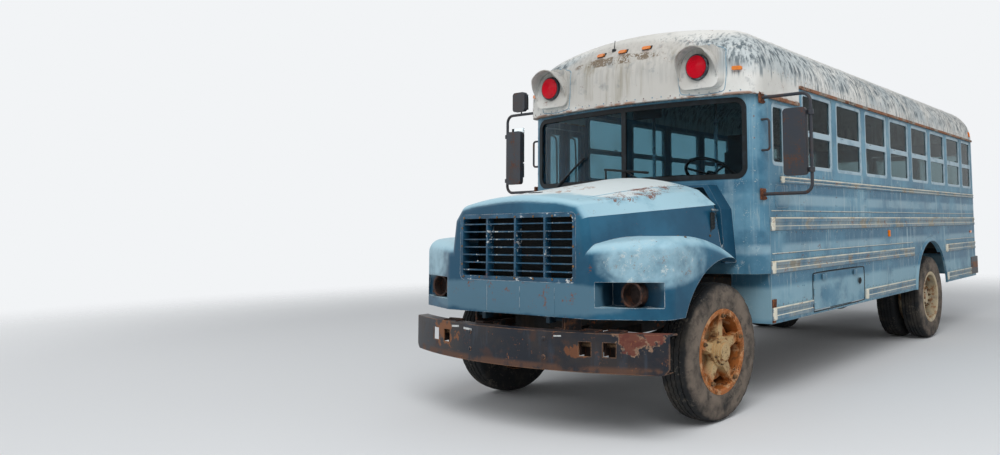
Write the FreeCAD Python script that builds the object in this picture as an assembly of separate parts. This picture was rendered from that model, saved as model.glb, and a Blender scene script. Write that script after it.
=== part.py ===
import FreeCAD, Part
import math
import os

V = FreeCAD.Vector

# Driving dimensions in millimetres: front faces -Y, driver's side is +X, the ground is z = 0
nose_length = 1460.0
body_length = 6450.0
rear_bumper_depth = 90.0
overall_length = nose_length + body_length + rear_bumper_depth
body_half_width = 1219.0
wall = 40.0
skin = 4.0
cut_overrun = 20.0
seat_gap = 0.3

front_end_y = -overall_length / 2
rear_end_y = overall_length / 2
body_front_y = front_end_y + nose_length
body_rear_y = body_front_y + body_length

# Heights of the body
skirt_bottom_z = 613.0
wall_foot_z = 1000.0
floor_top_z = 1080.0
floor_thickness = 40.0
sill_z = 1825.0
front_drip_z = 2389.0
drip_z = 2540.0
roof_rise = 510.0
crown_z = drip_z + roof_rise
crown_drop = 130.0
roof_side_radius = 450.0
roof_front_radius = 430.0

# Front and rear of the body in plan
corner_radius = 150.0
front_face_lead = 16.0
front_bow = 130.0
header_overhang = 62.0
front_section_length = 694.0
rear_corner_radius = 180.0

front_face_y = body_front_y - front_face_lead
bow_y = front_face_y - front_bow
corner_start_y = front_face_y + corner_radius
section_end_y = body_front_y + front_section_length
rear_corner_y = body_rear_y - rear_corner_radius

# Windshield
windshield_side = 130.0
windshield_half_width = body_half_width - windshield_side
windshield_bottom_z = 1755.0
windshield_top_z = 2349.0
windshield_radius = 70.0
windshield_divider = 46.0
glass_thickness = 6.0
windshield_setback = 12.0
gasket_lap = 22.0
gasket_lip = 18.0
gasket_rise = 5.0

# Side windows
window_count = 8
window_end = 30.0
window_pitch = (body_length - front_section_length - window_end) / window_count
window_post = 96.0
window_bottom_z = 1842.0
window_top_z = 2500.0
window_corner_radius = 40.0
sash_rail_z = 2150.0
sash_rail_height = 52.0
frame_face = 30.0
frame_depth = 30.0
frame_setback = 5.0
driver_window_front_gap = 60.0
driver_window_top_z = 2340.0

# Rub rails and drip rails
rub_rail_projection = 13.0
rub_rail_rib = 5.0
rub_rail_end = 30.0
rail_tops = (1758.0, 1431.0, 1091.0, 735.0)
rail_heights = (52.0, 104.0, 96.0, 96.0)
drip_rail_height = 26.0
drip_rail_projection = 22.0

# Axles and wheels
front_axle_setback = -440.0
wheelbase = 4640.0
tyre_radius = 484.0
tyre_width = 229.0
bead_radius = 286.0
rim_flange_radius = 298.0
tyre_shoulder = 52.0
tread_half_share = 0.80
front_tyre_inset = 85.0
rear_tyre_inset = 9.0
front_tyre_face = body_half_width - front_tyre_inset
rear_tyre_face = body_half_width - rear_tyre_inset
dual_spacing = 300.0
axle_z = tyre_radius
front_axle_y = body_front_y + front_axle_setback
rear_axle_y = front_axle_y + wheelbase
front_tyre_x = front_tyre_face - tyre_width / 2
outer_tyre_x = rear_tyre_face - tyre_width / 2
inner_tyre_x = outer_tyre_x - dual_spacing

# Rear wheel openings and wheel housings
rear_arch_radius = 590.0
rear_arch_z = 560.0
wheelhouse_length = 1180.0
wheelhouse_top_z = 1190.0
wheelhouse_width = 560.0
wheelhouse_sheet = 10.0
flare_width = 42.0
flare_reach = 22.0

# Chassis
frame_rail_height = 254.0
frame_rail_width = 76.0
frame_rail_web = 10.0
spring_width = 76.0
spring_tyre_gap = 138.0
spring_x_rear = inner_tyre_x - tyre_width / 2 - spring_tyre_gap - spring_width / 2
frame_half_width = 430.0
frame_top_z = 954.0
frame_front_gap = 130.0
frame_rear_clearance = 4.0
crossmember_size = 120.0
crossmember_shares = (0.02, 0.26, 0.42, 0.56, 0.68, 0.84, 0.97)
beam_pitch = 640.0
beam_width = 50.0

# Hood, fenders and grille
hood_rear_gap = 205.0
hood_sheet = 8.0
hood_side_inset = 24.0
hood_half_width = body_half_width - hood_side_inset
hood_bottom_z = 782.0
nose_setback = 100.0
nose_inset = 519.0
nose_half_width = body_half_width - nose_inset
fender_front_sweep = 183.0
fender_top_z = 1310.0
fender_round = 100.0
fender_crest_lead = 420.0
fender_crest_radius = 1400.0
shoulder_round = 75.0
nose_round = 60.0
hood_top_rear_z = 1775.0
hood_top_front_z = 1600.0
grille_side = 130.0
grille_half_width = nose_half_width - grille_side
grille_bottom_z = 1010.0
grille_top_z = 1477.0
grille_corner = 40.0
grille_slats = 8
grille_bars = 3
grille_depth = 60.0
lamp_inner_gap = 25.0
lamp_outer_gap = 35.0
lamp_opening_inner = nose_half_width + lamp_inner_gap
lamp_opening_outer = hood_half_width - lamp_outer_gap
lamp_opening_bottom = 858.0
lamp_opening_top = 1020.0
front_arch_radius = 608.0
front_arch_z = 540.0
hinge_setback = 60.0
hinge_z = 760.0
hinge_pin_radius = 12.0
hinge_arm_inset = 130.0
hinge_arm_x = frame_half_width - hinge_arm_inset
hinge_arm_width = 30.0
hinge_arm_height = 90.0

# Bumpers
bumper_side = 6.0
bumper_half_width = body_half_width + bumper_side
bumper_round = 70.0
bumper_round_share = 0.95
bumper_bottom_z = 449.0
bumper_top_z = 701.0
bumper_sheet = 10.0
bumper_flange = 90.0
bumper_bow = 233.0
bumper_hole = 90.0
bumper_hole_shares = (0.55, 0.69)
rear_bumper_bottom_z = 642.0
rear_bumper_top_z = 880.0
rear_bumper_wrap = 240.0

# Entrance door and emergency door
entrance_width = 540.0
entrance_bottom_z = 400.0
entrance_top_z = 2330.0
entrance_front_gap = 6.0
step_rise = 226.7
step_depth = 230.0
step_sheet = 12.0
leaf_thickness = 32.0
leaf_gap = 6.0
barrel_radius = 7.0
barrel_offset = 7.3
hinge_leaf_length = 46.0
hinge_height = 60.0
hinge_shares = (0.12, 0.5, 0.88)
leaf_frame = 55.0
emergency_half_width = 330.0
emergency_top_z = 2400.0
emergency_frame = 60.0

# Battery compartment
battery_setback = 890.0
battery_front_y = body_front_y + battery_setback
battery_length = 1140.0
battery_bottom_z = 640.0
battery_top_z = 960.0
battery_door_thickness = 25.0
battery_depth = 420.0

# Lamps
pod_inset = 434.0
pod_x = body_half_width - pod_inset
pod_z = 2610.0
pod_half_width = 186.0
pod_half_height = 168.0
pod_round = 70.0
pod_setback = 14.0
pod_length = 260.0
brow_sheet = 8.0
brow_radius = 182.0
brow_reach = 105.0
brow_drop = 26.0
brow_cheek = 70.0
marker_shares = (-0.202, 0.0, 0.202)
marker_z = 2850.0
corner_marker_x_share = 0.886
corner_marker_z = 2585.0
marker_length = 74.0
marker_height = 30.0
marker_proud = 24.0
side_marker_z = 1234.0
side_marker_setback = 209.0
lens_radius = 90.0
lens_depth = 30.0
rear_lamp_z = 2440.0
tail_lamp_z = 1250.0
tail_lamp_radius = 88.0
top_rail_setback = 180.0
rear_window_post = 70.0
rear_window_bottom_z = 1842.0
rear_window_top_z = 2360.0
rear_bumper_gap = 8.0
bracket_height = 150.0
bracket_length = 170.0

# Wheels and axles
bead_share = 0.86
rim_depth = 26.0
rim_lip = 8.0
hub_radius = 105.0
hub_inner = 60.0
hub_outer = 95.0
hub_cap_radius = 62.0
hub_cap_length = 35.0
spoke_count = 5
full_turn = 360.0
spoke_turn = full_turn / spoke_count
spoke_root_width = 118.0
spoke_tip_width = 66.0
spoke_root_depth = 92.0
spoke_tip_depth = 46.0
spoke_rise = 34.0
clamp_width = 74.0
clamp_reach = 46.0
clamp_sheet = 14.0
hub_step = 22.0
hub_flange_radius = 84.0
drum_radius = 205.0
drum_wall = 14.0
drum_start = 95.0
drum_length = 120.0
spindle_radius = 38.0
running_gap = 0.05
disc_thickness = 12.0
rear_hub_radius = 130.0
rear_drum_length = 130.0
rear_hub_length = 190.0
axle_tube_radius = 62.0
banjo_radius = 205.0
pinion_nose = 90.0
boss_height = 110.0
boss_radius = 48.0
ear_height = 32.0
knuckle_gap = 1.0
kingpin_offset = 139.5
kingpin_x = front_tyre_x - kingpin_offset
kingpin_radius = 22.0
yoke_reach = 60.0
yoke_thickness = 20.0
beam_size = 86.0
axle_drop = 40.0
axle_arm = 210.0
arm_width = 56.0
arm_length = 210.0
arm_thickness = 26.0
ball_radius = 14.0
ball_slack = 2.0
tie_radius = 20.0
seat_pad = 14.0
spring_x_front = frame_half_width
front_spring_length = 1320.0
rear_spring_length = 1420.0
leaf_count = 4
leaf_thick = 13.0
leaf_step_share = 0.17
eye_radius = 26.0
hanger_height = 90.0

# Engine, driveline and tank
engine_width = 640.0
engine_length = 880.0
engine_height = 780.0
engine_bottom_z = 620.0
engine_mount = 80.0
engine_setback = 412.0
engine_front_y = front_end_y + engine_setback
radiator_gap = 70.0
radiator_depth = 80.0
radiator_width = 2 * frame_half_width
radiator_height = 600.0
gearbox_length = 700.0
gearbox_width = 380.0
gearbox_height = 360.0
gearbox_bottom_z = 520.0
output_height = 110.0
yoke_length = 60.0
driveshaft_radius = 50.0
tank_x = frame_half_width + seat_gap
tank_width = 560.0
tank_setback = 1640.0
tank_y = body_front_y + tank_setback
tank_length = 1300.0
tank_bottom_z = 560.0
tank_height = 380.0
tank_radius = 60.0
exhaust_inset = 38.0
exhaust_x = frame_half_width - exhaust_inset
hanger_width = 24.0
hanger_shares = (0.04, 0.52, 0.96)
exhaust_z = 572.0
exhaust_setback = 240.0
exhaust_front_y = body_front_y + exhaust_setback
pipe_radius = 45.0
muffler_radius = 120.0
muffler_offset = 900.0
muffler_length = 900.0

# Hood outline
fender_tail = 270.0
hood_belt_rise = 240.0
hood_rear_low_inset = 189.0
hood_rear_low = body_half_width - hood_rear_low_inset
hood_rear_mid_inset = 283.0
hood_rear_mid = body_half_width - hood_rear_mid_inset
hood_rear_mid_z = 1531.0
hood_rear_top_inset = 439.0
hood_rear_top = body_half_width - hood_rear_top_inset
hood_rear_top_z = 1650.0
hood_nose_mid_inset = 60.0
hood_nose_mid = nose_half_width - hood_nose_mid_inset
hood_nose_mid_z = 1440.0
hood_nose_top_inset = 140.0
hood_nose_top = nose_half_width - hood_nose_top_inset
hood_nose_top_z = 1540.0
grille_border = 28.0
slat_height = 8.0
bar_width = 16.0
bucket_radius = 80.0
bucket_depth = 70.0
pan_depth = 200.0
cowl_gap = 6.0
cowl_low_inset = 20.0
cowl_half_low = hood_rear_low - cowl_low_inset
cowl_bottom_z = 1090.0
cowl_mid_inset = 55.0
cowl_half_mid = hood_rear_low - cowl_mid_inset
cowl_mid_z = 1500.0
cowl_top_inset = 170.0
cowl_half_top = hood_rear_low - cowl_top_inset
cowl_top_z = 1690.0

# Seats and controls
seat_pitch = 690.0
seat_first_gap = 300.0
seat_rear_gap = 60.0
aisle_half_width = 207.0
seat_wall_gap = 12.0
seat_width = body_half_width - wall - seat_wall_gap - aisle_half_width
cushion_height = 330.0
cushion_depth = 400.0
cushion_thickness = 110.0
seat_air = 8.0
back_thickness = 80.0
back_height = 830.0
seat_tube = 30.0
driver_seat_width = 480.0
driver_seat_setback = 490.0
driver_seat_y = body_front_y + driver_seat_setback
driver_cushion_height = 420.0
driver_back_height = 1150.0
steering_side = 659.0
steering_x = body_half_width - steering_side
steering_setback = 330.0
steering_y = body_front_y + steering_setback
steering_z = 1800.0
steering_radius = 225.0
steering_rim = 14.0
steering_hub = 45.0
column_tilt = 35.0
column_radius = 22.0
column_length = 380.0
dash_gap = 4.0
dash_bottom_z = 1380.0
dash_top_z = 1730.0
dash_depth = 240.0
dash_slope = 70.0
dash_right_gap = 640.0

# Mirrors
mirror_stand = 401.0
mirror_reach = body_half_width + mirror_stand
mirror_y = 60.0
mirror_top_z = 2360.0
mirror_bottom_z = 1610.0
mirror_rise_right = 105.0
mirror_tube = 13.0
mirror_bend = 70.0
mirror_width = 190.0
mirror_depth = 40.0
mirror_round = 30.0
mirror_head_z0 = 1740.0
mirror_head_z1 = 2250.0
small_head_width = 160.0
small_head_height = 185.0
clamp_radius = 24.0
clamp_length = 36.0

# Wipers and grab handles
wiper_park = ((-0.60, 0.12, 33.0), (0.02, 0.10, -6.0))
wiper_length = 470.0
wiper_width = 12.0
wiper_blade_depth = 8.0
wiper_arm_share = 0.9
wiper_pivot_drop = 22.0
wiper_pivot_radius = 16.0
handle_radius = 9.0
handle_z0 = 1950.0
handle_z1 = 2190.0
handle_stand = 48.0
handle_y = 70.0


def box(x0, x1, y0, y1, z0, z1):
    return Part.makeBox(x1 - x0, y1 - y0, z1 - z0, V(x0, y0, z0))


def prism_x(points, x0, x1):
    wire = Part.makePolygon([V(x0, y, z) for y, z in points + points[:1]])
    return Part.Face(wire).extrude(V(x1 - x0, 0, 0))


def prism_y(points, y0, y1):
    wire = Part.makePolygon([V(x, y0, z) for x, z in points + points[:1]])
    return Part.Face(wire).extrude(V(0, y1 - y0, 0))


def prism_z(points, z0, z1):
    wire = Part.makePolygon([V(x, y, z0) for x, y in points + points[:1]])
    return Part.Face(wire).extrude(V(0, 0, z1 - z0))


def rod(radius, start, end):
    axis = end - start
    return Part.makeCylinder(radius, axis.Length, start, axis)


def fuse(shapes):
    whole = shapes[0]
    for shape in shapes[1:]:
        whole = whole.fuse(shape)
    return whole.removeSplitter()


def mirror_x(shape):
    return shape.mirror(V(0, 0, 0), V(1, 0, 0))


def export(name, shape):
    shape.exportStep(os.path.join("parts", name + ".step"))
    kinds = len(shape.Solids)
    print(name, "solids", kinds, "valid", shape.isValid(), "volume", round(shape.Volume / 1e6, 2))


def plan_prism(inset, z0, z1):
    # Outline of the body seen from above: bowed front with round corners, round rear corners
    half = body_half_width - inset
    radius = corner_radius - inset
    rear_radius = rear_corner_radius - inset
    end_y = front_face_y + inset
    mid_y = bow_y + inset
    back_y = body_rear_y - inset
    turn = math.sqrt(0.5)
    x = half - radius
    rx = half - rear_radius
    start_y = end_y + radius
    back_start_y = back_y - rear_radius
    edges = [
        Part.Arc(V(-x, end_y, z0), V(0, mid_y, z0), V(x, end_y, z0)).toShape(),
        Part.Arc(V(x, end_y, z0), V(x + radius * turn, start_y - radius * turn, z0),
                 V(half, start_y, z0)).toShape(),
        Part.makeLine(V(half, start_y, z0), V(half, back_start_y, z0)),
        Part.Arc(V(half, back_start_y, z0), V(rx + rear_radius * turn, back_start_y + rear_radius * turn, z0),
                 V(rx, back_y, z0)).toShape(),
        Part.makeLine(V(rx, back_y, z0), V(-rx, back_y, z0)),
        Part.Arc(V(-rx, back_y, z0), V(-rx - rear_radius * turn, back_start_y + rear_radius * turn, z0),
                 V(-half, back_start_y, z0)).toShape(),
        Part.makeLine(V(-half, back_start_y, z0), V(-half, start_y, z0)),
        Part.Arc(V(-half, start_y, z0), V(-x - radius * turn, start_y - radius * turn, z0),
                 V(-x, end_y, z0)).toShape(),
    ]
    return Part.Face(Part.Wire(edges)).extrude(V(0, 0, z1 - z0))


def rounded_opening(x0, x1, z0, z1, y0, y1, radius):
    block = box(x0, x1, y0, y1, z0, z1)
    edges = [e for e in block.Edges if abs(e.Vertexes[0].Z - e.Vertexes[-1].Z) < skin
             and abs(e.Vertexes[0].X - e.Vertexes[-1].X) < skin]
    return block.makeFillet(radius, edges)


def rounded_opening_x(x0, x1, y0, y1, z0, z1, radius):
    block = box(x0, x1, y0, y1, z0, z1)
    edges = [e for e in block.Edges if abs(e.Vertexes[0].Z - e.Vertexes[-1].Z) < skin
             and abs(e.Vertexes[0].Y - e.Vertexes[-1].Y) < skin]
    return block.makeFillet(radius, edges)


# Body shell

def edges_where(shape, test):
    return [edge for edge in shape.Edges if test(edge.BoundBox)]


def crowned_block(inset):
    # Straight-sided block with a bowed front and a lightly crowned top
    half = body_half_width - inset
    end_y = front_face_y - header_overhang / 2 + inset
    mid_y = bow_y - header_overhang + inset
    back_y = body_rear_y - inset
    top = crown_z - inset
    edge_z = top - crown_drop
    z0 = front_drip_z
    front = Part.Arc(V(-half, end_y, z0), V(0, mid_y, z0), V(half, end_y, z0)).toShape()
    base = Part.Wire([front, Part.makeLine(V(half, end_y, z0), V(half, back_y, z0)),
                      Part.makeLine(V(half, back_y, z0), V(-half, back_y, z0)),
                      Part.makeLine(V(-half, back_y, z0), V(-half, end_y, z0))])
    block = Part.Face(base).extrude(V(0, 0, crown_z - z0))
    y0 = bow_y - header_overhang - cut_overrun
    low = front_drip_z - cut_overrun
    crown = Part.Arc(V(-half, y0, edge_z), V(0, y0, top), V(half, y0, edge_z)).toShape()
    section = Part.Wire([crown, Part.makeLine(V(half, y0, edge_z), V(half, y0, low)),
                         Part.makeLine(V(half, y0, low), V(-half, y0, low)),
                         Part.makeLine(V(-half, y0, low), V(-half, y0, edge_z))])
    return block.common(Part.Face(section).extrude(V(0, overall_length, 0)))


def roll_front(form, top_radius, upright_radius):
    # Round the front: a small radius at the upright corners grows into the large one over the crown
    table = []
    for number, edge in enumerate(form.Edges, 1):
        bounds = edge.BoundBox
        if bounds.YMax > section_end_y or bounds.ZMax < front_drip_z + skin:
            continue
        first_low = edge.Vertexes[0].Z < edge.Vertexes[-1].Z
        if bounds.XLength < skin:
            table.append((number, upright_radius, upright_radius))
        elif bounds.ZMin < crown_z - roof_side_radius + wall:
            radii = (upright_radius, top_radius) if first_low else (top_radius, upright_radius)
            table.append((number,) + radii)
        else:
            table.append((number, top_radius, top_radius))
    document = FreeCAD.newDocument("roof")
    base = document.addObject("Part::Feature", "base")
    base.Shape = form
    fillet = document.addObject("Part::Fillet", "fillet")
    fillet.Base = base
    fillet.Edges = table
    document.recompute()
    return fillet.Shape.Solids[0]


def roll_rear(form, radius):
    # Round the rear with one radius up the corners and over the crown
    def at_rear(bounds):
        return bounds.YMin > rear_corner_y and bounds.ZMax > front_drip_z + skin

    return form.makeFillet(radius, edges_where(form, at_rear))


def roof_form(inset):
    # The crowned block with its sides rolled over and its two ends rounded
    form = crowned_block(inset)
    sides = edges_where(form, lambda b: b.YLength > body_length / 2 and b.ZMin > drip_z)
    form = form.makeFillet(roof_side_radius - inset, sides).removeSplitter()
    form = roll_rear(form, rear_corner_radius - inset)
    return roll_front(form, roof_front_radius - inset, corner_radius - inset)


def roof():
    inner = roof_form(wall)
    shell = roof_form(0.0).fuse(lamp_pods()).cut(inner)
    # Behind the driver's section the roof starts at the higher drip line
    behind = box(-body_half_width - wall, body_half_width + wall, section_end_y, body_rear_y + wall,
                 front_drip_z - wall, drip_z)
    return shell.cut(behind)


def front_wall():
    ring = plan_prism(0.0, wall_foot_z, front_drip_z).cut(plan_prism(wall, wall_foot_z, front_drip_z))
    ring = ring.cut(box(-body_half_width - wall, body_half_width + wall, corner_start_y, body_rear_y + wall,
                        wall_foot_z, front_drip_z))
    opening = rounded_opening(-windshield_half_width, windshield_half_width, windshield_bottom_z,
                              windshield_top_z, bow_y - wall, corner_start_y, windshield_radius)
    return ring.cut(opening)


def windshield_glass():
    z0 = windshield_bottom_z + seat_gap
    z1 = windshield_top_z - seat_gap
    outer = plan_prism(windshield_setback, z0, z1)
    glass = outer.cut(plan_prism(windshield_setback + glass_thickness, z0, z1))
    half = windshield_half_width - seat_gap
    keep = rounded_opening(-half, half, z0, z1, bow_y - wall, corner_start_y, windshield_radius)
    return glass.common(keep)


def window_spans():
    spans = []
    for index in range(window_count):
        start = section_end_y + index * window_pitch + window_post / 2
        spans.append((start, start + window_pitch - window_post))
    return spans


def window_cutter(y0, y1, z0, z1):
    return rounded_opening_x(body_half_width - wall - cut_overrun, body_half_width + cut_overrun,
                             y0, y1, z0, z1, window_corner_radius)


def driver_window_span():
    return corner_start_y + driver_window_front_gap, section_end_y - window_post / 2


def arch_cutter(radius, y, z):
    reach = body_half_width + cut_overrun
    barrel = rod(radius, V(body_half_width - wall - cut_overrun, y, z), V(reach, y, z))
    below = box(body_half_width - wall - cut_overrun, reach, y - radius, y + radius, 0, z)
    return barrel.fuse(below)


def entrance_cutter():
    # The entrance opening, cut on the driver's side before the panel is mirrored
    y0, y1 = step_span()
    return box(body_half_width - wall - cut_overrun, body_half_width + cut_overrun, y0, y1, 0, entrance_top_z)


def side_wall(with_entrance):
    panel = box(body_half_width - wall, body_half_width, corner_start_y, rear_corner_y, wall_foot_z, drip_z)
    panel = panel.cut(box(body_half_width - wall, body_half_width, corner_start_y, section_end_y,
                          front_drip_z, drip_z))
    for y0, y1 in window_spans():
        last_end = min(y1, rear_corner_y - window_post / 2)
        panel = panel.cut(window_cutter(y0, last_end, window_bottom_z, window_top_z))
    panel = panel.cut(arch_cutter(rear_arch_radius, rear_axle_y, rear_arch_z))
    if with_entrance:
        return mirror_x(panel.cut(entrance_cutter()))
    y0, y1 = driver_window_span()
    return panel.cut(window_cutter(y0, y1, window_bottom_z, driver_window_top_z))


def skirt(with_entrance):
    # Sheet panel below the floor line, with a flare rolled out round the wheel opening
    panel = box(body_half_width - skin, body_half_width, corner_start_y, rear_corner_y, skirt_bottom_z,
                wall_foot_z)
    panel = panel.cut(arch_cutter(rear_arch_radius, rear_axle_y, rear_arch_z))
    if with_entrance:
        y0, y1 = step_span()
        front = box(body_half_width - wall, body_half_width + cut_overrun, corner_start_y - skin, y0, 0,
                    wall_foot_z)
        return mirror_x(panel.cut(entrance_cutter()).cut(front))
    return panel.cut(box(body_half_width - wall, body_half_width + cut_overrun, battery_front_y,
                         battery_front_y + battery_length, battery_bottom_z, battery_top_z))


def arch_flare():
    # Rolled lip round the rear wheel opening, seated on the side of the body
    x0 = body_half_width + seat_gap
    x1 = x0 + flare_reach
    place = V(x0, rear_axle_y, rear_arch_z)
    end = V(x1, rear_axle_y, rear_arch_z)
    ring = Part.makeCone(rear_arch_radius + flare_width, rear_arch_radius + flare_width / 3, flare_reach,
                         place, V(1, 0, 0))
    ring = ring.cut(rod(rear_arch_radius, V(x0 - skin, rear_axle_y, rear_arch_z), end + V(skin, 0, 0)))
    reach = rear_arch_radius + 2 * flare_width
    return ring.common(box(x0, x1, rear_axle_y - reach, rear_axle_y + reach, skirt_bottom_z,
                           wall_foot_z + reach))


def arch_flares():
    flare = arch_flare()
    return Part.makeCompound([flare, mirror_x(flare)])


def rear_wall():
    ring = plan_prism(0.0, skirt_bottom_z, drip_z).cut(plan_prism(wall, skirt_bottom_z, drip_z))
    ring = ring.cut(box(-body_half_width - wall, body_half_width + wall, bow_y - wall, rear_corner_y,
                        skirt_bottom_z, drip_z))
    door = box(-emergency_half_width, emergency_half_width, rear_corner_y, body_rear_y + wall,
               floor_top_z, emergency_top_z)
    ring = ring.cut(door)
    for x0, x1 in rear_window_spans():
        ring = ring.cut(box(x0, x1, rear_corner_y, body_rear_y + wall, rear_window_bottom_z,
                            rear_window_top_z))
    return ring


def body_floor():
    z0 = floor_top_z - floor_thickness
    plate = plan_prism(wall, z0, floor_top_z)
    tool_x0 = body_half_width - wheelhouse_width
    y0 = rear_axle_y - wheelhouse_length / 2
    y1 = rear_axle_y + wheelhouse_length / 2
    inner = body_half_width - wall
    for side in (-1, 1):
        house = box(tool_x0, inner, y0, y1, floor_top_z, wheelhouse_top_z)
        hollow = box(tool_x0 + wheelhouse_sheet, inner, y0 + wheelhouse_sheet, y1 - wheelhouse_sheet,
                     z0, wheelhouse_top_z - wheelhouse_sheet)
        if side < 0:
            house = mirror_x(house)
            hollow = mirror_x(hollow)
        plate = plate.fuse(house).cut(hollow)
    return plate.cut(step_space()).fuse(step_well())


def step_span():
    y0 = corner_start_y + entrance_front_gap
    return y0, y0 + entrance_width


def step_space():
    y0, y1 = step_span()
    inner = body_half_width - wall
    return box(-inner, -inner + 3 * step_depth, y0, y1, entrance_bottom_z, floor_top_z)


def step_well():
    y0, y1 = step_span()
    inner = body_half_width - wall
    pieces = []
    for index in range(3):
        x0 = -inner + index * step_depth
        z0 = entrance_bottom_z + index * step_rise
        pieces.append(box(x0, x0 + step_depth + step_sheet, y0, y1, z0, z0 + step_sheet))
        pieces.append(box(x0 + step_depth, x0 + step_depth + step_sheet, y0, y1, z0,
                          z0 + step_rise + step_sheet))
    outline = [(-inner, entrance_bottom_z), (-inner + step_depth + step_sheet, entrance_bottom_z),
               (-inner + 3 * step_depth + step_sheet, floor_top_z - floor_thickness),
               (-inner + 3 * step_depth + step_sheet, floor_top_z), (-inner, floor_top_z)]
    pieces.append(prism_y(outline, y0, y0 + step_sheet))
    pieces.append(prism_y(outline, y1 - step_sheet, y1))
    return fuse(pieces)


# Windows, rails and lamps

def frame_ring(y0, y1, z0, z1):
    # A window frame with two panes, set in its opening
    x1 = body_half_width - frame_setback
    x0 = x1 - frame_depth
    outer = rounded_opening_x(x0, x1, y0, y1, z0, z1, window_corner_radius)
    radius = window_corner_radius - frame_face / 2
    rail0 = sash_rail_z - sash_rail_height / 2
    rail1 = sash_rail_z + sash_rail_height / 2
    lower = rounded_opening_x(x0 - wall, x1 + wall, y0 + frame_face, y1 - frame_face, z0 + frame_face,
                              rail0, radius)
    upper = rounded_opening_x(x0 - wall, x1 + wall, y0 + frame_face, y1 - frame_face, rail1,
                              z1 - frame_face, radius)
    return outer.cut(lower).cut(upper)


def sliding_frame(y0, y1, z0, z1):
    # The driver's window: two panes side by side
    x1 = body_half_width - frame_setback
    x0 = x1 - frame_depth
    outer = rounded_opening_x(x0, x1, y0, y1, z0, z1, window_corner_radius)
    radius = window_corner_radius - frame_face / 2
    mid = (y0 + y1) / 2
    half = sash_rail_height / 2
    front = rounded_opening_x(x0 - wall, x1 + wall, y0 + frame_face, mid - half, z0 + frame_face,
                              z1 - frame_face, radius)
    rear = rounded_opening_x(x0 - wall, x1 + wall, mid + half, y1 - frame_face, z0 + frame_face,
                             z1 - frame_face, radius)
    return outer.cut(front).cut(rear)


def pane_x(y0, y1, z0, z1):
    x_mid = body_half_width - frame_setback - frame_depth / 2
    radius = window_corner_radius - frame_face / 2
    return rounded_opening_x(x_mid - glass_thickness / 2, x_mid + glass_thickness / 2,
                             y0 + seat_gap, y1 - seat_gap, z0 + seat_gap, z1 - seat_gap, radius)


def passenger_spans():
    return [(y0, min(y1, rear_corner_y - window_post / 2)) for y0, y1 in window_spans()]


def window_frames():
    frames = []
    for y0, y1 in passenger_spans():
        ring = frame_ring(y0, y1, window_bottom_z, window_top_z)
        frames += [ring, mirror_x(ring)]
    y0, y1 = driver_window_span()
    frames.append(sliding_frame(y0, y1, window_bottom_z, driver_window_top_z))
    return Part.makeCompound(frames)


def window_glass():
    panes = []
    rail0 = sash_rail_z - sash_rail_height / 2
    rail1 = sash_rail_z + sash_rail_height / 2
    for y0, y1 in passenger_spans():
        lower = pane_x(y0 + frame_face, y1 - frame_face, window_bottom_z + frame_face, rail0)
        upper = pane_x(y0 + frame_face, y1 - frame_face, rail1, window_top_z - frame_face)
        panes += [lower, upper, mirror_x(lower), mirror_x(upper)]
    y0, y1 = driver_window_span()
    mid = (y0 + y1) / 2
    half = sash_rail_height / 2
    z0 = window_bottom_z + frame_face
    z1 = driver_window_top_z - frame_face
    panes.append(pane_x(y0 + frame_face, mid - half, z0, z1))
    panes.append(pane_x(mid + half, y1 - frame_face, z0, z1))
    for x0, x1 in rear_window_spans():
        y_mid = body_rear_y - wall / 2
        panes.append(box(x0 + seat_gap, x1 - seat_gap, y_mid - glass_thickness / 2,
                         y_mid + glass_thickness / 2,
                         rear_window_bottom_z + seat_gap, rear_window_top_z - seat_gap))
    return Part.makeCompound(panes)


def rear_window_spans():
    x0 = emergency_half_width + rear_window_post
    x1 = body_half_width - rear_corner_radius - rear_window_post / 2
    return [(x0, x1), (-x1, -x0)]


def rail_profile(top, height, x_base, projection):
    # A pressed rub rail: two raised ribs with a groove between them
    rib = height / 3
    return [(x_base, top), (x_base + projection, top - rub_rail_rib), (x_base + projection, top - rib),
            (x_base + projection / 2, top - rib - rub_rail_rib), (x_base + projection / 2,
                                                                  top - 2 * rib + rub_rail_rib),
            (x_base + projection, top - 2 * rib), (x_base + projection, top - height + rub_rail_rib),
            (x_base, top - height)]


def rail_spans():
    # Runs of each rail along the driver's side, from the top one down
    rear = rear_corner_y
    arch0 = rear_axle_y - rear_arch_radius - flare_width - leaf_gap
    arch1 = rear_axle_y + rear_arch_radius + flare_width + leaf_gap
    battery0 = battery_front_y - rub_rail_end
    battery1 = battery_front_y + battery_length + rub_rail_end
    front = corner_start_y
    bumper0 = rear - rear_bumper_wrap - leaf_gap
    return [
        (rail_tops[0], rail_heights[0], [(front + top_rail_setback, rear)]),
        (rail_tops[1], rail_heights[1], [(front, rear)]),
        (rail_tops[2], rail_heights[2], [(front, arch0), (arch1, rear)]),
        (rail_tops[3], rail_heights[3], [(front, battery0), (battery1, arch0), (arch1, bumper0)]),
    ]


def clip_span(spans, gap0, gap1):
    kept = []
    for y0, y1 in spans:
        if y1 <= gap0 or y0 >= gap1:
            kept.append((y0, y1))
            continue
        if y0 < gap0:
            kept.append((y0, gap0))
        if y1 > gap1:
            kept.append((gap1, y1))
    return kept


def rub_rails():
    rails = []
    door0, door1 = step_span()
    for number, (top, height, spans) in enumerate(rail_spans()):
        profile = rail_profile(top, height, body_half_width, rub_rail_projection)
        rails += [prism_y(profile, y0, y1) for y0, y1 in spans]
        # The right side has the entrance in its rails and no battery door
        right = spans if number < len(rail_tops) - 1 else join_first(spans)
        for y0, y1 in clip_span(right, door0 - rub_rail_end, door1 + rub_rail_end):
            rails.append(mirror_x(prism_y(profile, y0, y1)))
    return Part.makeCompound(rails)


def join_first(spans):
    # Close the gap between the first two runs
    return [(spans[0][0], spans[1][1])] + spans[2:]


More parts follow.
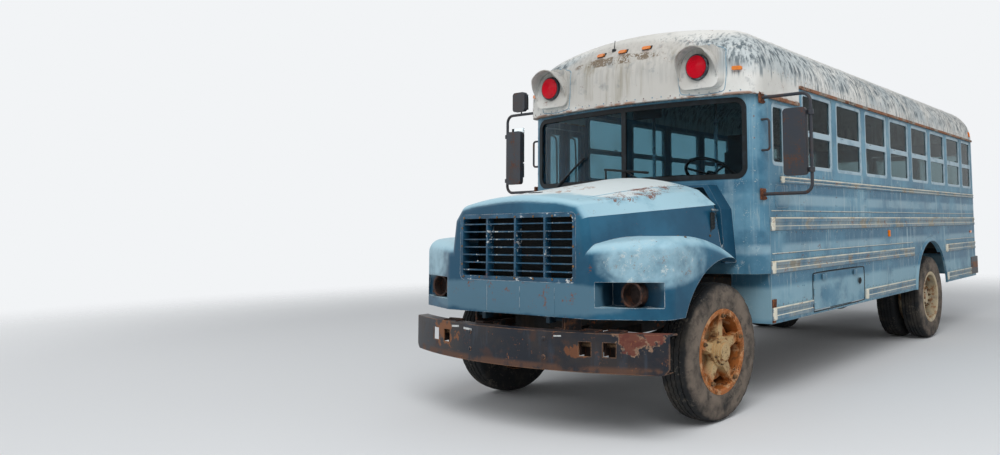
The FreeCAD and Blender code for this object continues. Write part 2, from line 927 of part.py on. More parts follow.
def drip_rails():
    rails = []
    x0 = body_half_width
    x1 = body_half_width + drip_rail_projection
    for side in (1, -1):
        rear = box(x0, x1, section_end_y, rear_corner_y, drip_z - drip_rail_height, drip_z)
        front = box(x0, x1, corner_start_y, section_end_y - rub_rail_end, front_drip_z - drip_rail_height,
                    front_drip_z)
        if side < 0:
            rear = mirror_x(rear)
            front = mirror_x(front)
        rails += [rear, front]
    return Part.makeCompound(rails)


def lamp_pods():
    # Raised panels of the warning lamps, each under a curved brow that is deepest at its top
    pods = []
    y0 = bow_y - header_overhang + pod_setback
    for side in (-1, 1):
        x = side * pod_x
        panel = box(x - pod_half_width, x + pod_half_width, y0, y0 + pod_length, pod_z - pod_half_height,
                    pod_z + pod_half_height)
        pods.append(panel.makeFillet(pod_round,
                                     [e for e in panel.Edges if e.BoundBox.YLength > pod_length / 2]))
        pods.append(lamp_brow(x, y0))
    return fuse(pods)


def lamp_brow(x, y0):
    # A bent sheet round the top of the lamp, its front edge sloping back down both cheeks
    z = pod_z - brow_drop
    front = y0 - brow_reach
    ring = rod(brow_radius, V(x, front, z), V(x, y0 + skin, z))
    ring = ring.cut(rod(brow_radius - brow_sheet, V(x, front - skin, z), V(x, y0 + 2 * skin, z)))
    top = z + brow_radius + skin
    slope = [(front, top), (front, z + brow_radius - brow_cheek), (y0, z - brow_cheek),
             (y0 + skin, z - brow_cheek), (y0 + skin, top)]
    return ring.common(prism_x(slope, x - brow_radius - skin, x + brow_radius + skin))


def marker_lamp(x, z, depth_y):
    # A small amber lamp lying across the front of the roof
    half = marker_length / 2
    lens = box(x - half, x + half, depth_y - marker_length * 2, depth_y + pod_length, z - marker_height / 2,
               z + marker_height / 2)
    edges = [e for e in lens.Edges if e.BoundBox.YLength > pod_length]
    return lens.makeFillet(marker_height / 3, edges)


def marker_lamps():
    # Each lens is cut off a little proud of the roof and back at the roof itself
    reach = marker_length * 2
    y0 = bow_y - header_overhang
    solids = [marker_lamp(share * body_half_width, marker_z, y0) for share in marker_shares]
    for side in (-1, 1):
        solids.append(marker_lamp(side * corner_marker_x_share * body_half_width, corner_marker_z,
                                  y0 + reach))
    skin_form = roof_form(0.0)
    proud = roof_form(0.0)
    proud.translate(V(0, -marker_proud, 0))
    gap = roof_form(0.0)
    gap.translate(V(0, -seat_gap, 0))
    lenses = []
    for solid in solids:
        lens = solid.common(proud).cut(gap).cut(skin_form)
        lenses.append(max(lens.Solids, key=lambda s: s.Volume))
    y = rear_corner_y - side_marker_setback
    x0 = body_half_width + seat_gap
    side_lens = box(x0, x0 + marker_proud / 2, y - marker_length / 2, y + marker_length / 2,
                    side_marker_z - marker_height / 2, side_marker_z + marker_height / 2)
    return lenses + [side_lens, mirror_x(side_lens)]


def lamps():
    pieces = []
    y0 = bow_y - header_overhang + pod_setback - lens_depth
    for side in (-1, 1):
        x = side * pod_x
        pieces.append(rod(lens_radius, V(x, y0, pod_z), V(x, y0 + lens_depth, pod_z)))
        pieces.append(rod(lens_radius, V(x, body_rear_y, rear_lamp_z),
                          V(x, body_rear_y + lens_depth, rear_lamp_z)))
        pieces.append(rod(tail_lamp_radius, V(x, body_rear_y, tail_lamp_z),
                          V(x, body_rear_y + lens_depth, tail_lamp_z)))
    return Part.makeCompound(pieces + marker_lamps())


# Chassis

def channel_y(x_web, side, y0, y1, z0, z1, width, web):
    # A C-section along Y; its flanges point inwards
    x1 = x_web
    x0 = x_web - width
    body = box(x0, x1, y0, y1, z0, z1)
    hollow = box(x0 - web, x1 - web, y0 - web, y1 + web, z0 + web, z1 - web)
    bar = body.cut(hollow)
    return mirror_x(bar) if side < 0 else bar


def chassis_frame():
    y0 = front_end_y + frame_front_gap
    y1 = body_rear_y - wall - frame_rear_clearance
    z0 = frame_top_z - frame_rail_height
    pieces = []
    for side in (1, -1):
        pieces.append(channel_y(frame_half_width, side, y0, y1, z0, frame_top_z, frame_rail_width,
                                frame_rail_web))
    inner = frame_half_width - frame_rail_web
    mid_z = (z0 + frame_top_z) / 2
    spring_in = min(frame_half_width, spring_x_rear - spring_width / 2)
    spring_out = max(frame_half_width, spring_x_rear + spring_width / 2)
    for side in (1, -1):
        for end in (-1, 1):
            y = rear_axle_y + end * rear_spring_length / 2
            hanger = box(spring_in, spring_out, y - eye_radius, y + eye_radius, z0, z0 + hanger_height)
            pieces.append(hanger if side > 0 else mirror_x(hanger))
    for share in crossmember_shares:
        y = y0 + (y1 - y0) * share
        tube = box(-inner, inner, y, y + crossmember_size, mid_z - crossmember_size / 2,
                   mid_z + crossmember_size / 2)
        hollow = box(-inner, inner, y + frame_rail_web, y + crossmember_size - frame_rail_web,
                     mid_z - crossmember_size / 2 + frame_rail_web, mid_z + crossmember_size / 2)
        pieces.append(tube.cut(hollow))
    y_pin = front_end_y + nose_setback + hinge_setback
    reach = frame_half_width + cut_overrun
    bore = rod(hinge_pin_radius + running_gap, V(-reach, y_pin, hinge_z), V(reach, y_pin, hinge_z))
    return fuse(pieces).cut(bore)


def floor_beams():
    beams = []
    y = corner_start_y + beam_width
    half = body_half_width - wall
    z1 = floor_top_z - floor_thickness
    door0, door1 = step_span()
    house0 = rear_axle_y - wheelhouse_length / 2
    house1 = rear_axle_y + wheelhouse_length / 2
    while y < body_rear_y - wall - beam_width:
        left = half
        right = -half
        if y + beam_width > door0 and y < door1 + step_sheet:
            right = -half + 3 * step_depth + step_sheet
        if y + beam_width > house0 and y < house1:
            left = body_half_width - wheelhouse_width
            right = -left
        bar = box(right, left, y, y + beam_width, frame_top_z, z1)
        hollow = box(right, left, y + skin, y + beam_width, frame_top_z + skin, z1 - skin)
        beams.append(bar.cut(hollow))
        y += beam_pitch
    return Part.makeCompound(beams)


def bumper_form(inset):
    # A bowed bar in plan: middle forward, ends swept back
    y_mid = front_end_y + inset
    y_end = y_mid + bumper_bow
    z0 = bumper_bottom_z
    half = bumper_half_width
    outer = Part.Arc(V(-half, y_end, z0), V(0, y_mid, z0), V(half, y_end, z0)).toShape()
    depth = bumper_flange
    inner = Part.Arc(V(half, y_end + depth, z0), V(0, y_mid + depth, z0),
                     V(-half, y_end + depth, z0)).toShape()
    ends = [Part.makeLine(V(half, y_end, z0), V(half, y_end + depth, z0)),
            Part.makeLine(V(-half, y_end + depth, z0), V(-half, y_end, z0))]
    face = Part.Face(Part.Wire([outer, ends[0], inner, ends[1]]))
    return face.extrude(V(0, 0, bumper_top_z - bumper_bottom_z))


def front_bumper():
    block = bumper_form(0.0)
    hollow = bumper_form(bumper_sheet)
    squeeze = box(-bumper_half_width, bumper_half_width, front_end_y,
                  front_end_y + bumper_bow + 3 * bumper_flange,
                  bumper_bottom_z + bumper_sheet, bumper_top_z - bumper_sheet)
    bar = block.cut(hollow.common(squeeze)).cut(rounded_ends())
    hole_z = (bumper_bottom_z + bumper_top_z) / 2 + bumper_hole / 4
    for side in (-1, 1):
        for share in bumper_hole_shares:
            x = side * share * bumper_half_width
            bar = bar.cut(box(x - bumper_hole / 2, x + bumper_hole / 2, front_end_y - cut_overrun,
                              front_end_y + bumper_bow + bumper_sheet * 2, hole_z - bumper_hole / 2,
                              hole_z + bumper_hole / 2))
    return fuse([bar] + bumper_brackets())


def rounded_ends():
    # What is cut away to round the lower corners of the bumper's ends
    x = bumper_half_width - bumper_round * bumper_round_share
    y0 = front_end_y - cut_overrun
    y1 = front_end_y + bumper_bow + 3 * bumper_flange
    z = bumper_bottom_z + bumper_round * bumper_round_share
    block = box(x, bumper_half_width + cut_overrun, y0, y1, bumper_bottom_z - cut_overrun, z)
    corner = block.cut(rod(bumper_round, V(x, y0, z), V(x, y1, z)))
    return corner.fuse(mirror_x(corner))


def bumper_brackets():
    # Plates on the outer faces of the frame rails that carry the bumper
    mount_y = front_end_y + frame_front_gap
    frame_bottom_z = frame_top_z - frame_rail_height
    brackets = []
    for side in (-1, 1):
        low = box(frame_half_width, frame_half_width + bumper_sheet, front_end_y + bumper_bow / 6,
                  mount_y + bracket_length, frame_bottom_z - bracket_height, frame_bottom_z)
        high = box(frame_half_width, frame_half_width + bumper_sheet, mount_y + leaf_gap,
                   mount_y + bracket_length, frame_bottom_z - bracket_height, frame_bottom_z + bracket_height / 2)
        bracket = low.fuse(high)
        brackets.append(bracket if side > 0 else mirror_x(bracket))
    return brackets


def rear_bumper():
    # A deep channel face that wraps round the rear corners
    block = box(-body_half_width - rear_bumper_gap, body_half_width + rear_bumper_gap,
                rear_corner_y - rear_bumper_wrap, rear_end_y, rear_bumper_bottom_z, rear_bumper_top_z)
    tall = rear_bumper_wrap - 2 * skin
    edges = [e for e in block.Edges if e.BoundBox.ZLength > tall and e.BoundBox.YMin > body_rear_y]
    block = block.makeFillet(rear_corner_radius, edges)
    return block.cut(plan_prism(0.0, rear_bumper_bottom_z, rear_bumper_top_z))


# Running gear

def revolve_x(points, x_shift):
    wire = Part.makePolygon([V(x + x_shift, 0, r) for x, r in points + points[:1]])
    return Part.Face(wire).revolve(V(0, 0, 0), V(1, 0, 0), 360)


def tyre(x_mid, y):
    half = tyre_width / 2
    tread = half * tread_half_share
    shoulder_r = tyre_radius - tyre_shoulder / 4
    wall_r = (tyre_radius + bead_radius) / 2
    bead_half = half * bead_share
    edges = [Part.Arc(V(-bead_half, 0, bead_radius), V(-half, 0, wall_r), V(-tread, 0, shoulder_r)).toShape(),
             Part.Arc(V(-tread, 0, shoulder_r), V(0, 0, tyre_radius), V(tread, 0, shoulder_r)).toShape(),
             Part.Arc(V(tread, 0, shoulder_r), V(half, 0, wall_r), V(bead_half, 0, bead_radius)).toShape(),
             Part.makeLine(V(bead_half, 0, bead_radius), V(-bead_half, 0, bead_radius))]
    ring = Part.Face(Part.Wire(edges)).revolve(V(0, 0, 0), V(1, 0, 0), 360)
    ring = ring.cut(rod(rim_flange_radius, V(-bead_half - rim_lip, 0, 0), V(-bead_half, 0, 0)))
    ring = ring.cut(rod(rim_flange_radius, V(bead_half, 0, 0), V(bead_half + rim_lip, 0, 0)))
    ring.translate(V(x_mid, y, axle_z))
    return ring


def rim_ring(x_mid, y):
    half = tyre_width / 2 * bead_share
    lip = rim_flange_radius
    r = bead_radius
    inner = r - rim_depth
    points = [(-half - rim_lip, lip), (-half - rim_lip, inner + rim_depth / 2), (-half, inner),
              (half, inner), (half + rim_lip, inner + rim_depth / 2), (half + rim_lip, lip), (half, lip),
              (half, r), (-half, r), (-half, lip)]
    ring = revolve_x(points, 0)
    ring.translate(V(x_mid, y, axle_z))
    return ring


def spoke(x_mid, y):
    # One tapered spoke, wide and deep at the hub, with the clamp that holds the rim at its tip
    tip = bead_radius - rim_depth / 2
    root = hub_radius / 2
    wires = []
    for z, width, depth, rise in ((root, spoke_root_width, spoke_root_depth, spoke_rise),
                                  (tip, spoke_tip_width, spoke_tip_depth, spoke_rise * 2)):
        x = x_mid + rise
        corners = [V(x - depth / 2, y - width / 2, axle_z + z), V(x + depth / 2, y - width / 3, axle_z + z),
                   V(x + depth / 2, y + width / 3, axle_z + z), V(x - depth / 2, y + width / 2, axle_z + z)]
        wires.append(Part.makePolygon(corners + corners[:1]))
    arm = Part.makeLoft(wires, True, True)
    face_x = x_mid + tyre_width / 2 * bead_share + rim_lip
    clamp = box(face_x - clamp_sheet, face_x, y - clamp_width / 2, y + clamp_width / 2,
                axle_z + tip - clamp_reach,
                axle_z + tip)
    return arm.fuse(clamp)


def spoke_wheel(x_mid, y):
    # Cast hub with five spokes that carry the demountable rim
    pieces = [rim_ring(x_mid, y)]
    hub_face = x_mid + hub_outer
    pieces.append(rod(hub_radius, V(x_mid - hub_inner, y, axle_z), V(hub_face, y, axle_z)))
    pieces.append(rod(hub_flange_radius, V(hub_face, y, axle_z), V(hub_face + hub_step, y, axle_z)))
    pieces.append(rod(hub_cap_radius, V(hub_face, y, axle_z), V(hub_face + hub_cap_length, y, axle_z)))
    for index in range(spoke_count):
        arm = spoke(x_mid, y)
        arm.rotate(V(x_mid, y, axle_z), V(1, 0, 0), spoke_turn * index)
        pieces.append(arm)
    drum_end = x_mid - drum_start + drum_length
    pieces.append(rod(drum_radius, V(x_mid - drum_start, y, axle_z), V(drum_end, y, axle_z)))
    wheel = fuse(pieces)
    bore = rod(spindle_radius + running_gap, V(x_mid - drum_start - cut_overrun, y, axle_z),
               V(hub_face, y, axle_z))
    cave = rod(drum_radius - drum_wall, V(x_mid - drum_start - cut_overrun, y, axle_z),
               V(drum_end - drum_wall, y, axle_z))
    return wheel.cut(cave).cut(bore)


def dual_wheel(y):
    rings = [rim_ring(outer_tyre_x, y), rim_ring(inner_tyre_x, y)]
    # The two discs meet between the tyres
    plane_x = (outer_tyre_x + inner_tyre_x) / 2
    disc = rod(bead_radius - rim_depth / 2, V(plane_x - disc_thickness, y, axle_z),
               V(plane_x + disc_thickness, y, axle_z))
    reach0 = inner_tyre_x
    reach1 = outer_tyre_x
    shell = rod(bead_radius - rim_depth / 2, V(reach0, y, axle_z), V(reach1, y, axle_z))
    shell = shell.cut(rod(bead_radius - rim_depth, V(reach0, y, axle_z), V(reach1, y, axle_z)))
    hub = rod(rear_hub_radius, V(plane_x - rear_drum_length, y, axle_z),
              V(plane_x + rear_hub_length, y, axle_z))
    wheel = fuse(rings + [disc, shell, hub])
    bore = rod(axle_tube_radius + running_gap, V(plane_x - rear_drum_length, y, axle_z),
               V(plane_x + rear_hub_length - hub_cap_length, y, axle_z))
    return wheel.cut(bore)


def front_axle():
    boss_z0 = axle_z - boss_height / 2
    boss_z1 = axle_z + boss_height / 2
    beam_z = axle_z - axle_drop
    half = kingpin_x
    web = beam_size / 2
    points = [(-half, boss_z1), (-half + boss_radius, boss_z1), (-half + axle_arm, beam_z + web),
              (half - axle_arm, beam_z + web),
              (half - boss_radius, boss_z1), (half, boss_z1), (half, boss_z0), (half - boss_radius, boss_z0),
              (half - axle_arm, beam_z - web), (-half + axle_arm, beam_z - web), (-half + boss_radius,
                                                                                  boss_z0), (-half,
                                                                                             boss_z0)]
    beam = prism_y(points, front_axle_y - beam_size / 2, front_axle_y + beam_size / 2)
    for side in (-1, 1):
        beam = beam.fuse(rod(boss_radius, V(side * half, front_axle_y, boss_z0),
                             V(side * half, front_axle_y, boss_z1)))
    for side in (-1, 1):
        beam = beam.cut(rod(kingpin_radius + running_gap, V(side * half, front_axle_y, boss_z0 - boss_height),
                            V(side * half, front_axle_y, boss_z1 + boss_height)))
        # Pads that carry the front springs
        beam = beam.fuse(box(side * spring_x_front - spring_width / 2,
                             side * spring_x_front + spring_width / 2,
                             front_axle_y - beam_size, front_axle_y + beam_size, beam_z + web - seat_pad,
                             beam_z + web + seat_pad))
    return beam.removeSplitter()


def knuckle():
    y = front_axle_y
    x = kingpin_x
    boss_z0 = axle_z - boss_height / 2
    boss_z1 = axle_z + boss_height / 2
    pin = rod(kingpin_radius, V(x, y, boss_z0 - ear_height), V(x, y, boss_z1 + ear_height))
    pieces = [pin]
    for z0, z1 in ((boss_z0 - knuckle_gap - ear_height, boss_z0 - knuckle_gap),
                   (boss_z1 + knuckle_gap, boss_z1 + knuckle_gap + ear_height)):
        pieces.append(rod(boss_radius, V(x, y, z0), V(x, y, z1)))
        pieces.append(box(x, x + yoke_reach, y - boss_radius, y + boss_radius, z0, z1))
    pieces.append(box(x + yoke_reach, x + yoke_reach + yoke_thickness, y - boss_radius, y + boss_radius,
                      boss_z0 - knuckle_gap - ear_height, boss_z1 + knuckle_gap + ear_height))
    pieces.append(rod(spindle_radius, V(x + yoke_reach, y, axle_z),
                      V(front_tyre_x + hub_outer - running_gap, y, axle_z)))
    # Steering arm to the tie rod
    low = boss_z0 - knuckle_gap - ear_height
    pieces.append(box(x - arm_width / 2, x + arm_width / 2, y, y + arm_length, low, low + arm_thickness))
    pieces.append(rod(arm_width / 2, V(x, y + arm_length, low), V(x, y + arm_length, low + arm_thickness)))
    whole = fuse(pieces)
    return whole.cut(rod(ball_radius + running_gap, V(x, y + arm_length, low - cut_overrun),
                         V(x, y + arm_length, low + arm_thickness + cut_overrun)))


def tie_rod():
    boss_z0 = axle_z - boss_height / 2
    low = boss_z0 - knuckle_gap - ear_height
    y = front_axle_y + arm_length
    z = low - knuckle_gap - tie_radius
    pieces = [rod(tie_radius, V(-kingpin_x, y, z), V(kingpin_x, y, z))]
    for side in (-1, 1):
        x = side * kingpin_x
        pieces.append(rod(arm_width / 2, V(x, y, z - tie_radius), V(x, y, z + tie_radius)))
        radius = ball_radius if side > 0 else ball_radius - ball_slack
        pieces.append(rod(radius, V(x, y, z), V(x, y, low + arm_thickness)))
    return fuse(pieces)


def rear_axle():
    plane_x = (outer_tyre_x + inner_tyre_x) / 2
    end = plane_x + rear_hub_length - hub_cap_length - running_gap
    tube = rod(axle_tube_radius, V(-end, rear_axle_y, axle_z), V(end, rear_axle_y, axle_z))
    bulb = Part.makeSphere(banjo_radius, V(0, rear_axle_y, axle_z))
    pieces = [tube, bulb]
    for side in (-1, 1):
        pieces.append(box(side * spring_x_rear - spring_width / 2, side * spring_x_rear + spring_width / 2,
                          rear_axle_y - axle_tube_radius, rear_axle_y + axle_tube_radius,
                          axle_z, axle_z + axle_tube_radius + seat_pad))
    nose = rod(banjo_radius / 2, V(0, rear_axle_y - banjo_radius - pinion_nose, axle_z),
               V(0, rear_axle_y, axle_z))
    return fuse(pieces + [nose])


def leaf_pack(x, y_mid, z_seat, length, eye_z):
    # A stack of leaves, the longest on top, curved up to its eyes
    pieces = []
    for index in range(leaf_count):
        half = length / 2 * (1 - leaf_step_share * (leaf_count - 1 - index))
        rise = (eye_z - z_seat - leaf_count * leaf_thick) * (half / (length / 2)) ** 2
        z = z_seat + index * leaf_thick
        low = Part.Arc(V(x, y_mid - half, z + rise), V(x, y_mid, z), V(x, y_mid + half, z + rise)).toShape()
        high = Part.Arc(V(x, y_mid + half, z + leaf_thick + rise), V(x, y_mid, z + leaf_thick),
                        V(x, y_mid - half, z + leaf_thick + rise)).toShape()
        a = Part.makeLine(V(x, y_mid + half, z + rise), V(x, y_mid + half, z + leaf_thick + rise))
        b = Part.makeLine(V(x, y_mid - half, z + leaf_thick + rise), V(x, y_mid - half, z + rise))
        leaf = Part.Face(Part.Wire([low, a, high, b])).extrude(V(spring_width, 0, 0))
        leaf.translate(V(-spring_width / 2, 0, 0))
        pieces.append(leaf)
    for side in (-1, 1):
        y = y_mid + side * length / 2
        pieces.append(rod(eye_radius, V(x - spring_width / 2, y, eye_z), V(x + spring_width / 2, y, eye_z)))
    return fuse(pieces)


def leaf_springs():
    packs = []
    beam_top = axle_z - axle_drop + beam_size / 2 + seat_pad
    tube_top = axle_z + axle_tube_radius + seat_pad
    eye_z = frame_top_z - frame_rail_height - eye_radius
    for side in (-1, 1):
        packs.append(leaf_pack(side * spring_x_front, front_axle_y, beam_top, front_spring_length, eye_z))
        packs.append(leaf_pack(side * spring_x_rear, rear_axle_y, tube_top, rear_spring_length, eye_z))
    return Part.makeCompound(packs)


def engine():
    block = box(-engine_width / 2, engine_width / 2, engine_front_y, engine_front_y + engine_length,
                engine_bottom_z, engine_bottom_z + engine_height)
    # Mounts that reach the webs of the frame rails
    y = engine_front_y + engine_length / 3
    reach = frame_half_width - frame_rail_web
    z = frame_top_z - frame_rail_height / 2
    mount = box(-reach, reach, y, y + engine_mount, z - engine_mount / 2, z)
    return block.fuse(mount).removeSplitter()


def radiator():
    y1 = engine_front_y - radiator_gap
    return box(-radiator_width / 2, radiator_width / 2, y1 - radiator_depth, y1, frame_top_z,
               frame_top_z + radiator_height)


def driveline():
    y0 = engine_front_y + engine_length
    box_end = y0 + gearbox_length
    z = gearbox_bottom_z + output_height
    gearbox = box(-gearbox_width / 2, gearbox_width / 2, y0, box_end, gearbox_bottom_z,
                  gearbox_bottom_z + gearbox_height)
    nose_y = rear_axle_y - banjo_radius - pinion_nose
    shaft = rod(driveshaft_radius, V(0, box_end - yoke_length, z), V(0, nose_y - yoke_length, axle_z))
    yoke = rod(driveshaft_radius, V(0, nose_y - yoke_length, axle_z), V(0, nose_y, axle_z))
    ball = Part.makeSphere(driveshaft_radius, V(0, nose_y - yoke_length, axle_z))
    return fuse([gearbox, shaft, ball, yoke])


def fuel_tank():
    x0 = -tank_x - tank_width
    block = box(x0, -tank_x, tank_y, tank_y + tank_length, tank_bottom_z, tank_bottom_z + tank_height)
    edges = [e for e in block.Edges if abs(e.Vertexes[0].X - e.Vertexes[-1].X) < skin
             and abs(e.Vertexes[0].Z - e.Vertexes[-1].Z) < skin]
    return block.makeFillet(tank_radius, edges)


def exhaust():
    z = exhaust_z
    x = exhaust_x
    pipe = rod(pipe_radius, V(x, exhaust_front_y, z), V(x, rear_axle_y - wheelhouse_length / 2, z))
    muffler = rod(muffler_radius, V(x, exhaust_front_y + muffler_offset, z),
                  V(x, exhaust_front_y + muffler_offset + muffler_length, z))
    hangers = []
    run = rear_axle_y - wheelhouse_length / 2 - exhaust_front_y
    for share in hanger_shares:
        y = exhaust_front_y + run * share
        hangers.append(box(x - hanger_width / 2, x + hanger_width / 2, y - hanger_width / 2,
                           y + hanger_width / 2,
                           z, frame_top_z - frame_rail_height))
    return fuse([pipe, muffler] + hangers)


# Hood and fenders

def crest_z(y, inset):
    # Height of the fenders' one long arc at a place along the bus
    away = y - (front_end_y + nose_setback + fender_crest_lead)
    return fender_top_z - fender_crest_radius + math.sqrt((fender_crest_radius - inset) ** 2 - away ** 2)


def fender_form(inset):
    # Both fenders as one crowned block, swept back in plan, with rounded crests and front corners
    half = hood_half_width - inset
    y0 = front_end_y + nose_setback + inset
    y1 = front_axle_y + fender_tail
    crest_y = front_end_y + nose_setback + fender_crest_lead
    z0 = hood_bottom_z - (cut_overrun if inset else 0)
    start = V(-half, y0, crest_z(y0, inset))
    end = V(-half, y1, crest_z(y1, inset))
    arc = Part.Arc(start, V(-half, crest_y, crest_z(crest_y, inset)), end).toShape()
    outline = [Part.makeLine(V(-half, y0, z0), start), arc, Part.makeLine(end, V(-half, y1, z0)),
               Part.makeLine(V(-half, y1, z0), V(-half, y0, z0))]
    form = Part.Face(Part.Wire(outline)).extrude(V(2 * half, 0, 0))
    corner_y = y0 + fender_front_sweep
    plan = [(-nose_half_width, y0), (nose_half_width, y0), (half, corner_y), (half, y1), (-half, y1),
            (-half, corner_y)]
    form = form.common(prism_z(plan, z0, fender_top_z + cut_overrun))

    def rounded(bounds):
        outer = bounds.XLength < skin and bounds.YMin < corner_y + skin
        front = bounds.YMax < corner_y + skin and bounds.XLength > skin
        return (outer or front) and bounds.ZMax > z0 + skin and bounds.YMin > y0 - skin

    return form.makeFillet(fender_round - inset, edges_where(form, rounded))


def hood_section(y, half_low, half_mid, half_top, z_low, z_mid, z_top, crown):
    points = [V(-half_low, y, z_low), V(-half_mid, y, z_mid), V(-half_top, y, z_top), V(0, y, crown),
              V(half_top, y, z_top), V(half_mid, y, z_mid), V(half_low, y, z_low)]
    lines = [Part.makeLine(points[0], points[1]), Part.makeLine(points[1], points[2]),
             Part.Arc(points[2], points[3], points[4]).toShape(), Part.makeLine(points[4], points[5]),
             Part.makeLine(points[5], points[6]), Part.makeLine(points[6], points[0])]
    return Part.Wire(lines)


def center_form(inset):
    # The hood itself: a loft from the grille to the cowl, rounded over its shoulders and its nose
    y_rear = body_front_y - hood_rear_gap
    y_nose = front_end_y + nose_setback + inset
    z_low = hood_bottom_z + hood_belt_rise - inset * 2
    rear = hood_section(y_rear, hood_rear_low - inset, hood_rear_mid - inset, hood_rear_top - inset, z_low,
                        hood_rear_mid_z - inset, hood_rear_top_z - inset, hood_top_rear_z - inset)
    front = hood_section(y_nose, nose_half_width - inset, hood_nose_mid - inset, hood_nose_top - inset, z_low,
                         hood_nose_mid_z - inset, hood_nose_top_z - inset, hood_top_front_z - inset)
    form = Part.makeLoft([front, rear], True, True)

    def shoulder(bounds):
        return bounds.YLength > fender_tail and bounds.ZMin > hood_nose_top_z - wall

    def nose(bounds):
        return bounds.YMax < y_nose + wall and bounds.ZMax > z_low + wall

    form = form.makeFillet(shoulder_round - inset, edges_where(form, shoulder))
    return form.makeFillet(nose_round - inset, edges_where(form, nose))


def hood_form(inset):
    return fender_form(inset).fuse(center_form(inset))


def hood():
    outer = hood_form(0.0)
    inner = hood_form(hood_sheet)
    shell = outer.cut(inner)
    y_rear = body_front_y - hood_rear_gap
    # Open at the back of the centre part
    back = box(-hood_rear_low, hood_rear_low, y_rear - hood_sheet * 2, y_rear + hood_sheet, hood_bottom_z,
               crown_z)
    shell = shell.cut(inner.common(back))
    shell = shell.cut(back_opening())
    shell = shell.cut(prism_y(cowl_section(cowl_gap), y_rear, corner_start_y))
    y0 = front_end_y + nose_setback - cut_overrun
    shell = shell.cut(rounded_opening(-grille_half_width, grille_half_width, grille_bottom_z, grille_top_z,
                                      y0, y0 + cut_overrun + hood_sheet * 3, grille_corner))
    for side in (-1, 1):
        shell = shell.cut(rod(front_arch_radius,
                              V(side * (frame_half_width + wall), front_axle_y, front_arch_z),
                              V(side * (hood_half_width + cut_overrun), front_axle_y, front_arch_z)))
        shell = shell.cut(box(min(side * lamp_opening_inner, side * lamp_opening_outer),
                              max(side * lamp_opening_inner, side * lamp_opening_outer),
                              y0, y0 + cut_overrun + fender_front_sweep + wall, lamp_opening_bottom, lamp_opening_top))
    shell = max(shell.Solids, key=lambda s: s.Volume)
    return fuse([shell] + hood_hinges() + lamp_pans())


def hood_hinges():
    # Arms behind the lower front panel that turn on pins through the frame rails
    y_pin = front_end_y + nose_setback + hinge_setback
    y0 = front_end_y + nose_setback + hood_sheet / 2
    arms = []
    for side in (-1, 1):
        x0 = hinge_arm_x
        arm = box(x0, x0 + hinge_arm_width, y0, y_pin, hinge_z - hinge_arm_height / 4,
                  hinge_z + hinge_arm_height * 3 / 4)
        pin = rod(hinge_pin_radius, V(x0, y_pin, hinge_z), V(frame_half_width, y_pin, hinge_z))
        boss = rod(hinge_arm_height / 4, V(x0, y_pin, hinge_z), V(x0 + hinge_arm_width, y_pin, hinge_z))
        whole = fuse([arm, pin, boss])
        arms.append(whole if side > 0 else mirror_x(whole))
    return arms


def lamp_pans():
    # Recessed pans behind the headlamp openings
    y_back = front_end_y + nose_setback + pan_depth
    y0 = front_end_y + nose_setback
    pans = []
    for side in (-1, 1):
        outer = box(lamp_opening_inner - hood_sheet, lamp_opening_outer + hood_sheet, y0, y_back,
                    lamp_opening_bottom - hood_sheet, lamp_opening_top + hood_sheet)
        inner = box(lamp_opening_inner, lamp_opening_outer, y0, y_back - hood_sheet, lamp_opening_bottom,
                    lamp_opening_top)
        pan = outer.cut(inner).common(fender_form(0.0))
        pans.append(pan if side > 0 else mirror_x(pan))
    return pans


def back_opening():
    y_rear = body_front_y - hood_rear_gap
    return box(-hood_rear_low + wall, hood_rear_low - wall, y_rear - hood_sheet * 2,
               front_axle_y + fender_tail + wall,
               0, hood_rear_mid_z)


def grille():
    y0 = front_end_y + nose_setback
    y1 = y0 + hood_sheet
    gap = seat_gap
    half = grille_half_width - gap
    z0 = grille_bottom_z + gap
    z1 = grille_top_z - gap
    outer = rounded_opening(-half, half, z0, z1, y0, y0 + grille_depth, grille_corner)
    inner = rounded_opening(-half + grille_border, half - grille_border, z0 + grille_border,
                            z1 - grille_border,
                            y0 - cut_overrun, y0 + grille_depth + cut_overrun, grille_corner / 2)
    pieces = [outer.cut(inner)]
    pitch = (z1 - z0 - grille_border) / grille_slats
    for index in range(1, grille_slats):
        z = z0 + grille_border / 2 + index * pitch
        pieces.append(box(-half + grille_border / 2, half - grille_border / 2, y0 + hood_sheet,
                          y0 + grille_depth - hood_sheet,
                          z - slat_height / 2, z + slat_height / 2))
    for index in range(grille_bars):
        x = -half + (index + 1) * 2 * half / (grille_bars + 1)
        pieces.append(box(x - bar_width / 2, x + bar_width / 2, y0, y0 + grille_depth,
                          z0 + grille_border / 2, z1 - grille_border / 2))
    return fuse(pieces)


def headlamp_buckets():
    cups = []
    y0 = front_end_y + nose_setback + pan_depth - hood_sheet - bucket_depth
    z = (lamp_opening_bottom + lamp_opening_top) / 2
    x = (lamp_opening_inner + lamp_opening_outer) / 2
    for side in (-1, 1):
        cup = rod(bucket_radius, V(side * x, y0, z), V(side * x, y0 + bucket_depth, z))
        cup = cup.cut(rod(bucket_radius - skin, V(side * x, y0 - skin, z),
                          V(side * x, y0 + bucket_depth - skin, z)))
        cups.append(cup)
    return Part.makeCompound(cups)


def cowl_section(grow):
    low = cowl_half_low + grow
    mid = cowl_half_mid + grow
    top = cowl_half_top + grow
    z0 = cowl_bottom_z - max(grow, 0)
    z1 = cowl_top_z + grow / 2
    return [(-low, z0), (-mid, cowl_mid_z), (-top, z1), (top, z1), (mid, cowl_mid_z), (low, z0)]


def cowl():
    y0 = body_front_y - hood_rear_gap + cowl_gap
    block = prism_y(cowl_section(0.0), y0, corner_start_y)
    block = block.cut(prism_y(cowl_section(-wall), y0 - cut_overrun, corner_start_y + cut_overrun))
    return block.cut(plan_prism(0.0, cowl_bottom_z - wall, crown_z))


# Doors

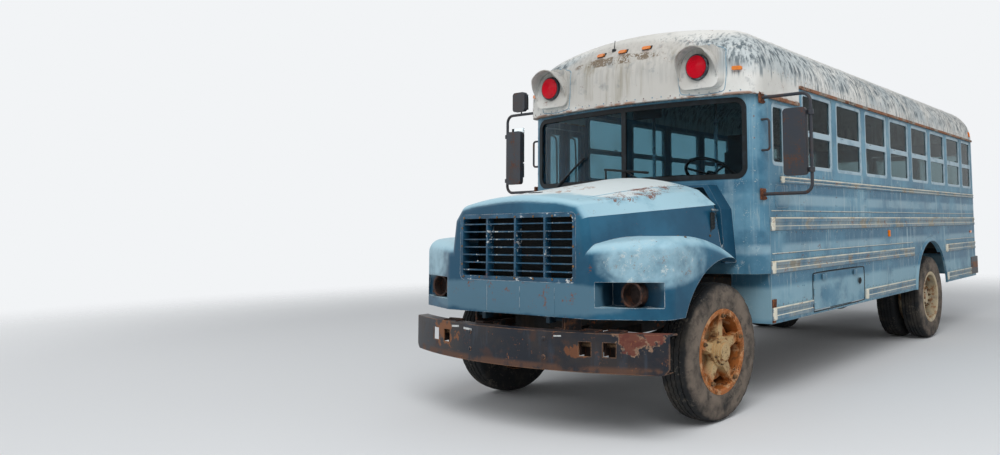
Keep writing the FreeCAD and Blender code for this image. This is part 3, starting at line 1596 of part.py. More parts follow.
def hinge_barrel(z0, z1):
    # A door hinge at the origin: its barrel stands just off the skin, its leaf lies on the door
    barrel = rod(barrel_radius, V(barrel_offset, 0, z0), V(barrel_offset, 0, z1))
    leaf = box(0, barrel_offset, 0, hinge_leaf_length, z0, z1)
    return barrel.fuse(leaf)


def door_hinges(z0, z1):
    # Three hinges spread over the height of a door
    run = z1 - z0
    hinges = []
    for share in hinge_shares:
        z = z0 + run * share
        hinges.append(hinge_barrel(z - hinge_height / 2, z + hinge_height / 2))
    return hinges


def door_leaf(y0, y1, hinge_y):
    x1 = -body_half_width + wall - seat_gap
    x0 = x1 - leaf_thickness
    z0 = entrance_bottom_z + leaf_gap
    z1 = entrance_top_z - leaf_gap
    leaf = box(x0, x1, y0, y1, z0, z1)
    mid = (z0 + z1) / 2
    for a, b in ((z0 + leaf_frame, mid - leaf_frame / 2), (mid + leaf_frame / 2, z1 - leaf_frame)):
        leaf = leaf.cut(box(x0 - wall, x1 + wall, y0 + leaf_frame, y1 - leaf_frame, a, b))
    # The leaf's outer face carries a strap out to the hinge line
    for hinge in door_hinges(z0, z1):
        if hinge_y < (y0 + y1) / 2:
            turned = hinge.mirror(V(0, 0, 0), V(1, 0, 0))
        else:
            turned = hinge.mirror(V(0, 0, 0), V(1, 0, 0)).mirror(V(0, 0, 0), V(0, 1, 0))
        turned.translate(V(-body_half_width, hinge_y, 0))
        leaf = leaf.fuse(turned)
        bounds = turned.BoundBox
        inner_y0 = max(bounds.YMin, y0)
        inner_y1 = min(bounds.YMax, y1)
        leaf = leaf.fuse(box(-body_half_width, x0 + skin, inner_y0, inner_y1, bounds.ZMin, bounds.ZMax))
    return leaf.removeSplitter()


def leaf_panes(y0, y1):
    x1 = -body_half_width + wall - seat_gap - leaf_thickness / 2
    x0 = x1 - glass_thickness
    z0 = entrance_bottom_z + leaf_gap
    z1 = entrance_top_z - leaf_gap
    mid = (z0 + z1) / 2
    panes = []
    for a, b in ((z0 + leaf_frame, mid - leaf_frame / 2), (mid + leaf_frame / 2, z1 - leaf_frame)):
        panes.append(box(x0, x1, y0 + leaf_frame + seat_gap, y1 - leaf_frame - seat_gap, a + seat_gap,
                         b - seat_gap))
    return Part.makeCompound(panes)


def leaf_spans():
    y0, y1 = step_span()
    mid = (y0 + y1) / 2
    return ((y0 + leaf_gap, mid - leaf_gap), (mid + leaf_gap, y1 - leaf_gap))


def emergency_door():
    half = emergency_half_width - leaf_gap
    y1 = body_rear_y
    y0 = body_rear_y - leaf_thickness
    z0 = floor_top_z + leaf_gap
    z1 = emergency_top_z - leaf_gap
    leaf = box(-half, half, y0, y1, z0, z1)
    leaf = leaf.cut(box(-half + emergency_frame, half - emergency_frame, y0 - wall, y1 + wall, sill_z,
                        z1 - emergency_frame))
    leaf = leaf.cut(box(-half + emergency_frame, half - emergency_frame, y0 - wall, y1 + wall,
                        z0 + emergency_frame * 2, sill_z - emergency_frame * 2))
    for hinge in door_hinges(z0, z1):
        hinge.rotate(V(0, 0, 0), V(0, 0, 1), 90)
        hinge = mirror_x(hinge)
        hinge.translate(V(-emergency_half_width, body_rear_y, 0))
        leaf = leaf.fuse(hinge)
    return leaf.removeSplitter()


def emergency_glass():
    half = emergency_half_width - leaf_gap - emergency_frame - seat_gap
    y_mid = body_rear_y - leaf_thickness / 2
    z0 = floor_top_z + leaf_gap
    z1 = emergency_top_z - leaf_gap
    a = box(-half, half, y_mid - glass_thickness / 2, y_mid + glass_thickness / 2, sill_z + seat_gap,
            z1 - emergency_frame - seat_gap)
    b = box(-half, half, y_mid - glass_thickness / 2, y_mid + glass_thickness / 2,
            z0 + emergency_frame * 2 + seat_gap,
            sill_z - emergency_frame * 2 - seat_gap)
    return Part.makeCompound([a, b])


def battery_door():
    x1 = body_half_width
    x0 = x1 - battery_door_thickness
    gap = leaf_gap
    z0 = battery_bottom_z + gap
    z1 = battery_top_z - gap
    leaf = box(x0, x1, battery_front_y + gap, battery_front_y + battery_length - gap, z0, z1)
    for hinge in door_hinges(z0, z1):
        hinge.translate(V(body_half_width, battery_front_y, 0))
        leaf = leaf.fuse(hinge)
    return leaf.removeSplitter()


def battery_box():
    x1 = body_half_width - battery_door_thickness - leaf_gap
    x0 = x1 - battery_depth
    gap = leaf_gap
    outer = box(x0, x1, battery_front_y, battery_front_y + battery_length, battery_bottom_z,
                battery_top_z - gap)
    return outer.cut(box(x0 + skin, x1 + skin, battery_front_y + skin,
                         battery_front_y + battery_length - skin,
                         battery_bottom_z + skin, battery_top_z - gap - skin))


# Inside

def seat_places():
    # As many rows as fit between the driver's section and the rear wall
    first = section_end_y + seat_first_gap
    last = body_rear_y - wall - seat_rear_gap - cushion_depth - seat_air - back_thickness
    rows = int((last - first) / seat_pitch) + 1
    return [first + index * seat_pitch for index in range(rows)]


def seat_pads():
    pads = []
    for side in (-1, 1):
        for y in seat_places():
            x0 = body_half_width - wall - seat_wall_gap - seat_width
            x1 = x0 + seat_width
            base = floor_top_z + cushion_height
            cushion = box(x0, x1, y, y + cushion_depth, base, base + cushion_thickness)
            back = box(x0, x1, y + cushion_depth + seat_air, y + cushion_depth + seat_air + back_thickness,
                       base, floor_top_z + back_height)
            if side < 0:
                cushion = mirror_x(cushion)
                back = mirror_x(back)
            pads += [cushion, back]
    return Part.makeCompound(pads)


def seat_frames():
    frames = []
    for side in (-1, 1):
        for y in seat_places():
            x0 = body_half_width - wall - seat_wall_gap - seat_width
            x1 = x0 + seat_width
            top = floor_top_z + cushion_height - seat_gap
            y1 = y + cushion_depth + seat_air + back_thickness
            rail = box(x0, x1, y, y1, top - seat_tube, top)
            legs = [box(x0, x0 + seat_tube, leg_y, leg_y + seat_tube, floor_top_z, top)
                    for leg_y in (y + seat_tube, y1 - seat_tube)]
            whole = fuse([rail] + legs)
            frames.append(whole if side > 0 else mirror_x(whole))
    return Part.makeCompound(frames)


def driver_seat():
    x0 = steering_x - driver_seat_width / 2
    x1 = steering_x + driver_seat_width / 2
    y0 = driver_seat_y
    base = floor_top_z + driver_cushion_height
    cushion = box(x0, x1, y0, y0 + cushion_depth + wall, base, base + cushion_thickness)
    back = box(x0, x1, y0 + cushion_depth + wall - back_thickness, y0 + cushion_depth + wall, base,
               floor_top_z + driver_back_height)
    post = box(steering_x - seat_tube * 2, steering_x + seat_tube * 2, y0 + wall,
               y0 + cushion_depth - wall, floor_top_z, base)
    return fuse([cushion, back, post])


def dashboard():
    y0 = bow_y
    y1 = front_face_y + wall + dash_depth
    points = [(y0, dash_bottom_z), (y0, dash_top_z), (y1 - dash_depth / 2, dash_top_z),
              (y1, dash_top_z - dash_slope),
              (y1, dash_bottom_z + dash_slope), (y1 - dash_depth / 2, dash_bottom_z)]
    half = body_half_width - wall - dash_gap
    block = prism_x(points, -half + dash_right_gap, half)
    block = block.common(plan_prism(wall + seat_gap, dash_bottom_z, dash_top_z))
    axis = steering_axis()
    centre = V(steering_x, steering_y, steering_z)
    return block.cut(rod(column_radius + running_gap, centre - axis * (column_length + cut_overrun), centre))


def steering_axis():
    tilt = math.radians(column_tilt)
    return V(0, math.sin(tilt), math.cos(tilt))


def steering_wheel():
    axis = steering_axis()
    centre = V(steering_x, steering_y, steering_z)
    rim = Part.makeTorus(steering_radius, steering_rim, centre, axis)
    hub = rod(steering_hub, centre - axis * steering_rim, centre + axis * steering_rim)
    pieces = [rim, hub]
    for turn in (0, 120, 240):
        spoke = box(0, steering_radius, -steering_rim / 2, steering_rim / 2, -steering_rim / 2,
                    steering_rim / 2)
        spoke.rotate(V(0, 0, 0), V(0, 0, 1), 90 + turn)
        spoke.rotate(V(0, 0, 0), V(1, 0, 0), -column_tilt)
        spoke.translate(centre)
        pieces.append(spoke)
    column = rod(column_radius, centre - axis * column_length, centre)
    return fuse(pieces + [column])


# Mirrors

def bent_tube(points, radius, bend):
    # A tube along straight runs joined by round bends
    edges = []
    start = points[0]
    for before, corner, after in zip(points, points[1:], points[2:]):
        into = (corner - before).normalize()
        out = (after - corner).normalize()
        first = corner - into * bend
        last = corner + out * bend
        centre = first + out * bend
        middle = centre + (corner - centre).normalize() * bend
        edges.append(Part.makeLine(start, first))
        edges.append(Part.Arc(first, middle, last).toShape())
        start = last
    edges.append(Part.makeLine(start, points[-1]))
    profile = Part.Wire([Part.makeCircle(radius, points[0], points[1] - points[0])])
    return Part.Wire(edges).makePipeShell([profile], True, False)


def mirror_head(x0, width, y, z0, z1):
    # A mirror's housing, with rounded corners
    head = box(x0, x0 + width, y - mirror_depth, y, z0, z1)
    return head.makeFillet(mirror_round, [e for e in head.Edges if e.BoundBox.YLength > mirror_depth / 2])


def mirror_arm(rise):
    # The looped tube with its clamps and the flat mirror hung from its upright
    x0 = body_half_width - corner_radius / 2
    x1 = mirror_reach
    y = body_front_y + mirror_y
    z0 = mirror_bottom_z + rise
    z1 = mirror_top_z + rise
    pieces = [bent_tube([V(x0, y, z0), V(x1, y, z0), V(x1, y, z1), V(x0, y, z1)], mirror_tube, mirror_bend)]
    head_x = x1 - mirror_tube - mirror_width - mirror_tube
    head_z0 = mirror_head_z0 + rise / 2
    head_z1 = mirror_head_z1 + rise / 2
    pieces.append(mirror_head(head_x, mirror_width, y, head_z0, head_z1))
    for z in (head_z0 + mirror_depth, head_z1 - mirror_depth):
        pieces.append(rod(mirror_tube / 2, V(head_x + mirror_width / 2, y, z), V(x1, y, z)))
        pieces.append(rod(clamp_radius, V(x1, y, z - clamp_length / 2), V(x1, y, z + clamp_length / 2)))
    return pieces


def mirror_left():
    return fuse(mirror_arm(0.0)).cut(plan_prism(0.0, skirt_bottom_z, crown_z))


def mirror_right():
    # The entrance side's arm stands higher and also carries a small second mirror
    y = body_front_y + mirror_y
    pieces = mirror_arm(mirror_rise_right)
    x = mirror_reach - mirror_width
    z = mirror_top_z + mirror_rise_right
    foot_z = z + 2 * mirror_tube
    pieces.append(rod(mirror_tube / 2, V(x, y, z), V(x, y, foot_z + mirror_tube)))
    pieces.append(mirror_head(x - small_head_width / 2, small_head_width, y, foot_z,
                              foot_z + small_head_height))
    whole = fuse(pieces).cut(plan_prism(0.0, skirt_bottom_z, front_drip_z)).cut(roof_form(0.0))
    return mirror_x(max(whole.Solids, key=lambda s: s.Volume))


def mirrors():
    return Part.makeCompound([mirror_left(), mirror_right()])


# Windshield trim, wipers and handles

def bowed_layer(inset0, inset1, z0, z1):
    # The sheet between two outlines of the bowed front
    return plan_prism(inset0, z0, z1).cut(plan_prism(inset1, z0, z1))


def windshield_gasket():
    # Rubber round the windshield: a lap over the wall, a lip into the opening, and the centre divider
    half = windshield_half_width
    z0 = windshield_bottom_z
    z1 = windshield_top_z
    y0 = bow_y - wall
    outer_radius = windshield_radius + gasket_lap
    lap = rounded_opening(-half - gasket_lap, half + gasket_lap, z0 - gasket_lap, z1 + gasket_lap, y0,
                          corner_start_y,
                          outer_radius)
    lip = rounded_opening(-half + seat_gap, half - seat_gap, z0 + seat_gap, z1 - seat_gap, y0, corner_start_y,
                          windshield_radius)
    clear = rounded_opening(-half + gasket_lip, half - gasket_lip, z0 + gasket_lip, z1 - gasket_lip,
                            y0 - wall,
                            corner_start_y + wall, windshield_radius - gasket_lip)
    top = z1 + 2 * gasket_lap
    low = z0 - 2 * gasket_lap
    over = bowed_layer(-gasket_rise, -seat_gap, low, top).common(lap)
    inside = bowed_layer(-gasket_rise, windshield_setback - seat_gap, low, top).common(lip)
    bar = box(-windshield_divider / 2, windshield_divider / 2, y0, corner_start_y, z0 + seat_gap,
              z1 - seat_gap)
    divider = inside.common(bar)
    return fuse([over.cut(clear), inside.cut(clear), divider])


def wiper(share, height_share, turn):
    # A curved blade close to the glass and an arm down to its pivot below the windshield
    half = windshield_half_width
    x = share * half
    z = windshield_bottom_z + (windshield_top_z - windshield_bottom_z) * height_share + gasket_lip
    y0 = bow_y - wall
    blade = box(-wiper_length / 2, wiper_length / 2, y0, front_face_y + wall, -wiper_width / 2,
                wiper_width / 2)
    arm = box(-wiper_length / 2 * wiper_arm_share, 0, y0, front_face_y + wall, -wiper_width / 3,
              wiper_width / 3)
    for bar in (blade, arm):
        bar.rotate(V(0, 0, 0), V(0, 1, 0), -turn)
        bar.translate(V(x, 0, z))
    z0 = windshield_bottom_z - 2 * gasket_lap
    z1 = windshield_top_z
    outer = -gasket_rise - seat_gap
    blade = blade.common(bowed_layer(outer - wiper_blade_depth, outer, z0, z1))
    arm = arm.common(bowed_layer(outer - 2 * wiper_blade_depth, outer - wiper_blade_depth / 2, z0, z1))
    return blade, arm


def wiper_pivot(x):
    z = windshield_bottom_z - gasket_lap - wiper_pivot_drop
    post = rod(wiper_pivot_radius, V(x, bow_y - wall, z), V(x, front_face_y + wall, z))
    layer = bowed_layer(-gasket_rise - seat_gap - 2 * wiper_blade_depth, -seat_gap, z - wall, z + wall)
    return post.common(layer), z


def wipers():
    solids = []
    for share, height_share, turn in wiper_park:
        blade, arm = wiper(share, height_share, turn)
        lean = math.radians(turn)
        z_mid = windshield_bottom_z + (windshield_top_z - windshield_bottom_z) * height_share + gasket_lip
        reach = wiper_length / 2 * wiper_arm_share
        x = share * windshield_half_width - reach * math.cos(lean)
        post, z = wiper_pivot(x)
        y0 = bow_y - wall
        z_end = z_mid - reach * math.sin(lean)
        link = box(x - wiper_width / 2, x + wiper_width / 2, y0, front_face_y + wall,
                   min(z, z_end) - wiper_width / 2,
                   max(z, z_end) + wiper_width / 2)
        outer = -gasket_rise - seat_gap
        link = link.common(bowed_layer(outer - 2 * wiper_blade_depth, outer - wiper_blade_depth / 2,
                                       z - wall, z_end + wall))
        solids.append(fuse([blade, arm, link, post]))
    return Part.makeCompound(solids)


def grab_handles():
    # Bent handles beside the driver's window and beside the entrance
    y = corner_start_y - handle_y
    x0 = body_half_width - corner_radius / 2
    x1 = body_half_width + handle_stand
    tube = bent_tube([V(x0, y, handle_z0), V(x1, y, handle_z0), V(x1, y, handle_z1), V(x0, y, handle_z1)],
                     handle_radius, handle_stand / 2)
    tube = tube.cut(plan_prism(-seat_gap, skirt_bottom_z, crown_z))
    return Part.makeCompound([tube, mirror_x(tube)])


def main():
    os.makedirs("parts", exist_ok=True)
    export("roof", roof())
    export("front_wall", front_wall())
    export("windshield_glass", windshield_glass())
    export("windshield_gasket", windshield_gasket())
    export("wipers", wipers())
    export("side_wall_left", side_wall(False))
    export("side_wall_right", side_wall(True))
    export("skirt_left", skirt(False))
    export("skirt_right", skirt(True))
    export("arch_flares", arch_flares())
    export("rear_wall", rear_wall())
    export("body_floor", body_floor())
    export("window_frames", window_frames())
    export("window_glass", window_glass())
    export("rub_rails", rub_rails())
    export("drip_rails", drip_rails())
    export("lamps", lamps())
    export("chassis_frame", chassis_frame())
    export("floor_beams", floor_beams())
    export("front_bumper", front_bumper())
    export("rear_bumper", rear_bumper())
    export("front_axle", front_axle())
    export("rear_axle", rear_axle())
    export("leaf_springs", leaf_springs())
    export("engine", engine())
    export("radiator", radiator())
    export("driveline", driveline())
    export("fuel_tank", fuel_tank())
    export("exhaust", exhaust())
    export("knuckle_left", knuckle())
    export("knuckle_right", mirror_x(knuckle()))
    export("tie_rod", tie_rod())
    front_wheel = spoke_wheel(front_tyre_x, front_axle_y)
    front_tyre = tyre(front_tyre_x, front_axle_y)
    export("front_wheel_left", front_wheel)
    export("front_wheel_right", mirror_x(front_wheel))
    export("front_tyre_left", front_tyre)
    export("front_tyre_right", mirror_x(front_tyre))
    rear_wheel = dual_wheel(rear_axle_y)
    rear_tyres = Part.makeCompound([tyre(outer_tyre_x, rear_axle_y), tyre(inner_tyre_x, rear_axle_y)])
    export("rear_wheels_left", rear_wheel)
    export("rear_wheels_right", mirror_x(rear_wheel))
    export("rear_tyres_left", rear_tyres)
    export("rear_tyres_right", mirror_x(rear_tyres))
    export("cowl", cowl())
    export("hood", hood())
    export("grille", grille())
    export("headlamp_buckets", headlamp_buckets())
    front_leaf, rear_leaf = leaf_spans()
    door0, door1 = step_span()
    export("entrance_leaf_front", door_leaf(*front_leaf, door0))
    export("entrance_leaf_rear", door_leaf(*rear_leaf, door1))
    export("entrance_glass_front", leaf_panes(*front_leaf))
    export("entrance_glass_rear", leaf_panes(*rear_leaf))
    export("emergency_door", emergency_door())
    export("emergency_glass", emergency_glass())
    export("battery_door", battery_door())
    export("battery_box", battery_box())
    export("seat_pads", seat_pads())
    export("seat_frames", seat_frames())
    export("driver_seat", driver_seat())
    export("dashboard", dashboard())
    export("steering_wheel", steering_wheel())
    export("mirrors", mirrors())
    export("grab_handles", grab_handles())


main()
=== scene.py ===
import logging
import math
from dataclasses import dataclass
from enum import Enum
from typing import Callable, Iterable, Sequence

import bmesh
import bpy
from mathutils import Matrix, Vector
from mathutils.bvhtree import BVHTree


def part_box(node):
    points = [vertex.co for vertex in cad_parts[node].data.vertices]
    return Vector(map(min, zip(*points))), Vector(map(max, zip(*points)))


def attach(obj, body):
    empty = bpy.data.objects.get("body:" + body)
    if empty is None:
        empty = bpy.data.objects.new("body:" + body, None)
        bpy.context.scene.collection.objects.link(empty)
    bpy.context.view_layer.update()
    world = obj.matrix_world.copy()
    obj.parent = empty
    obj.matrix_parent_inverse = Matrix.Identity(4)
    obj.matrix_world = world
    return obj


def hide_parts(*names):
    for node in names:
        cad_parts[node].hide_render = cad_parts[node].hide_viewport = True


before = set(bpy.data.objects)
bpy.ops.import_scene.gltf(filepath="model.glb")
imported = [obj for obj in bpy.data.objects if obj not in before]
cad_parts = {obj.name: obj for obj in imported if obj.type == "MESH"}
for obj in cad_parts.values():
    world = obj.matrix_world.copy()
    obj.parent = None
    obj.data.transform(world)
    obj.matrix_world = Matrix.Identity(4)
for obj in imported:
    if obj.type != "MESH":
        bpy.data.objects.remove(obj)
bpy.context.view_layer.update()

logging.basicConfig(level=logging.INFO, format="%(message)s")
log = logging.getLogger("school_bus")

Point = tuple[float, float, float]
Colour = tuple[float, float, float, float]
Piece = bpy.types.Object
Test = Callable[[Vector, Vector], bool]

SIDES = (("left", 1.0), ("right", -1.0))
ORIGIN: Point = (0.0, 0.0, 0.0)
ACROSS: Point = (1.0, 0.0, 0.0)
REARWARD: Point = (0.0, 1.0, 0.0)
UP: Point = (0.0, 0.0, 1.0)
DOWN: Point = (0.0, 0.0, -1.0)


def shade(code: str) -> Colour:
    """Turns a written colour into linear light.

    Args:
        code: Six hexadecimal digits, red then green then blue.

    Returns:
        Red, green, blue and an alpha of one.
    """
    parts = [int(code[i:i + 2], 16) / 255 for i in (0, 2, 4)]
    line = [p / 12.92 if p <= 0.04045 else ((p + 0.055) / 1.055) ** 2.4 for p in parts]
    return (line[0], line[1], line[2], 1.0)


# Shader effects

class Effect(Enum):
    """The effects that several finishes share, each a node group of its own."""

    CLOUDS = "cloudy_mask"
    STREAKS = "run_down_streaks"
    SPECKS = "chipped_specks"
    BAND = "level_band"
    SKYWARD = "skyward_mask"
    EDGES = "edge_mask"
    PATCH = "ragged_patch"
    GRAIN = "surface_grain"


class Graph:
    """Adds nodes to one tree and feeds their sockets."""

    def __init__(self, tree: bpy.types.NodeTree) -> None:
        """Args: tree: The node tree that is filled."""
        self.tree = tree

    def add(self, kind: str, feeds: dict[int | str, object] | None = None, **settings: object) -> bpy.types.Node:
        """Adds one node.

        Args:
            kind: The node's type, without the word ShaderNode.
            feeds: What goes into its sockets, a value or another node's socket.
            settings: The node's own settings.

        Returns:
            The new node.
        """
        node = self.tree.nodes.new(kind if kind.startswith("Node") else "ShaderNode" + kind)
        for key, value in settings.items():
            setattr(node, key, value)
        for key, value in (feeds or {}).items():
            self.feed(node.inputs[key], value)
        return node

    def feed(self, socket: bpy.types.NodeSocket, value: object) -> None:
        """Links a socket, or sets its value.

        Args:
            socket: The socket that is fed.
            value: Another node's socket, or a plain value.
        """
        if isinstance(value, bpy.types.NodeSocket):
            self.tree.links.new(value, socket)
        else:
            socket.default_value = value

    def math(self, operation: str, *values: object) -> bpy.types.NodeSocket:
        """Returns the result of a Math node with these values."""
        return self.add("Math", dict(enumerate(values)), operation=operation).outputs[0]

    def vector(self, operation: str, *values: object) -> bpy.types.NodeSocket:
        """Returns the result of a Vector Math node, a vector or a number."""
        node = self.add("VectorMath", dict(enumerate(values)), operation=operation)
        return node.outputs["Value" if operation in ("LENGTH", "DOT_PRODUCT") else "Vector"]

    def between(self, value: object, low: object, high: object) -> bpy.types.NodeSocket:
        """Returns a smooth rise from 0 where a value is low to 1 where it is high."""
        feeds = {"Value": value, "From Min": low, "From Max": high}
        return self.add("MapRange", feeds, interpolation_type="SMOOTHSTEP").outputs["Result"]

    def noise(self, place: object, scale: object, seed: object, detail: float = 4.0) -> bpy.types.NodeSocket:
        """Returns a cloudy noise of about 0.3 to 0.7; its seed picks the pattern."""
        feeds = {"Vector": place, "W": seed, "Scale": scale, "Detail": detail, "Roughness": 0.62}
        return self.add("TexNoise", feeds, noise_dimensions="4D").outputs[0]

    def blend(self, share: object, under: object, over: object) -> bpy.types.NodeSocket:
        """Lays one colour over another.

        Args:
            share: How much of the upper colour shows.
            under: The lower colour.
            over: The upper colour.

        Returns:
            The socket that holds the colour.
        """
        node = self.add("Mix", data_type="RGBA")
        for index, value in ((0, share), (6, under), (7, over)):
            self.feed(node.inputs[index], value)
        return node.outputs[2]

    def place(self) -> bpy.types.NodeSocket:
        """Returns the object coordinates' socket."""
        return self.add("TexCoord").outputs["Object"]

    def send(self, result: bpy.types.NodeSocket) -> None:
        """Sends a result out of the group."""
        self.add("NodeGroupOutput", {0: result})


class EffectShop:
    """Builds each shared effect once."""

    def __init__(self) -> None:
        """Builds all the groups."""
        self.groups: dict[Effect, bpy.types.NodeTree] = {}
        for effect in (self.clouds, self.streaks, self.specks, self.band, self.skyward, self.edges, self.patch,
                       self.grain):
            effect()

    def start(self, effect: Effect, inputs: dict[str, float | Point],
              output: str = "Mask") -> tuple[Graph, dict[str, bpy.types.NodeSocket]]:
        """Starts a group.

        Args:
            effect: Which effect it is.
            inputs: Its inputs' names and first values.
            output: Its output's name.

        Returns:
            The group's graph, and its inputs' sockets by name.
        """
        tree = bpy.data.node_groups.new(effect.value, "ShaderNodeTree")
        for name, value in inputs.items():
            kind = "NodeSocketFloat" if isinstance(value, float) else "NodeSocketVector"
            socket = tree.interface.new_socket(name, in_out="INPUT", socket_type=kind)
            socket.default_value = value
        tree.interface.new_socket(output, in_out="OUTPUT", socket_type="NodeSocketFloat")
        self.groups[effect] = tree
        graph = Graph(tree)
        sockets = graph.add("NodeGroupInput").outputs
        return graph, {name: sockets[name] for name in inputs}

    def clouds(self) -> None:
        """Large soft patches."""
        graph, given = self.start(Effect.CLOUDS, {"Scale": 2.0, "Low": 0.45, "High": 0.6, "Seed": 0.0})
        value = graph.noise(graph.place(), given["Scale"], given["Seed"], 6.0)
        graph.send(graph.between(value, given["Low"], given["High"]))

    def streaks(self) -> None:
        """Narrow marks that run down a wall."""
        inputs = {"Across": 25.0, "Down": 2.0, "Low": 0.5, "High": 0.65, "Seed": 0.0}
        graph, given = self.start(Effect.STREAKS, inputs)
        parts = graph.add("SeparateXYZ", {0: graph.place()}).outputs
        stretched = graph.add("CombineXYZ", {
            k: graph.math("MULTIPLY", parts[k], given[name]) for k, name in enumerate(("Across", "Across", "Down"))})
        value = graph.noise(stretched.outputs[0], 1.0, given["Seed"])
        graph.send(graph.between(value, given["Low"], given["High"]))

    def specks(self) -> None:
        """Small chips that gather in clusters."""
        graph, given = self.start(Effect.SPECKS, {"Scale": 60.0, "Amount": 0.3, "Seed": 0.0})
        place = graph.place()
        fine = graph.noise(place, given["Scale"], given["Seed"], 3.0)
        wide = graph.noise(place, graph.math("MULTIPLY", given["Scale"], 0.11), given["Seed"], 3.0)
        value = graph.math("ADD", graph.math("MULTIPLY", fine, 0.5), graph.math("MULTIPLY", wide, 0.5))
        low = graph.math("SUBTRACT", 0.68, graph.math("MULTIPLY", given["Amount"], 0.2))
        graph.send(graph.between(value, low, graph.math("ADD", low, 0.025)))

    def band(self) -> None:
        """A level band between two heights."""
        graph, given = self.start(Effect.BAND, {"Low": 0.0, "High": 1.0, "Soft": 0.1})
        height = graph.add("SeparateXYZ", {0: graph.place()}).outputs[2]
        low, high, soft = given.values()
        rise = graph.between(height, graph.math("SUBTRACT", low, soft), low)
        fall = graph.between(height, high, graph.math("ADD", high, soft))
        graph.send(graph.math("MULTIPLY", rise, graph.math("SUBTRACT", 1.0, fall)))

    def skyward(self) -> None:
        """Faces that look up, where the finishes paint highlight."""
        graph, given = self.start(Effect.SKYWARD, {"Low": 0.3, "High": 0.9})
        height = graph.add("SeparateXYZ", {0: graph.add("TexCoord").outputs["Normal"]}).outputs[2]
        graph.send(graph.between(height, given["Low"], given["High"]))

    def edges(self) -> None:
        """Corners where the coat wears first."""
        graph, given = self.start(Effect.EDGES, {"Radius": 0.006, "Low": 0.02, "High": 0.12})
        soft = graph.add("Bevel", {"Radius": given["Radius"]}, samples=4).outputs[0]
        flat = graph.add("NewGeometry").outputs["Normal"]
        turn = graph.math("SUBTRACT", 1.0, graph.vector("DOT_PRODUCT", soft, flat))
        graph.send(graph.between(turn, given["Low"], given["High"]))

    def patch(self) -> None:
        """A ragged patch round one place."""
        inputs = {"Centre": ORIGIN, "Half": (0.1, 0.1, 0.1), "Ragged": 1.0, "Scale": 12.0, "Seed": 0.0}
        graph, given = self.start(Effect.PATCH, inputs)
        place = graph.place()
        shares = graph.vector("DIVIDE", graph.vector("SUBTRACT", place, given["Centre"]), given["Half"])
        reach = graph.vector("LENGTH", shares)
        wander = graph.math("SUBTRACT", graph.noise(place, given["Scale"], given["Seed"]), 0.5)
        bent = graph.math("ADD", reach, graph.math("MULTIPLY", wander, given["Ragged"]))
        graph.send(graph.math("SUBTRACT", 1.0, graph.between(bent, 0.75, 0.95)))

    def grain(self) -> None:
        """The height of fine grain and of shallow dents, in metres."""
        inputs = {"Fine Scale": 300.0, "Fine Height": 0.0001, "Dent Scale": 4.0, "Dent Height": 0.001, "Seed": 0.0}
        graph, given = self.start(Effect.GRAIN, inputs, "Height")
        place = graph.place()
        fine, dent = (graph.math("MULTIPLY", graph.noise(place, given[kind + " Scale"], given["Seed"], 2.0),
                                 given[kind + " Height"]) for kind in ("Fine", "Dent"))
        graph.send(graph.math("ADD", fine, dent))


# Finishes

@dataclass(frozen=True)
class Mask:
    """Where a coat lies: one effect with its values."""

    effect: Effect
    values: tuple[tuple[str, float | Point], ...]


def mask(effect: Effect, **values: float | Point) -> Mask:
    """Names an effect with its values, whose names start with a small letter."""
    return Mask(effect, tuple((name.capitalize(), value) for name, value in values.items()))


def clouds(scale: float, low: float, high: float, seed: float) -> Mask:
    """Large soft patches where a noise is over low, and full where it is over high."""
    return mask(Effect.CLOUDS, scale=scale, low=low, high=high, seed=seed)


def streaks(across: float, down: float, low: float, high: float, seed: float) -> Mask:
    """Narrow marks that run down; across and down say how fine they are each way."""
    return mask(Effect.STREAKS, across=across, down=down, low=low, high=high, seed=seed)


def specks(scale: float, amount: float, seed: float) -> Mask:
    """Small chips in clusters, their amount from 0 to 1."""
    return mask(Effect.SPECKS, scale=scale, amount=amount, seed=seed)


def band(low: float, high: float, soft: float) -> Mask:
    """A level band between two heights, with soft edges."""
    return mask(Effect.BAND, low=low, high=high, soft=soft)


def skyward(low: float, high: float) -> Mask:
    """Faces that look up, from the normal's height low to high."""
    return mask(Effect.SKYWARD, low=low, high=high)


def edges(radius: float, low: float, high: float) -> Mask:
    """Corners, as far as the radius reaches."""
    return mask(Effect.EDGES, radius=radius, low=low, high=high)


def patch(centre: Point, half: Point, ragged: float, scale: float = 12.0, seed: float = 0) -> Mask:
    """A patch round a centre, half as large as it says, with a ragged edge."""
    return mask(Effect.PATCH, centre=centre, half=half, ragged=ragged, scale=scale, seed=seed)


@dataclass(frozen=True)
class Coat:
    """One colour over what lies under it.

    Attributes:
        colour: The coat's colour.
        rough: Its roughness.
        masks: Where it lies; all of them have to agree.
        amount: How much it covers there.
        lift: How far it stands up, in metres.
    """

    colour: str
    rough: float
    masks: tuple[Mask, ...]
    amount: float = 1.0
    lift: float = 0.0


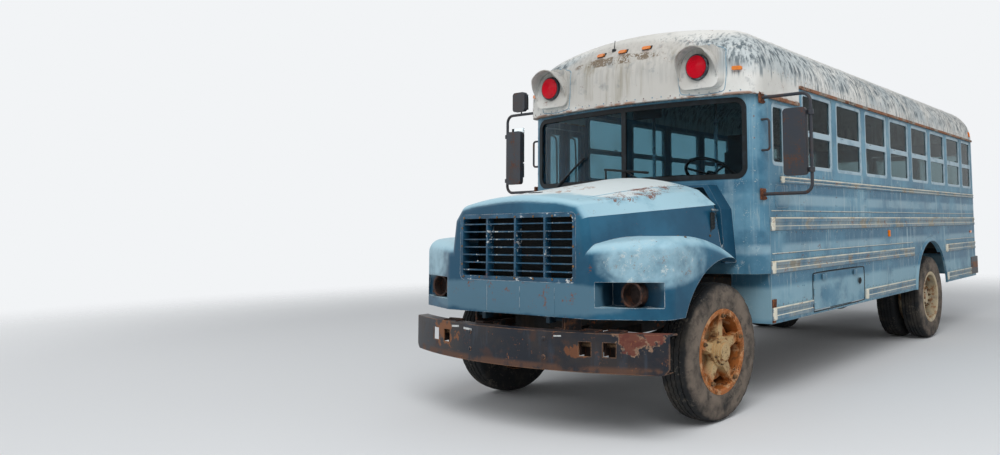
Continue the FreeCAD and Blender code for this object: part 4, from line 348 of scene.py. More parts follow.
@dataclass(frozen=True)
class Finish:
    """One material: a ground colour and the coats over it.

    Attributes:
        name: The material's name.
        colour: The ground colour.
        rough: The ground's roughness.
        coats: What lies over it, from below.
        metallic: The shader's metallic value.
        clear: The weight of a clear coat.
        through: The share of light that passes.
        soften: How far hard corners are rounded to the eye, in metres.
        grain: Fine scale, fine height, dent scale and dent height.
        sheen: The shader's sheen weight.
        lit: The glow's strength, in the ground colour.
        bend: The index of refraction.
    """

    name: str
    colour: str
    rough: float
    coats: tuple[Coat, ...] = ()
    metallic: float = 0.0
    clear: float = 0.0
    through: float = 0.0
    soften: float = 0.0025
    grain: tuple[float, float, float, float] = (260.0, 0.00008, 5.0, 0.0012)
    sheen: float = 0.0
    lit: float = 0.0
    bend: float = 1.33

    def build(self, shop: EffectShop) -> bpy.types.Material:
        """Makes the material.

        Args:
            shop: Where the shared effects are.

        Returns:
            The material.
        """
        material = bpy.data.materials.new(self.name)
        material.use_nodes = True
        material.node_tree.nodes.clear()
        graph = Graph(material.node_tree)
        fine, fine_height, dent, dent_height = self.grain
        height = graph.add("Group", {"Fine Scale": fine, "Fine Height": fine_height, "Dent Scale": dent,
                                     "Dent Height": dent_height}, node_tree=shop.groups[Effect.GRAIN]).outputs[0]
        colour: object = shade(self.colour)
        rough: object = self.rough
        for coat in self.coats:
            share: object = coat.amount
            for part in coat.masks:
                spot = graph.add("Group", dict(part.values), node_tree=shop.groups[part.effect]).outputs[0]
                share = graph.math("MULTIPLY", share, spot)
            colour = graph.blend(share, colour, shade(coat.colour))
            rough = graph.math("ADD", rough, graph.math("MULTIPLY", share, graph.math("SUBTRACT", coat.rough, rough)))
            if coat.lift:
                height = graph.math("ADD", height, graph.math("MULTIPLY", share, coat.lift))
        corner = graph.add("Bevel", {"Radius": self.soften}, samples=4).outputs[0]
        bump = graph.add("Bump", {"Strength": 1.0, "Distance": 1.0, "Height": height, "Normal": corner})
        shader = graph.add("BsdfPrincipled", {
            "Base Color": colour, "Roughness": rough, "Metallic": self.metallic, "Normal": bump.outputs[0],
            "Coat Weight": self.clear, "Coat Roughness": 0.25, "Transmission Weight": self.through,
            "Sheen Weight": self.sheen, "IOR": self.bend})
        if self.lit:
            graph.feed(shader.inputs["Emission Color"], shade(self.colour))
            graph.feed(shader.inputs["Emission Strength"], self.lit)
        graph.add("OutputMaterial", {"Surface": shader.outputs[0]})
        return material


RUST = "7b4427"
BRIGHT_RUST = "8c5838"
DARK_RUST = "3f2519"


def rust_specks(amount: float, seed: float, scale: float = 55.0) -> Coat:
    """Small rusty chips.

    Args:
        amount: How many there are, from 0 to 1.
        seed: Which pattern.
        scale: How fine they are.

    Returns:
        The coat.
    """
    return Coat(RUST, 0.85, (specks(scale, amount, seed),), 0.9, -0.0004)


def wall_paint(name: str, seed: float, rain: float, rust: float) -> Finish:
    """The body's blue, faded in clouds and streaked by rain, with painted shade in bands under the rub rails and
    painted light in pale bands between them.

    Args:
        name: The material's name.
        seed: Which pattern.
        rain: How strong the pale streaks are.
        rust: How many rusty chips there are.

    Returns:
        The finish.
    """
    dark = clouds(1.5, 0.36, 0.54, seed + 9)
    return Finish(name, "4b7a92", 0.45, (
        Coat("6f9bb0", 0.55, (clouds(1.1, 0.43, 0.6, seed),), 0.75),
        Coat("2f5e78", 0.4, (clouds(2.6, 0.5, 0.64, seed + 3),), 0.6),
        # Painted shade: darker bands just under the rub rails, partly a stain there.
        Coat("2b5a75", 0.45, (band(1.24, 1.31, 0.05), dark), 0.75),
        Coat("2b5a75", 0.45, (band(1.64, 1.70, 0.04), dark), 0.7),
        Coat("35647e", 0.45, (band(0.92, 0.99, 0.06), dark), 0.6),
        # Painted light: pale bands across the wall between the rails.
        Coat("a3bcc6", 0.55, (band(1.545, 1.60, 0.03), dark), 0.5),
        Coat("a3bcc6", 0.55, (band(1.17, 1.20, 0.04), dark), 0.45),
        Coat("a9bdc3", 0.7, (streaks(16.0, 0.9, 0.5, 0.66, seed + 1), clouds(1.6, 0.44, 0.6, seed + 2)), rain),
        Coat("cfd2c8", 0.75, (streaks(46.0, 2.4, 0.57, 0.66, seed + 5),
                              clouds(2.4, 0.44, 0.58, seed + 7)), 0.7 * rain),
        Coat("c3c9c4", 0.7, (specks(110.0, 0.42, seed + 4),), 0.45),
        # Painted light: a pale band low on the wall, just above the lowest rail.
        Coat("8fb0bd", 0.55, (band(0.66, 0.86, 0.05), clouds(1.7, 0.36, 0.5, seed + 8)), 0.7),
        rust_specks(rust, seed + 6, 80.0),
        Coat("b9b9ae", 0.7, (edges(0.006, 0.03, 0.2),), 0.5),
    ), clear=0.03, grain=(220.0, 0.00010, 3.0, 0.004))


class Palette:
    """All the finishes of the bus, and which CAD node wears which."""

    finishes: tuple[Finish, ...] = (
        wall_paint("side_blue", 1.0, 0.75, 0.25),
        wall_paint("front_blue", 21.0, 0.35, 0.2),
        wall_paint("rear_blue", 31.0, 0.6, 0.3),
        wall_paint("door_blue", 41.0, 0.2, 0.15),
        Finish("hood_blue", "164862", 0.36, (
            Coat("2d6a87", 0.4, (clouds(1.3, 0.42, 0.62, 4),), 0.6),
            Coat("56788a", 0.5, (patch((0.0, -3.88, 0.9), (1.3, 0.22, 0.14), 0.5, 4.0, 6),), 0.8),
            # Painted highlight with some sun fade: faces that look up turn paler.
            Coat("5f97b0", 0.4, (skyward(0.18, 0.55),), 0.8),
            Coat("b2d4e0", 0.45, (skyward(0.2, 0.8), clouds(2.2, 0.26, 0.5, 5)), 0.85),
            # Painted highlight on the fenders' front tops.
            *(Coat("a9cddb", 0.45, (patch((side, -3.64, 1.15), half, 0.6, 2.5, 1), clouds(3.2, 0.3, 0.6, seed)), 0.6)
              for side in (-1.0, 1.0) for half, seed in (((0.38, 0.5, 0.22), 21), ((0.3, 0.4, 0.17), 22))),
            # Painted highlight along the hood's front top edge.
            Coat("a3c8d6", 0.45, (patch((0.0, -3.80, 1.60), (0.70, 0.18, 0.13), 0.25, 3.0, 3),
                                  skyward(0.05, 0.4)), 0.7),
            # Painted reflection of the sky on the hood's top, partly sun-bleached paint.
            Coat("dfe7e8", 0.6, (skyward(0.8, 0.98), patch((0.0, -3.2, 1.74), (0.95, 0.85, 0.35), 1.0, 2.5, 2)), 0.9),
            # Painted shade inside the headlamp recesses.
            *(Coat("0c2a3b", 0.5, (patch((x, -3.66, 0.939), (0.38, 0.20, 0.2), 0.05),), 0.93) for x in (0.84, -0.84)),
            Coat("9b6a4c", 0.8, (patch((-0.15, -3.5, 1.7), (0.5, 0.4, 0.25), 1.6, 4.0, 7),
                                 streaks(20.0, 20.0, 0.53, 0.6, 3)), 0.75, -0.0002),
            Coat(RUST, 0.85, (patch((0.62, -3.2, 1.66), (0.12, 0.62, 0.2), 1.6, 9.0, 9),
                              specks(90.0, 0.85, 6)), 0.85, -0.0002),
            Coat("d9dcd6", 0.7, (patch((0.98, -3.66, 1.15), (0.26, 0.4, 0.16), 1.8, 9.0, 1),
                                 specks(190.0, 0.62, 1.5)), 0.65),
            Coat("8a6a50", 0.8, (patch((1.02, -3.6, 1.16), (0.3, 0.5, 0.2), 1.8, 9.0, 5),
                                 specks(150.0, 0.5, 8.5)), 0.8),
            Coat("7b4a30", 0.85, (patch((0.0, -3.9, 0.95), (0.75, 0.12, 0.16), 1.0, 6.0, 3),
                                  specks(75.0, 0.45, 4.5)), 0.85),
            Coat("c9ced0", 0.7, (edges(0.008, 0.03, 0.2), clouds(14.0, 0.42, 0.55, 9)), 0.75),
            rust_specks(0.25, 12.0, 110.0),
            # Painted shadow: a near-black band along the hood's lower front edge behind the bumper.
            Coat("12222c", 0.6, (patch((0.0, -3.85, 0.745), (0.75, 0.3, 0.048), 0.0),), 0.95),
        ), clear=0.05, bend=1.28, grain=(240.0, 0.00005, 2.5, 0.0035)),
        Finish("cowl_blue", "16435c", 0.38, (
            Coat("2f6683", 0.45, (clouds(2.0, 0.45, 0.62, 14),), 0.6),
            Coat("9fb3ba", 0.6, (edges(0.006, 0.03, 0.2),), 0.5),
            rust_specks(0.25, 15.0, 90.0),
        ), clear=0.04, bend=1.28),
        Finish("grille_blue", "245470", 0.38, (
            Coat("103247", 0.45, (clouds(5.0, 0.42, 0.58, 11),), 0.7),
            Coat("c9d3d5", 0.6, (edges(0.003, 0.05, 0.25), clouds(9.0, 0.48, 0.56, 12)), 0.7),
            Coat("d8dcda", 0.6, (specks(44.0, 0.45, 17),), 0.8),
            Coat(RUST, 0.85, (specks(90.0, 0.4, 13),), 0.85),
        ), clear=0.1, soften=0.0015),
        Finish("roof_white", "dcdcd8", 0.6, (
            Coat("c2c0b9", 0.65, (clouds(1.6, 0.45, 0.62, 2),), 0.5),
            Coat("94a7b0", 0.7, (band(2.62, 2.84, 0.1), clouds(1.8, 0.42, 0.58, 12)), 0.5),
            Coat("4e5a61", 0.8, (band(2.66, 2.84, 0.08), streaks(22.0, 1.1, 0.47, 0.60, 3),
                                 clouds(2.4, 0.34, 0.5, 6)), 0.9),
            Coat("6c777c", 0.8, (band(2.56, 2.9, 0.06), streaks(40.0, 1.4, 0.51, 0.62, 13)), 0.8),
            Coat("bdbab4", 0.6, (patch((0.0, -2.9, 2.7), (1.35, 0.42, 0.5), 0.3, 3.0, 1),), 0.85),
            Coat("8f8877", 0.75, (patch((0.0, -2.9, 2.66), (1.2, 0.42, 0.3), 0.8, 4.0, 8),
                                  streaks(13.0, 0.9, 0.48, 0.7, 7)), 0.75),
            Coat("6b5a45", 0.85, (patch((-0.05, -2.85, 2.78), (0.62, 0.4, 0.05), 0.9, 9.0, 4),
                                  specks(60.0, 1.0, 5)), 0.85),
            Coat("7c8488", 0.8, (clouds(9.0, 0.56, 0.66, 9),), 0.4),
            Coat(BRIGHT_RUST, 0.85, (band(2.38, 2.397, 0.012), clouds(12.0, 0.44, 0.56, 7)), 0.8),
            rust_specks(0.3, 17.0, 110.0),
            Coat("8d8a84", 0.8, (edges(0.010, 0.03, 0.2),), 0.4),
        ), grain=(180.0, 0.00012, 2.4, 0.005)),
        Finish("rail_grey_lit_tops", "7f9098", 0.55, (
            Coat("4f7890", 0.55, (clouds(2.0, 0.44, 0.58, 3),), 0.85),
            Coat("9c8a68", 0.7, (clouds(3.6, 0.52, 0.62, 8),), 0.6),
            Coat("a9b0ac", 0.65, (streaks(30.0, 4.0, 0.52, 0.64, 2),), 0.5),
            # Painted highlight: cream-white where the rails' top faces catch the light.
            Coat("e2ddca", 0.55, (skyward(0.2, 0.6),), 0.9),
            Coat(BRIGHT_RUST, 0.85, (specks(90.0, 0.5, 9),), 0.85, -0.0003),
        ), soften=0.004, grain=(220.0, 0.0001, 6.0, 0.002)),
        Finish("drip_rust", "8d887e", 0.7, (
            Coat(BRIGHT_RUST, 0.85, (clouds(6.0, 0.4, 0.55, 5),), 0.85),
            Coat(DARK_RUST, 0.9, (specks(60.0, 0.7, 4),), 0.8),
        )),
        Finish("window_frame_pale", "a4bac5", 0.45, (
            Coat("d3dbdc", 0.5, (edges(0.006, 0.02, 0.12),), 0.7),
            Coat("6d8fa1", 0.5, (clouds(6.0, 0.5, 0.6, 6),), 0.5),
            rust_specks(0.2, 22.0, 70.0),
        )),
        Finish("bumper_dark", "20242c", 0.42, (
            Coat("35302f", 0.5, (clouds(2.4, 0.40, 0.56, 1),), 0.85),
            Coat("3b4653", 0.5, (streaks(10.0, 2.0, 0.52, 0.68, 4),), 0.4),
            Coat("4a362f", 0.8, (clouds(5.0, 0.54, 0.64, 2),), 0.6, -0.0004),
            Coat("5f4436", 0.75, (band(0.40, 0.475, 0.03), clouds(7.0, 0.42, 0.54, 12)), 0.8),
            Coat("80573f", 0.75, (band(0.735, 0.80, 0.02), clouds(6.0, 0.42, 0.54, 13)), 0.85),
            Coat("9a7d66", 0.75, (patch((0.98, -3.9, 0.665), (0.115, 0.3, 0.115), 3.0, 16.0, 3),
                                  clouds(24.0, 0.42, 0.5, 6)), 0.85),
            Coat("64382f", 0.8, (patch((0.98, -3.9, 0.67), (0.10, 0.3, 0.10), 3.0, 16.0, 3),), 0.92, -0.0005),
            Coat("9a7d66", 0.75, (patch((1.14, -3.8, 0.695), (0.09, 0.3, 0.085), 3.0, 18.0, 5),
                                  clouds(24.0, 0.42, 0.5, 7)), 0.85),
            Coat("6b3c33", 0.8, (patch((1.14, -3.8, 0.70), (0.08, 0.3, 0.075), 3.0, 18.0, 5),), 0.92, -0.0005),
            Coat("744a32", 0.8, (patch((0.64, -3.9, 0.58), (0.13, 0.3, 0.035), 3.2, 19.0, 6),), 0.8, -0.0005),
            Coat("8a5a3a", 0.8, (patch((-0.72, -3.9, 0.62), (0.16, 0.3, 0.1), 3.4, 13.0, 8),), 0.75, -0.0004),
            Coat("70452f", 0.85, (patch((-0.3, -3.9, 0.66), (0.5, 0.3, 0.12), 1.8, 8.0, 8),
                                  specks(60.0, 0.5, 7)), 0.8, -0.0004),
            Coat("8a5a3c", 0.85, (specks(90.0, 0.4, 7),), 0.8, -0.0003),
            Coat("9a7355", 0.7, (edges(0.010, 0.03, 0.2), clouds(8.0, 0.40, 0.52, 9)), 0.85),
        ), clear=0.05, bend=1.28, grain=(200.0, 0.0001, 4.0, 0.003)),
        Finish("chassis_black", "1d1f20", 0.65, (
            Coat("4a4138", 0.85, (clouds(4.0, 0.46, 0.6, 2),), 0.7),
            Coat(RUST, 0.9, (specks(30.0, 0.6, 3),), 0.8),
            Coat(RUST, 0.85, (edges(0.006, 0.02, 0.14),), 0.5),
        )),
        Finish("bucket_rust", "352a27", 0.7, (
            Coat("7a4a30", 0.85, (edges(0.006, 0.03, 0.2),), 0.8),
            Coat("5d3a28", 0.85, (clouds(14.0, 0.52, 0.62, 2),), 0.6),
            Coat("1a1615", 0.8, (clouds(20.0, 0.5, 0.6, 4),), 0.7),
        )),
        Finish("cast_block", "2a2a2a", 0.7, (
            Coat("4b3a2c", 0.85, (clouds(6.0, 0.46, 0.6, 2),), 0.7),
            Coat("17140f", 0.4, (streaks(12.0, 2.0, 0.5, 0.6, 3),), 0.6),
        ), grain=(180.0, 0.0004, 8.0, 0.002)),
        Finish("radiator_fins", "101416", 0.7, (
            Coat("25282a", 0.8, (streaks(260.0, 0.0, 0.45, 0.55, 1),), 0.7, 0.001),
            Coat("2b2723", 0.85, (clouds(6.0, 0.5, 0.62, 2),), 0.6),
        ), metallic=0.2),
        Finish("exhaust_rust", "5a4334", 0.6, (
            Coat(RUST, 0.85, (clouds(7.0, 0.42, 0.58, 2),), 0.8),
            Coat("8d8378", 0.5, (streaks(9.0, 9.0, 0.56, 0.66, 3),), 0.5),
        ), metallic=0.35),
        Finish("tank_black", "26282a", 0.5, (
            Coat("5a5249", 0.85, (clouds(4.0, 0.48, 0.6, 5),), 0.7),
            rust_specks(0.4, 25.0, 34.0),
        )),
        Finish("floor_rubber", "2a2c2d", 0.7, (
            Coat("6a655b", 0.9, (clouds(2.6, 0.44, 0.6, 5),), 0.6),
            Coat("3f4244", 0.6, (specks(50.0, 0.6, 2),), 0.7),
        )),
        Finish("dusty_glass", "8fa3a6", 0.05, (
            Coat("5f6b66", 0.42, (clouds(3.0, 0.5, 0.7, 3),), 0.4),
            Coat("7d857d", 0.5, (streaks(30.0, 2.0, 0.58, 0.72, 5),), 0.3),
        ), through=1.0, bend=1.12, soften=0.0008, grain=(30.0, 0.00002, 1.5, 0.0004)),
        Finish("windshield_clear", "8ab8ca", 0.03, (
            Coat("62808c", 0.3, (clouds(2.4, 0.5, 0.7, 6),), 0.35),
        ), through=1.0, bend=1.15, soften=0.0008, grain=(30.0, 0.00001, 1.2, 0.0004)),
        Finish("lamp_lenses", "c8141e", 0.14, (
            *(Coat("d9781c", 0.2, (patch(centre, half, 0.0),)) for centre, half in (
                ((0.0, -2.73, 2.86), (0.42, 0.3, 0.12)), ((1.08, -2.6, 2.585), (0.09, 0.3, 0.06)),
                ((-1.08, -2.6, 2.585), (0.09, 0.3, 0.06)), ((1.22, 3.52, 1.234), (0.06, 0.2, 0.05)),
                ((-1.22, 3.52, 1.234), (0.06, 0.2, 0.05)))),
            Coat("6b1512", 0.5, (clouds(20.0, 0.52, 0.66, 2),), 0.35),
        ), clear=0.8, grain=(120.0, 0.0004, 6.0, 0.0)),
        Finish("wheel_cast", "a05f2e", 0.5, (
            Coat("c9a880", 0.5, (clouds(14.0, 0.5, 0.6, 8),), 0.5),
            *(Coat("b39a70", 0.5, (patch((x, -2.98, 0.484), (0.22, 0.27, 0.27), 0.1),), 0.95) for x in (1.2, -1.2)),
            # Painted shade: dark inside the front wheels' recess behind the spokes.
            *(Coat("26170e", 0.85, (patch((x, -2.98, 0.484), (0.215, 0.4, 0.4), 0.05),), 0.95) for x in (0.88, -0.88)),
            Coat("6d4526", 0.85, (clouds(16.0, 0.53, 0.61, 6),), 0.8, -0.0003),
            Coat("3a2418", 0.9, (specks(110.0, 0.6, 4),), 0.8),
            Coat("c98446", 0.6, (edges(0.008, 0.04, 0.25),), 0.7),
        ), soften=0.004, grain=(160.0, 0.0003, 9.0, 0.002)),
        Finish("wheel_dish", "b7a98d", 0.6, (
            Coat("8a8579", 0.65, (clouds(7.0, 0.48, 0.6, 3),), 0.6),
            Coat("8b5a38", 0.85, (clouds(11.0, 0.52, 0.6, 6),), 0.8, -0.0003),
            Coat(BRIGHT_RUST, 0.8, (edges(0.01, 0.03, 0.2),), 0.6),
        ), soften=0.004, grain=(160.0, 0.0003, 9.0, 0.002)),
        Finish("tyre_rubber", "202224", 0.85, (
            Coat("4a453f", 0.95, (clouds(5.0, 0.44, 0.64, 3),), 0.6),
            *(Coat("83766a", 0.95, (patch((side * x, y, 0.484), (0.11, 0.9, 0.9), 0.3, 7.0, 5),
                                    clouds(6.0, 0.3, 0.66, 9)), 0.8)
              for x, y in ((1.20, -2.98), (1.276, 1.66)) for side in (-1.0, 1.0)),
            Coat("7d7468", 0.95, (specks(60.0, 0.6, 5),), 0.3),
            Coat("1b1c1e", 0.8, (clouds(14.0, 0.54, 0.64, 7),), 0.5),
        ), soften=0.002, grain=(400.0, 0.0002, 30.0, 0.0006)),
        Finish("seat_vinyl", "23282a", 0.45, (
            Coat("3c4345", 0.6, (clouds(9.0, 0.48, 0.6, 3),), 0.6),
            Coat("6d7170", 0.7, (specks(80.0, 0.45, 5),), 0.5),
        ), grain=(420.0, 0.0004, 12.0, 0.002)),
        Finish("seat_piping", "151719", 0.55, (
            Coat("3a3e40", 0.65, (clouds(30.0, 0.5, 0.6, 2),), 0.6),
        )),
        Finish("seat_tube", "3a3d3f", 0.5, (
            Coat("6d6a63", 0.7, (edges(0.008, 0.02, 0.12),), 0.6),
            rust_specks(0.3, 27.0),
        )),
        Finish("dash_plastic", "272b2e", 0.6, (
            Coat("5c5c56", 0.85, (clouds(6.0, 0.5, 0.64, 2),), 0.5),
        ), grain=(500.0, 0.0003, 6.0, 0.0008)),
        Finish("black_plastic", "1a1c1e", 0.45, (
            Coat("45474a", 0.7, (clouds(10.0, 0.5, 0.64, 2),), 0.5),
        ), grain=(400.0, 0.0002, 6.0, 0.0004)),
        Finish("mirror_black", "33373e", 0.45, (
            Coat("3f3a39", 0.6, (clouds(7.0, 0.46, 0.6, 2),), 0.6),
            Coat("5a3a2a", 0.8, (specks(90.0, 0.6, 3),), 0.8, -0.0002),
            Coat("6b6259", 0.5, (edges(0.005, 0.04, 0.25), clouds(12.0, 0.46, 0.58, 5)), 0.6),
        )),
        Finish("nut_steel", "4a3c30", 0.6, (
            Coat("8a6b4c", 0.7, (clouds(30.0, 0.46, 0.6, 2),), 0.7),
            Coat("b08a5c", 0.6, (edges(0.004, 0.03, 0.2),), 0.6),
        ), metallic=0.3, grain=(300.0, 0.0002, 30.0, 0.0004)),
        Finish("rivet_pale", "5f8aa0", 0.5, (
            Coat("a9b4b4", 0.6, (clouds(5.0, 0.47, 0.6, 2),), 0.7),
            Coat(RUST, 0.85, (clouds(9.0, 0.52, 0.6, 4),), 0.75),
        ), soften=0.001),
        Finish("rivet_rust", "b9b5aa", 0.6, (
            Coat("8d6a4c", 0.8, (clouds(4.0, 0.5, 0.6, 2),), 0.8),
            Coat("6f7375", 0.7, (clouds(7.0, 0.5, 0.6, 5),), 0.6),
        ), soften=0.001),
        Finish("latch_rubber", "15181a", 0.55, (
            Coat("4b5052", 0.7, (edges(0.004, 0.03, 0.2),), 0.6),
            Coat("3a3d3e", 0.75, (clouds(30.0, 0.5, 0.62, 2),), 0.5),
        ), grain=(400.0, 0.0002, 20.0, 0.0004)),
        Finish("tape_white", "c9cccb", 0.6, (
            Coat("8f9496", 0.7, (clouds(40.0, 0.48, 0.6, 2),), 0.7),
        )),
        Finish("lamp_ring", "3a4048", 0.4, (
            Coat("8a9298", 0.5, (clouds(18.0, 0.5, 0.62, 2),), 0.6),
            Coat(RUST, 0.85, (specks(70.0, 0.6, 4),), 0.8),
        ), metallic=0.3),
        # Painted glow: a faint light of the lens's own colour.
        Finish("lens_red", "b8001c", 0.3, (
            Coat("5e0a10", 0.35, (clouds(16.0, 0.52, 0.68, 2),), 0.4),
        ), bend=1.2, soften=0.001, lit=0.08, grain=(120.0, 0.0003, 6.0, 0.0)),
        Finish("bracket_rust", "55301f", 0.7, (
            Coat(BRIGHT_RUST, 0.8, (clouds(22.0, 0.46, 0.6, 2),), 0.7),
            Coat(DARK_RUST, 0.85, (specks(90.0, 0.7, 3),), 0.8),
        )),
        Finish("chrome_worn", "9aa0a3", 0.22, (
            Coat("6b5f52", 0.6, (specks(80.0, 0.5, 3),), 0.8),
            Coat("7f8588", 0.35, (clouds(12.0, 0.48, 0.6, 2),), 0.6),
        ), metallic=0.9),
        Finish("mirror_glass", "b9c2c6", 0.04, (
            Coat("8d928f", 0.35, (clouds(9.0, 0.52, 0.68, 2),), 0.4),
        ), metallic=1.0, grain=(60.0, 0.00001, 4.0, 0.0001)),
        Finish("plate_bare", "b9bcb8", 0.5, (
            Coat("8d8f8a", 0.6, (clouds(14.0, 0.48, 0.6, 2),), 0.6),
            rust_specks(0.35, 33.0, 90.0),
        )),
        # Painted highlight: the lips' cream stands for light along the rails' tops; the tan patches and rust specks are
        # stains.
        Finish("rail_lip_highlight", "d9d5c5", 0.5, (
            Coat("8fa9b4", 0.55, (clouds(4.0, 0.5, 0.62, 3),), 0.7),
            Coat("b39c74", 0.6, (clouds(6.0, 0.54, 0.64, 5),), 0.7),
            rust_specks(0.5, 37.0, 90.0),
        )),
        # Painted glow: a faint light of the lens's own colour.
        Finish("lens_amber", "d9720f", 0.3, (
            Coat("8f4a10", 0.4, (clouds(30.0, 0.52, 0.64, 2),), 0.5),
        ), bend=1.2, soften=0.001, lit=0.08, grain=(160.0, 0.0003, 6.0, 0.0)),
        Finish("seam_blue", "7f9fb0", 0.55, (
            Coat("4a6f86", 0.6, (clouds(9.0, 0.48, 0.6, 2),), 0.7),
            rust_specks(0.4, 29.0),
        ), soften=0.001),
        Finish("gasket_rubber", "0c1114", 0.6, (
            Coat("2a353c", 0.75, (clouds(10.0, 0.5, 0.62, 2),), 0.4),
        ), grain=(300.0, 0.0001, 8.0, 0.0006)),
    )

    wearers: dict[str, tuple[str, ...]] = {
        "side_blue": ("side_wall_left", "side_wall_right", "skirt_left", "skirt_right", "arch_flares",
                      "entrance_leaf_front", "entrance_leaf_rear"),
        "door_blue": ("battery_door",),
        "front_blue": ("front_wall",),
        "rear_blue": ("rear_wall", "emergency_door"),
        "hood_blue": ("hood",),
        "cowl_blue": ("cowl",),
        "grille_blue": ("grille",),
        "roof_white": ("roof",),
        "rail_grey_lit_tops": ("rub_rails",),
        "drip_rust": ("drip_rails",),
        "window_frame_pale": ("window_frames",),
        "bumper_dark": ("front_bumper", "rear_bumper"),
        "chassis_black": ("chassis_frame", "front_axle", "rear_axle", "leaf_springs", "driveline", "floor_beams",
                          "battery_box", "knuckle_left", "knuckle_right", "tie_rod"),
        "bucket_rust": ("headlamp_buckets",),
        "cast_block": ("engine",),
        "radiator_fins": ("radiator",),
        "exhaust_rust": ("exhaust",),
        "tank_black": ("fuel_tank",),
        "floor_rubber": ("body_floor",),
        "dusty_glass": ("window_glass", "entrance_glass_front", "entrance_glass_rear", "emergency_glass"),
        "windshield_clear": ("windshield_glass",),
        "lamp_lenses": ("lamps",),
        "wheel_cast": ("front_wheel_left", "front_wheel_right"),
        "wheel_dish": ("rear_wheels_left", "rear_wheels_right"),
        "tyre_rubber": ("front_tyre_left", "front_tyre_right", "rear_tyres_left", "rear_tyres_right"),
        "seat_vinyl": ("seat_pads", "driver_seat"),
        "seat_tube": ("seat_frames",),
        "dash_plastic": ("dashboard",),
        "black_plastic": ("steering_wheel",),
        "mirror_black": ("mirrors", "grab_handles"),
        "gasket_rubber": ("windshield_gasket", "wipers"),
    }

    def __init__(self) -> None:
        """Builds every material."""
        shop = EffectShop()
        self.materials = {finish.name: finish.build(shop) for finish in self.finishes}

    def dress_frame(self) -> None:
        """Gives each CAD node its finish, and reports a node that has none."""
        dressed = set()
        for name, nodes in self.wearers.items():
            for node in nodes:
                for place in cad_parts[node].material_slots:
                    place.material = self.materials[name]
                dressed.add(node)
        log.info("dressed %d CAD nodes, without a finish: %s", len(dressed), sorted(set(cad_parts) - dressed))


# Studio

@dataclass
class Studio:
    """The camera where the photographer stood, soft lights and a pale floor.

    Attributes:
        eye: The camera's place.
        yaw: Its turn from the bus's own line, in radians.
        pitch: How far it looks up.
        roll: How far it leans.
        lens: Its focal length on a frame 36 mm wide.
        shift: The picture's shift across and up.
        sky: The sky's strength on the bus.
        key: The key light's power.
        fill: The power of the two others.
    """

    eye: Point = (4.0748, -7.7210, 1.3818)
    yaw: float = 0.584
    pitch: float = 0.080
    roll: float = -0.014
    lens: float = 27.85
    shift: tuple[float, float] = (-0.1985, -0.0647)
    sky: float = 0.46
    key: float = 820.0
    fill: float = 170.0

    def camera(self) -> None:
        """Places the camera."""
        level = math.cos(self.pitch)
        forward = Vector((-math.sin(self.yaw) * level, math.cos(self.yaw) * level, math.sin(self.pitch)))
        right = Vector((math.cos(self.yaw), math.sin(self.yaw), 0.0))
        up = right.cross(forward)
        turned = math.cos(self.roll) * right + math.sin(self.roll) * up
        raised = -math.sin(self.roll) * right + math.cos(self.roll) * up
        data = bpy.data.cameras.new("camera")
        data.lens = self.lens
        data.sensor_width = 36.0
        data.shift_x, data.shift_y = self.shift
        data.clip_end = 500.0
        camera = bpy.data.objects.new("camera", data)
        camera.matrix_world = Matrix.Translation(self.eye) @ Matrix((turned, raised, -forward)).transposed().to_4x4()
        bpy.context.scene.collection.objects.link(camera)
        bpy.context.scene.camera = camera

    def lights(self) -> None:
        """Hangs a large soft key, a fill and a rear light."""
        target = Vector((0.0, -1.0, 1.2))
        for name, place, power in (("key", (5.0, -9.0, 9.5), self.key), ("fill", (-9.0, -8.0, 5.0), self.fill),
                                   ("side", (11.0, 2.0, 6.0), self.fill)):
            data = bpy.data.lights.new(name, "AREA")
            data.size = 7.0
            data.energy = power
            lamp = bpy.data.objects.new(name, data)
            lamp.location = place
            lamp.rotation_euler = (target - Vector(place)).to_track_quat("-Z", "Y").to_euler()
            bpy.context.scene.collection.objects.link(lamp)

    def world(self) -> None:
        """Fills the sky with even light, white to the camera and in reflections."""
        world = bpy.data.worlds.new("sky")
        bpy.context.scene.world = world
        world.use_nodes = True
        world.node_tree.nodes.clear()
        graph = Graph(world.node_tree)
        rays = graph.add("LightPath").outputs
        seen = graph.math("MAXIMUM", rays["Is Camera Ray"], rays["Is Transmission Ray"])
        seen = graph.math("MAXIMUM", seen, rays["Is Glossy Ray"])
        strength = graph.math("ADD", self.sky, graph.math("MULTIPLY", seen, 1.0 - self.sky))
        light = graph.add("Background", {"Color": shade("f2f4f6"), "Strength": strength})
        graph.add("OutputWorld", {"Surface": light.outputs[0]})

    def floor(self) -> None:
        """Lays a plain pale floor that fades out far away and to a camera below it."""
        Bench.clear()
        bpy.ops.mesh.primitive_plane_add(size=240.0, location=ORIGIN)
        floor = bpy.context.object
        floor.name = "floor"
        material = bpy.data.materials.new("pale_floor")
        material.use_nodes = True
        material.node_tree.nodes.clear()
        graph = Graph(material.node_tree)
        reach = graph.vector("LENGTH", graph.vector("SUBTRACT", graph.place(), (0.0, -1.0, 0.0)))
        shader = graph.add("BsdfPrincipled", {"Base Color": shade("e4e6e8"), "Roughness": 0.9})
        away = graph.add("BsdfTransparent")
        below = graph.math("MULTIPLY", graph.add("NewGeometry").outputs["Backfacing"],
                           graph.add("LightPath").outputs["Is Camera Ray"])
        gone = graph.math("MAXIMUM", graph.between(reach, 7.0, 15.0), below)
        mixed = graph.add("MixShader", {0: gone, 1: shader.outputs[0], 2: away.outputs[0]})
        graph.add("OutputMaterial", {"Surface": mixed.outputs[0]})
        floor.data.materials.append(material)

    def build(self) -> None:
        """Sets up camera, lights, sky and floor."""
        self.camera()
        self.lights()
        self.world()
        self.floor()
        bpy.context.scene.view_settings.view_transform = "Standard"
        log.info("studio ready")


# Modelling bench

class Pick(Enum):
    """What is picked in edit mode."""

    VERTS = "VERT"
    EDGES = "EDGE"
    FACES = "FACE"


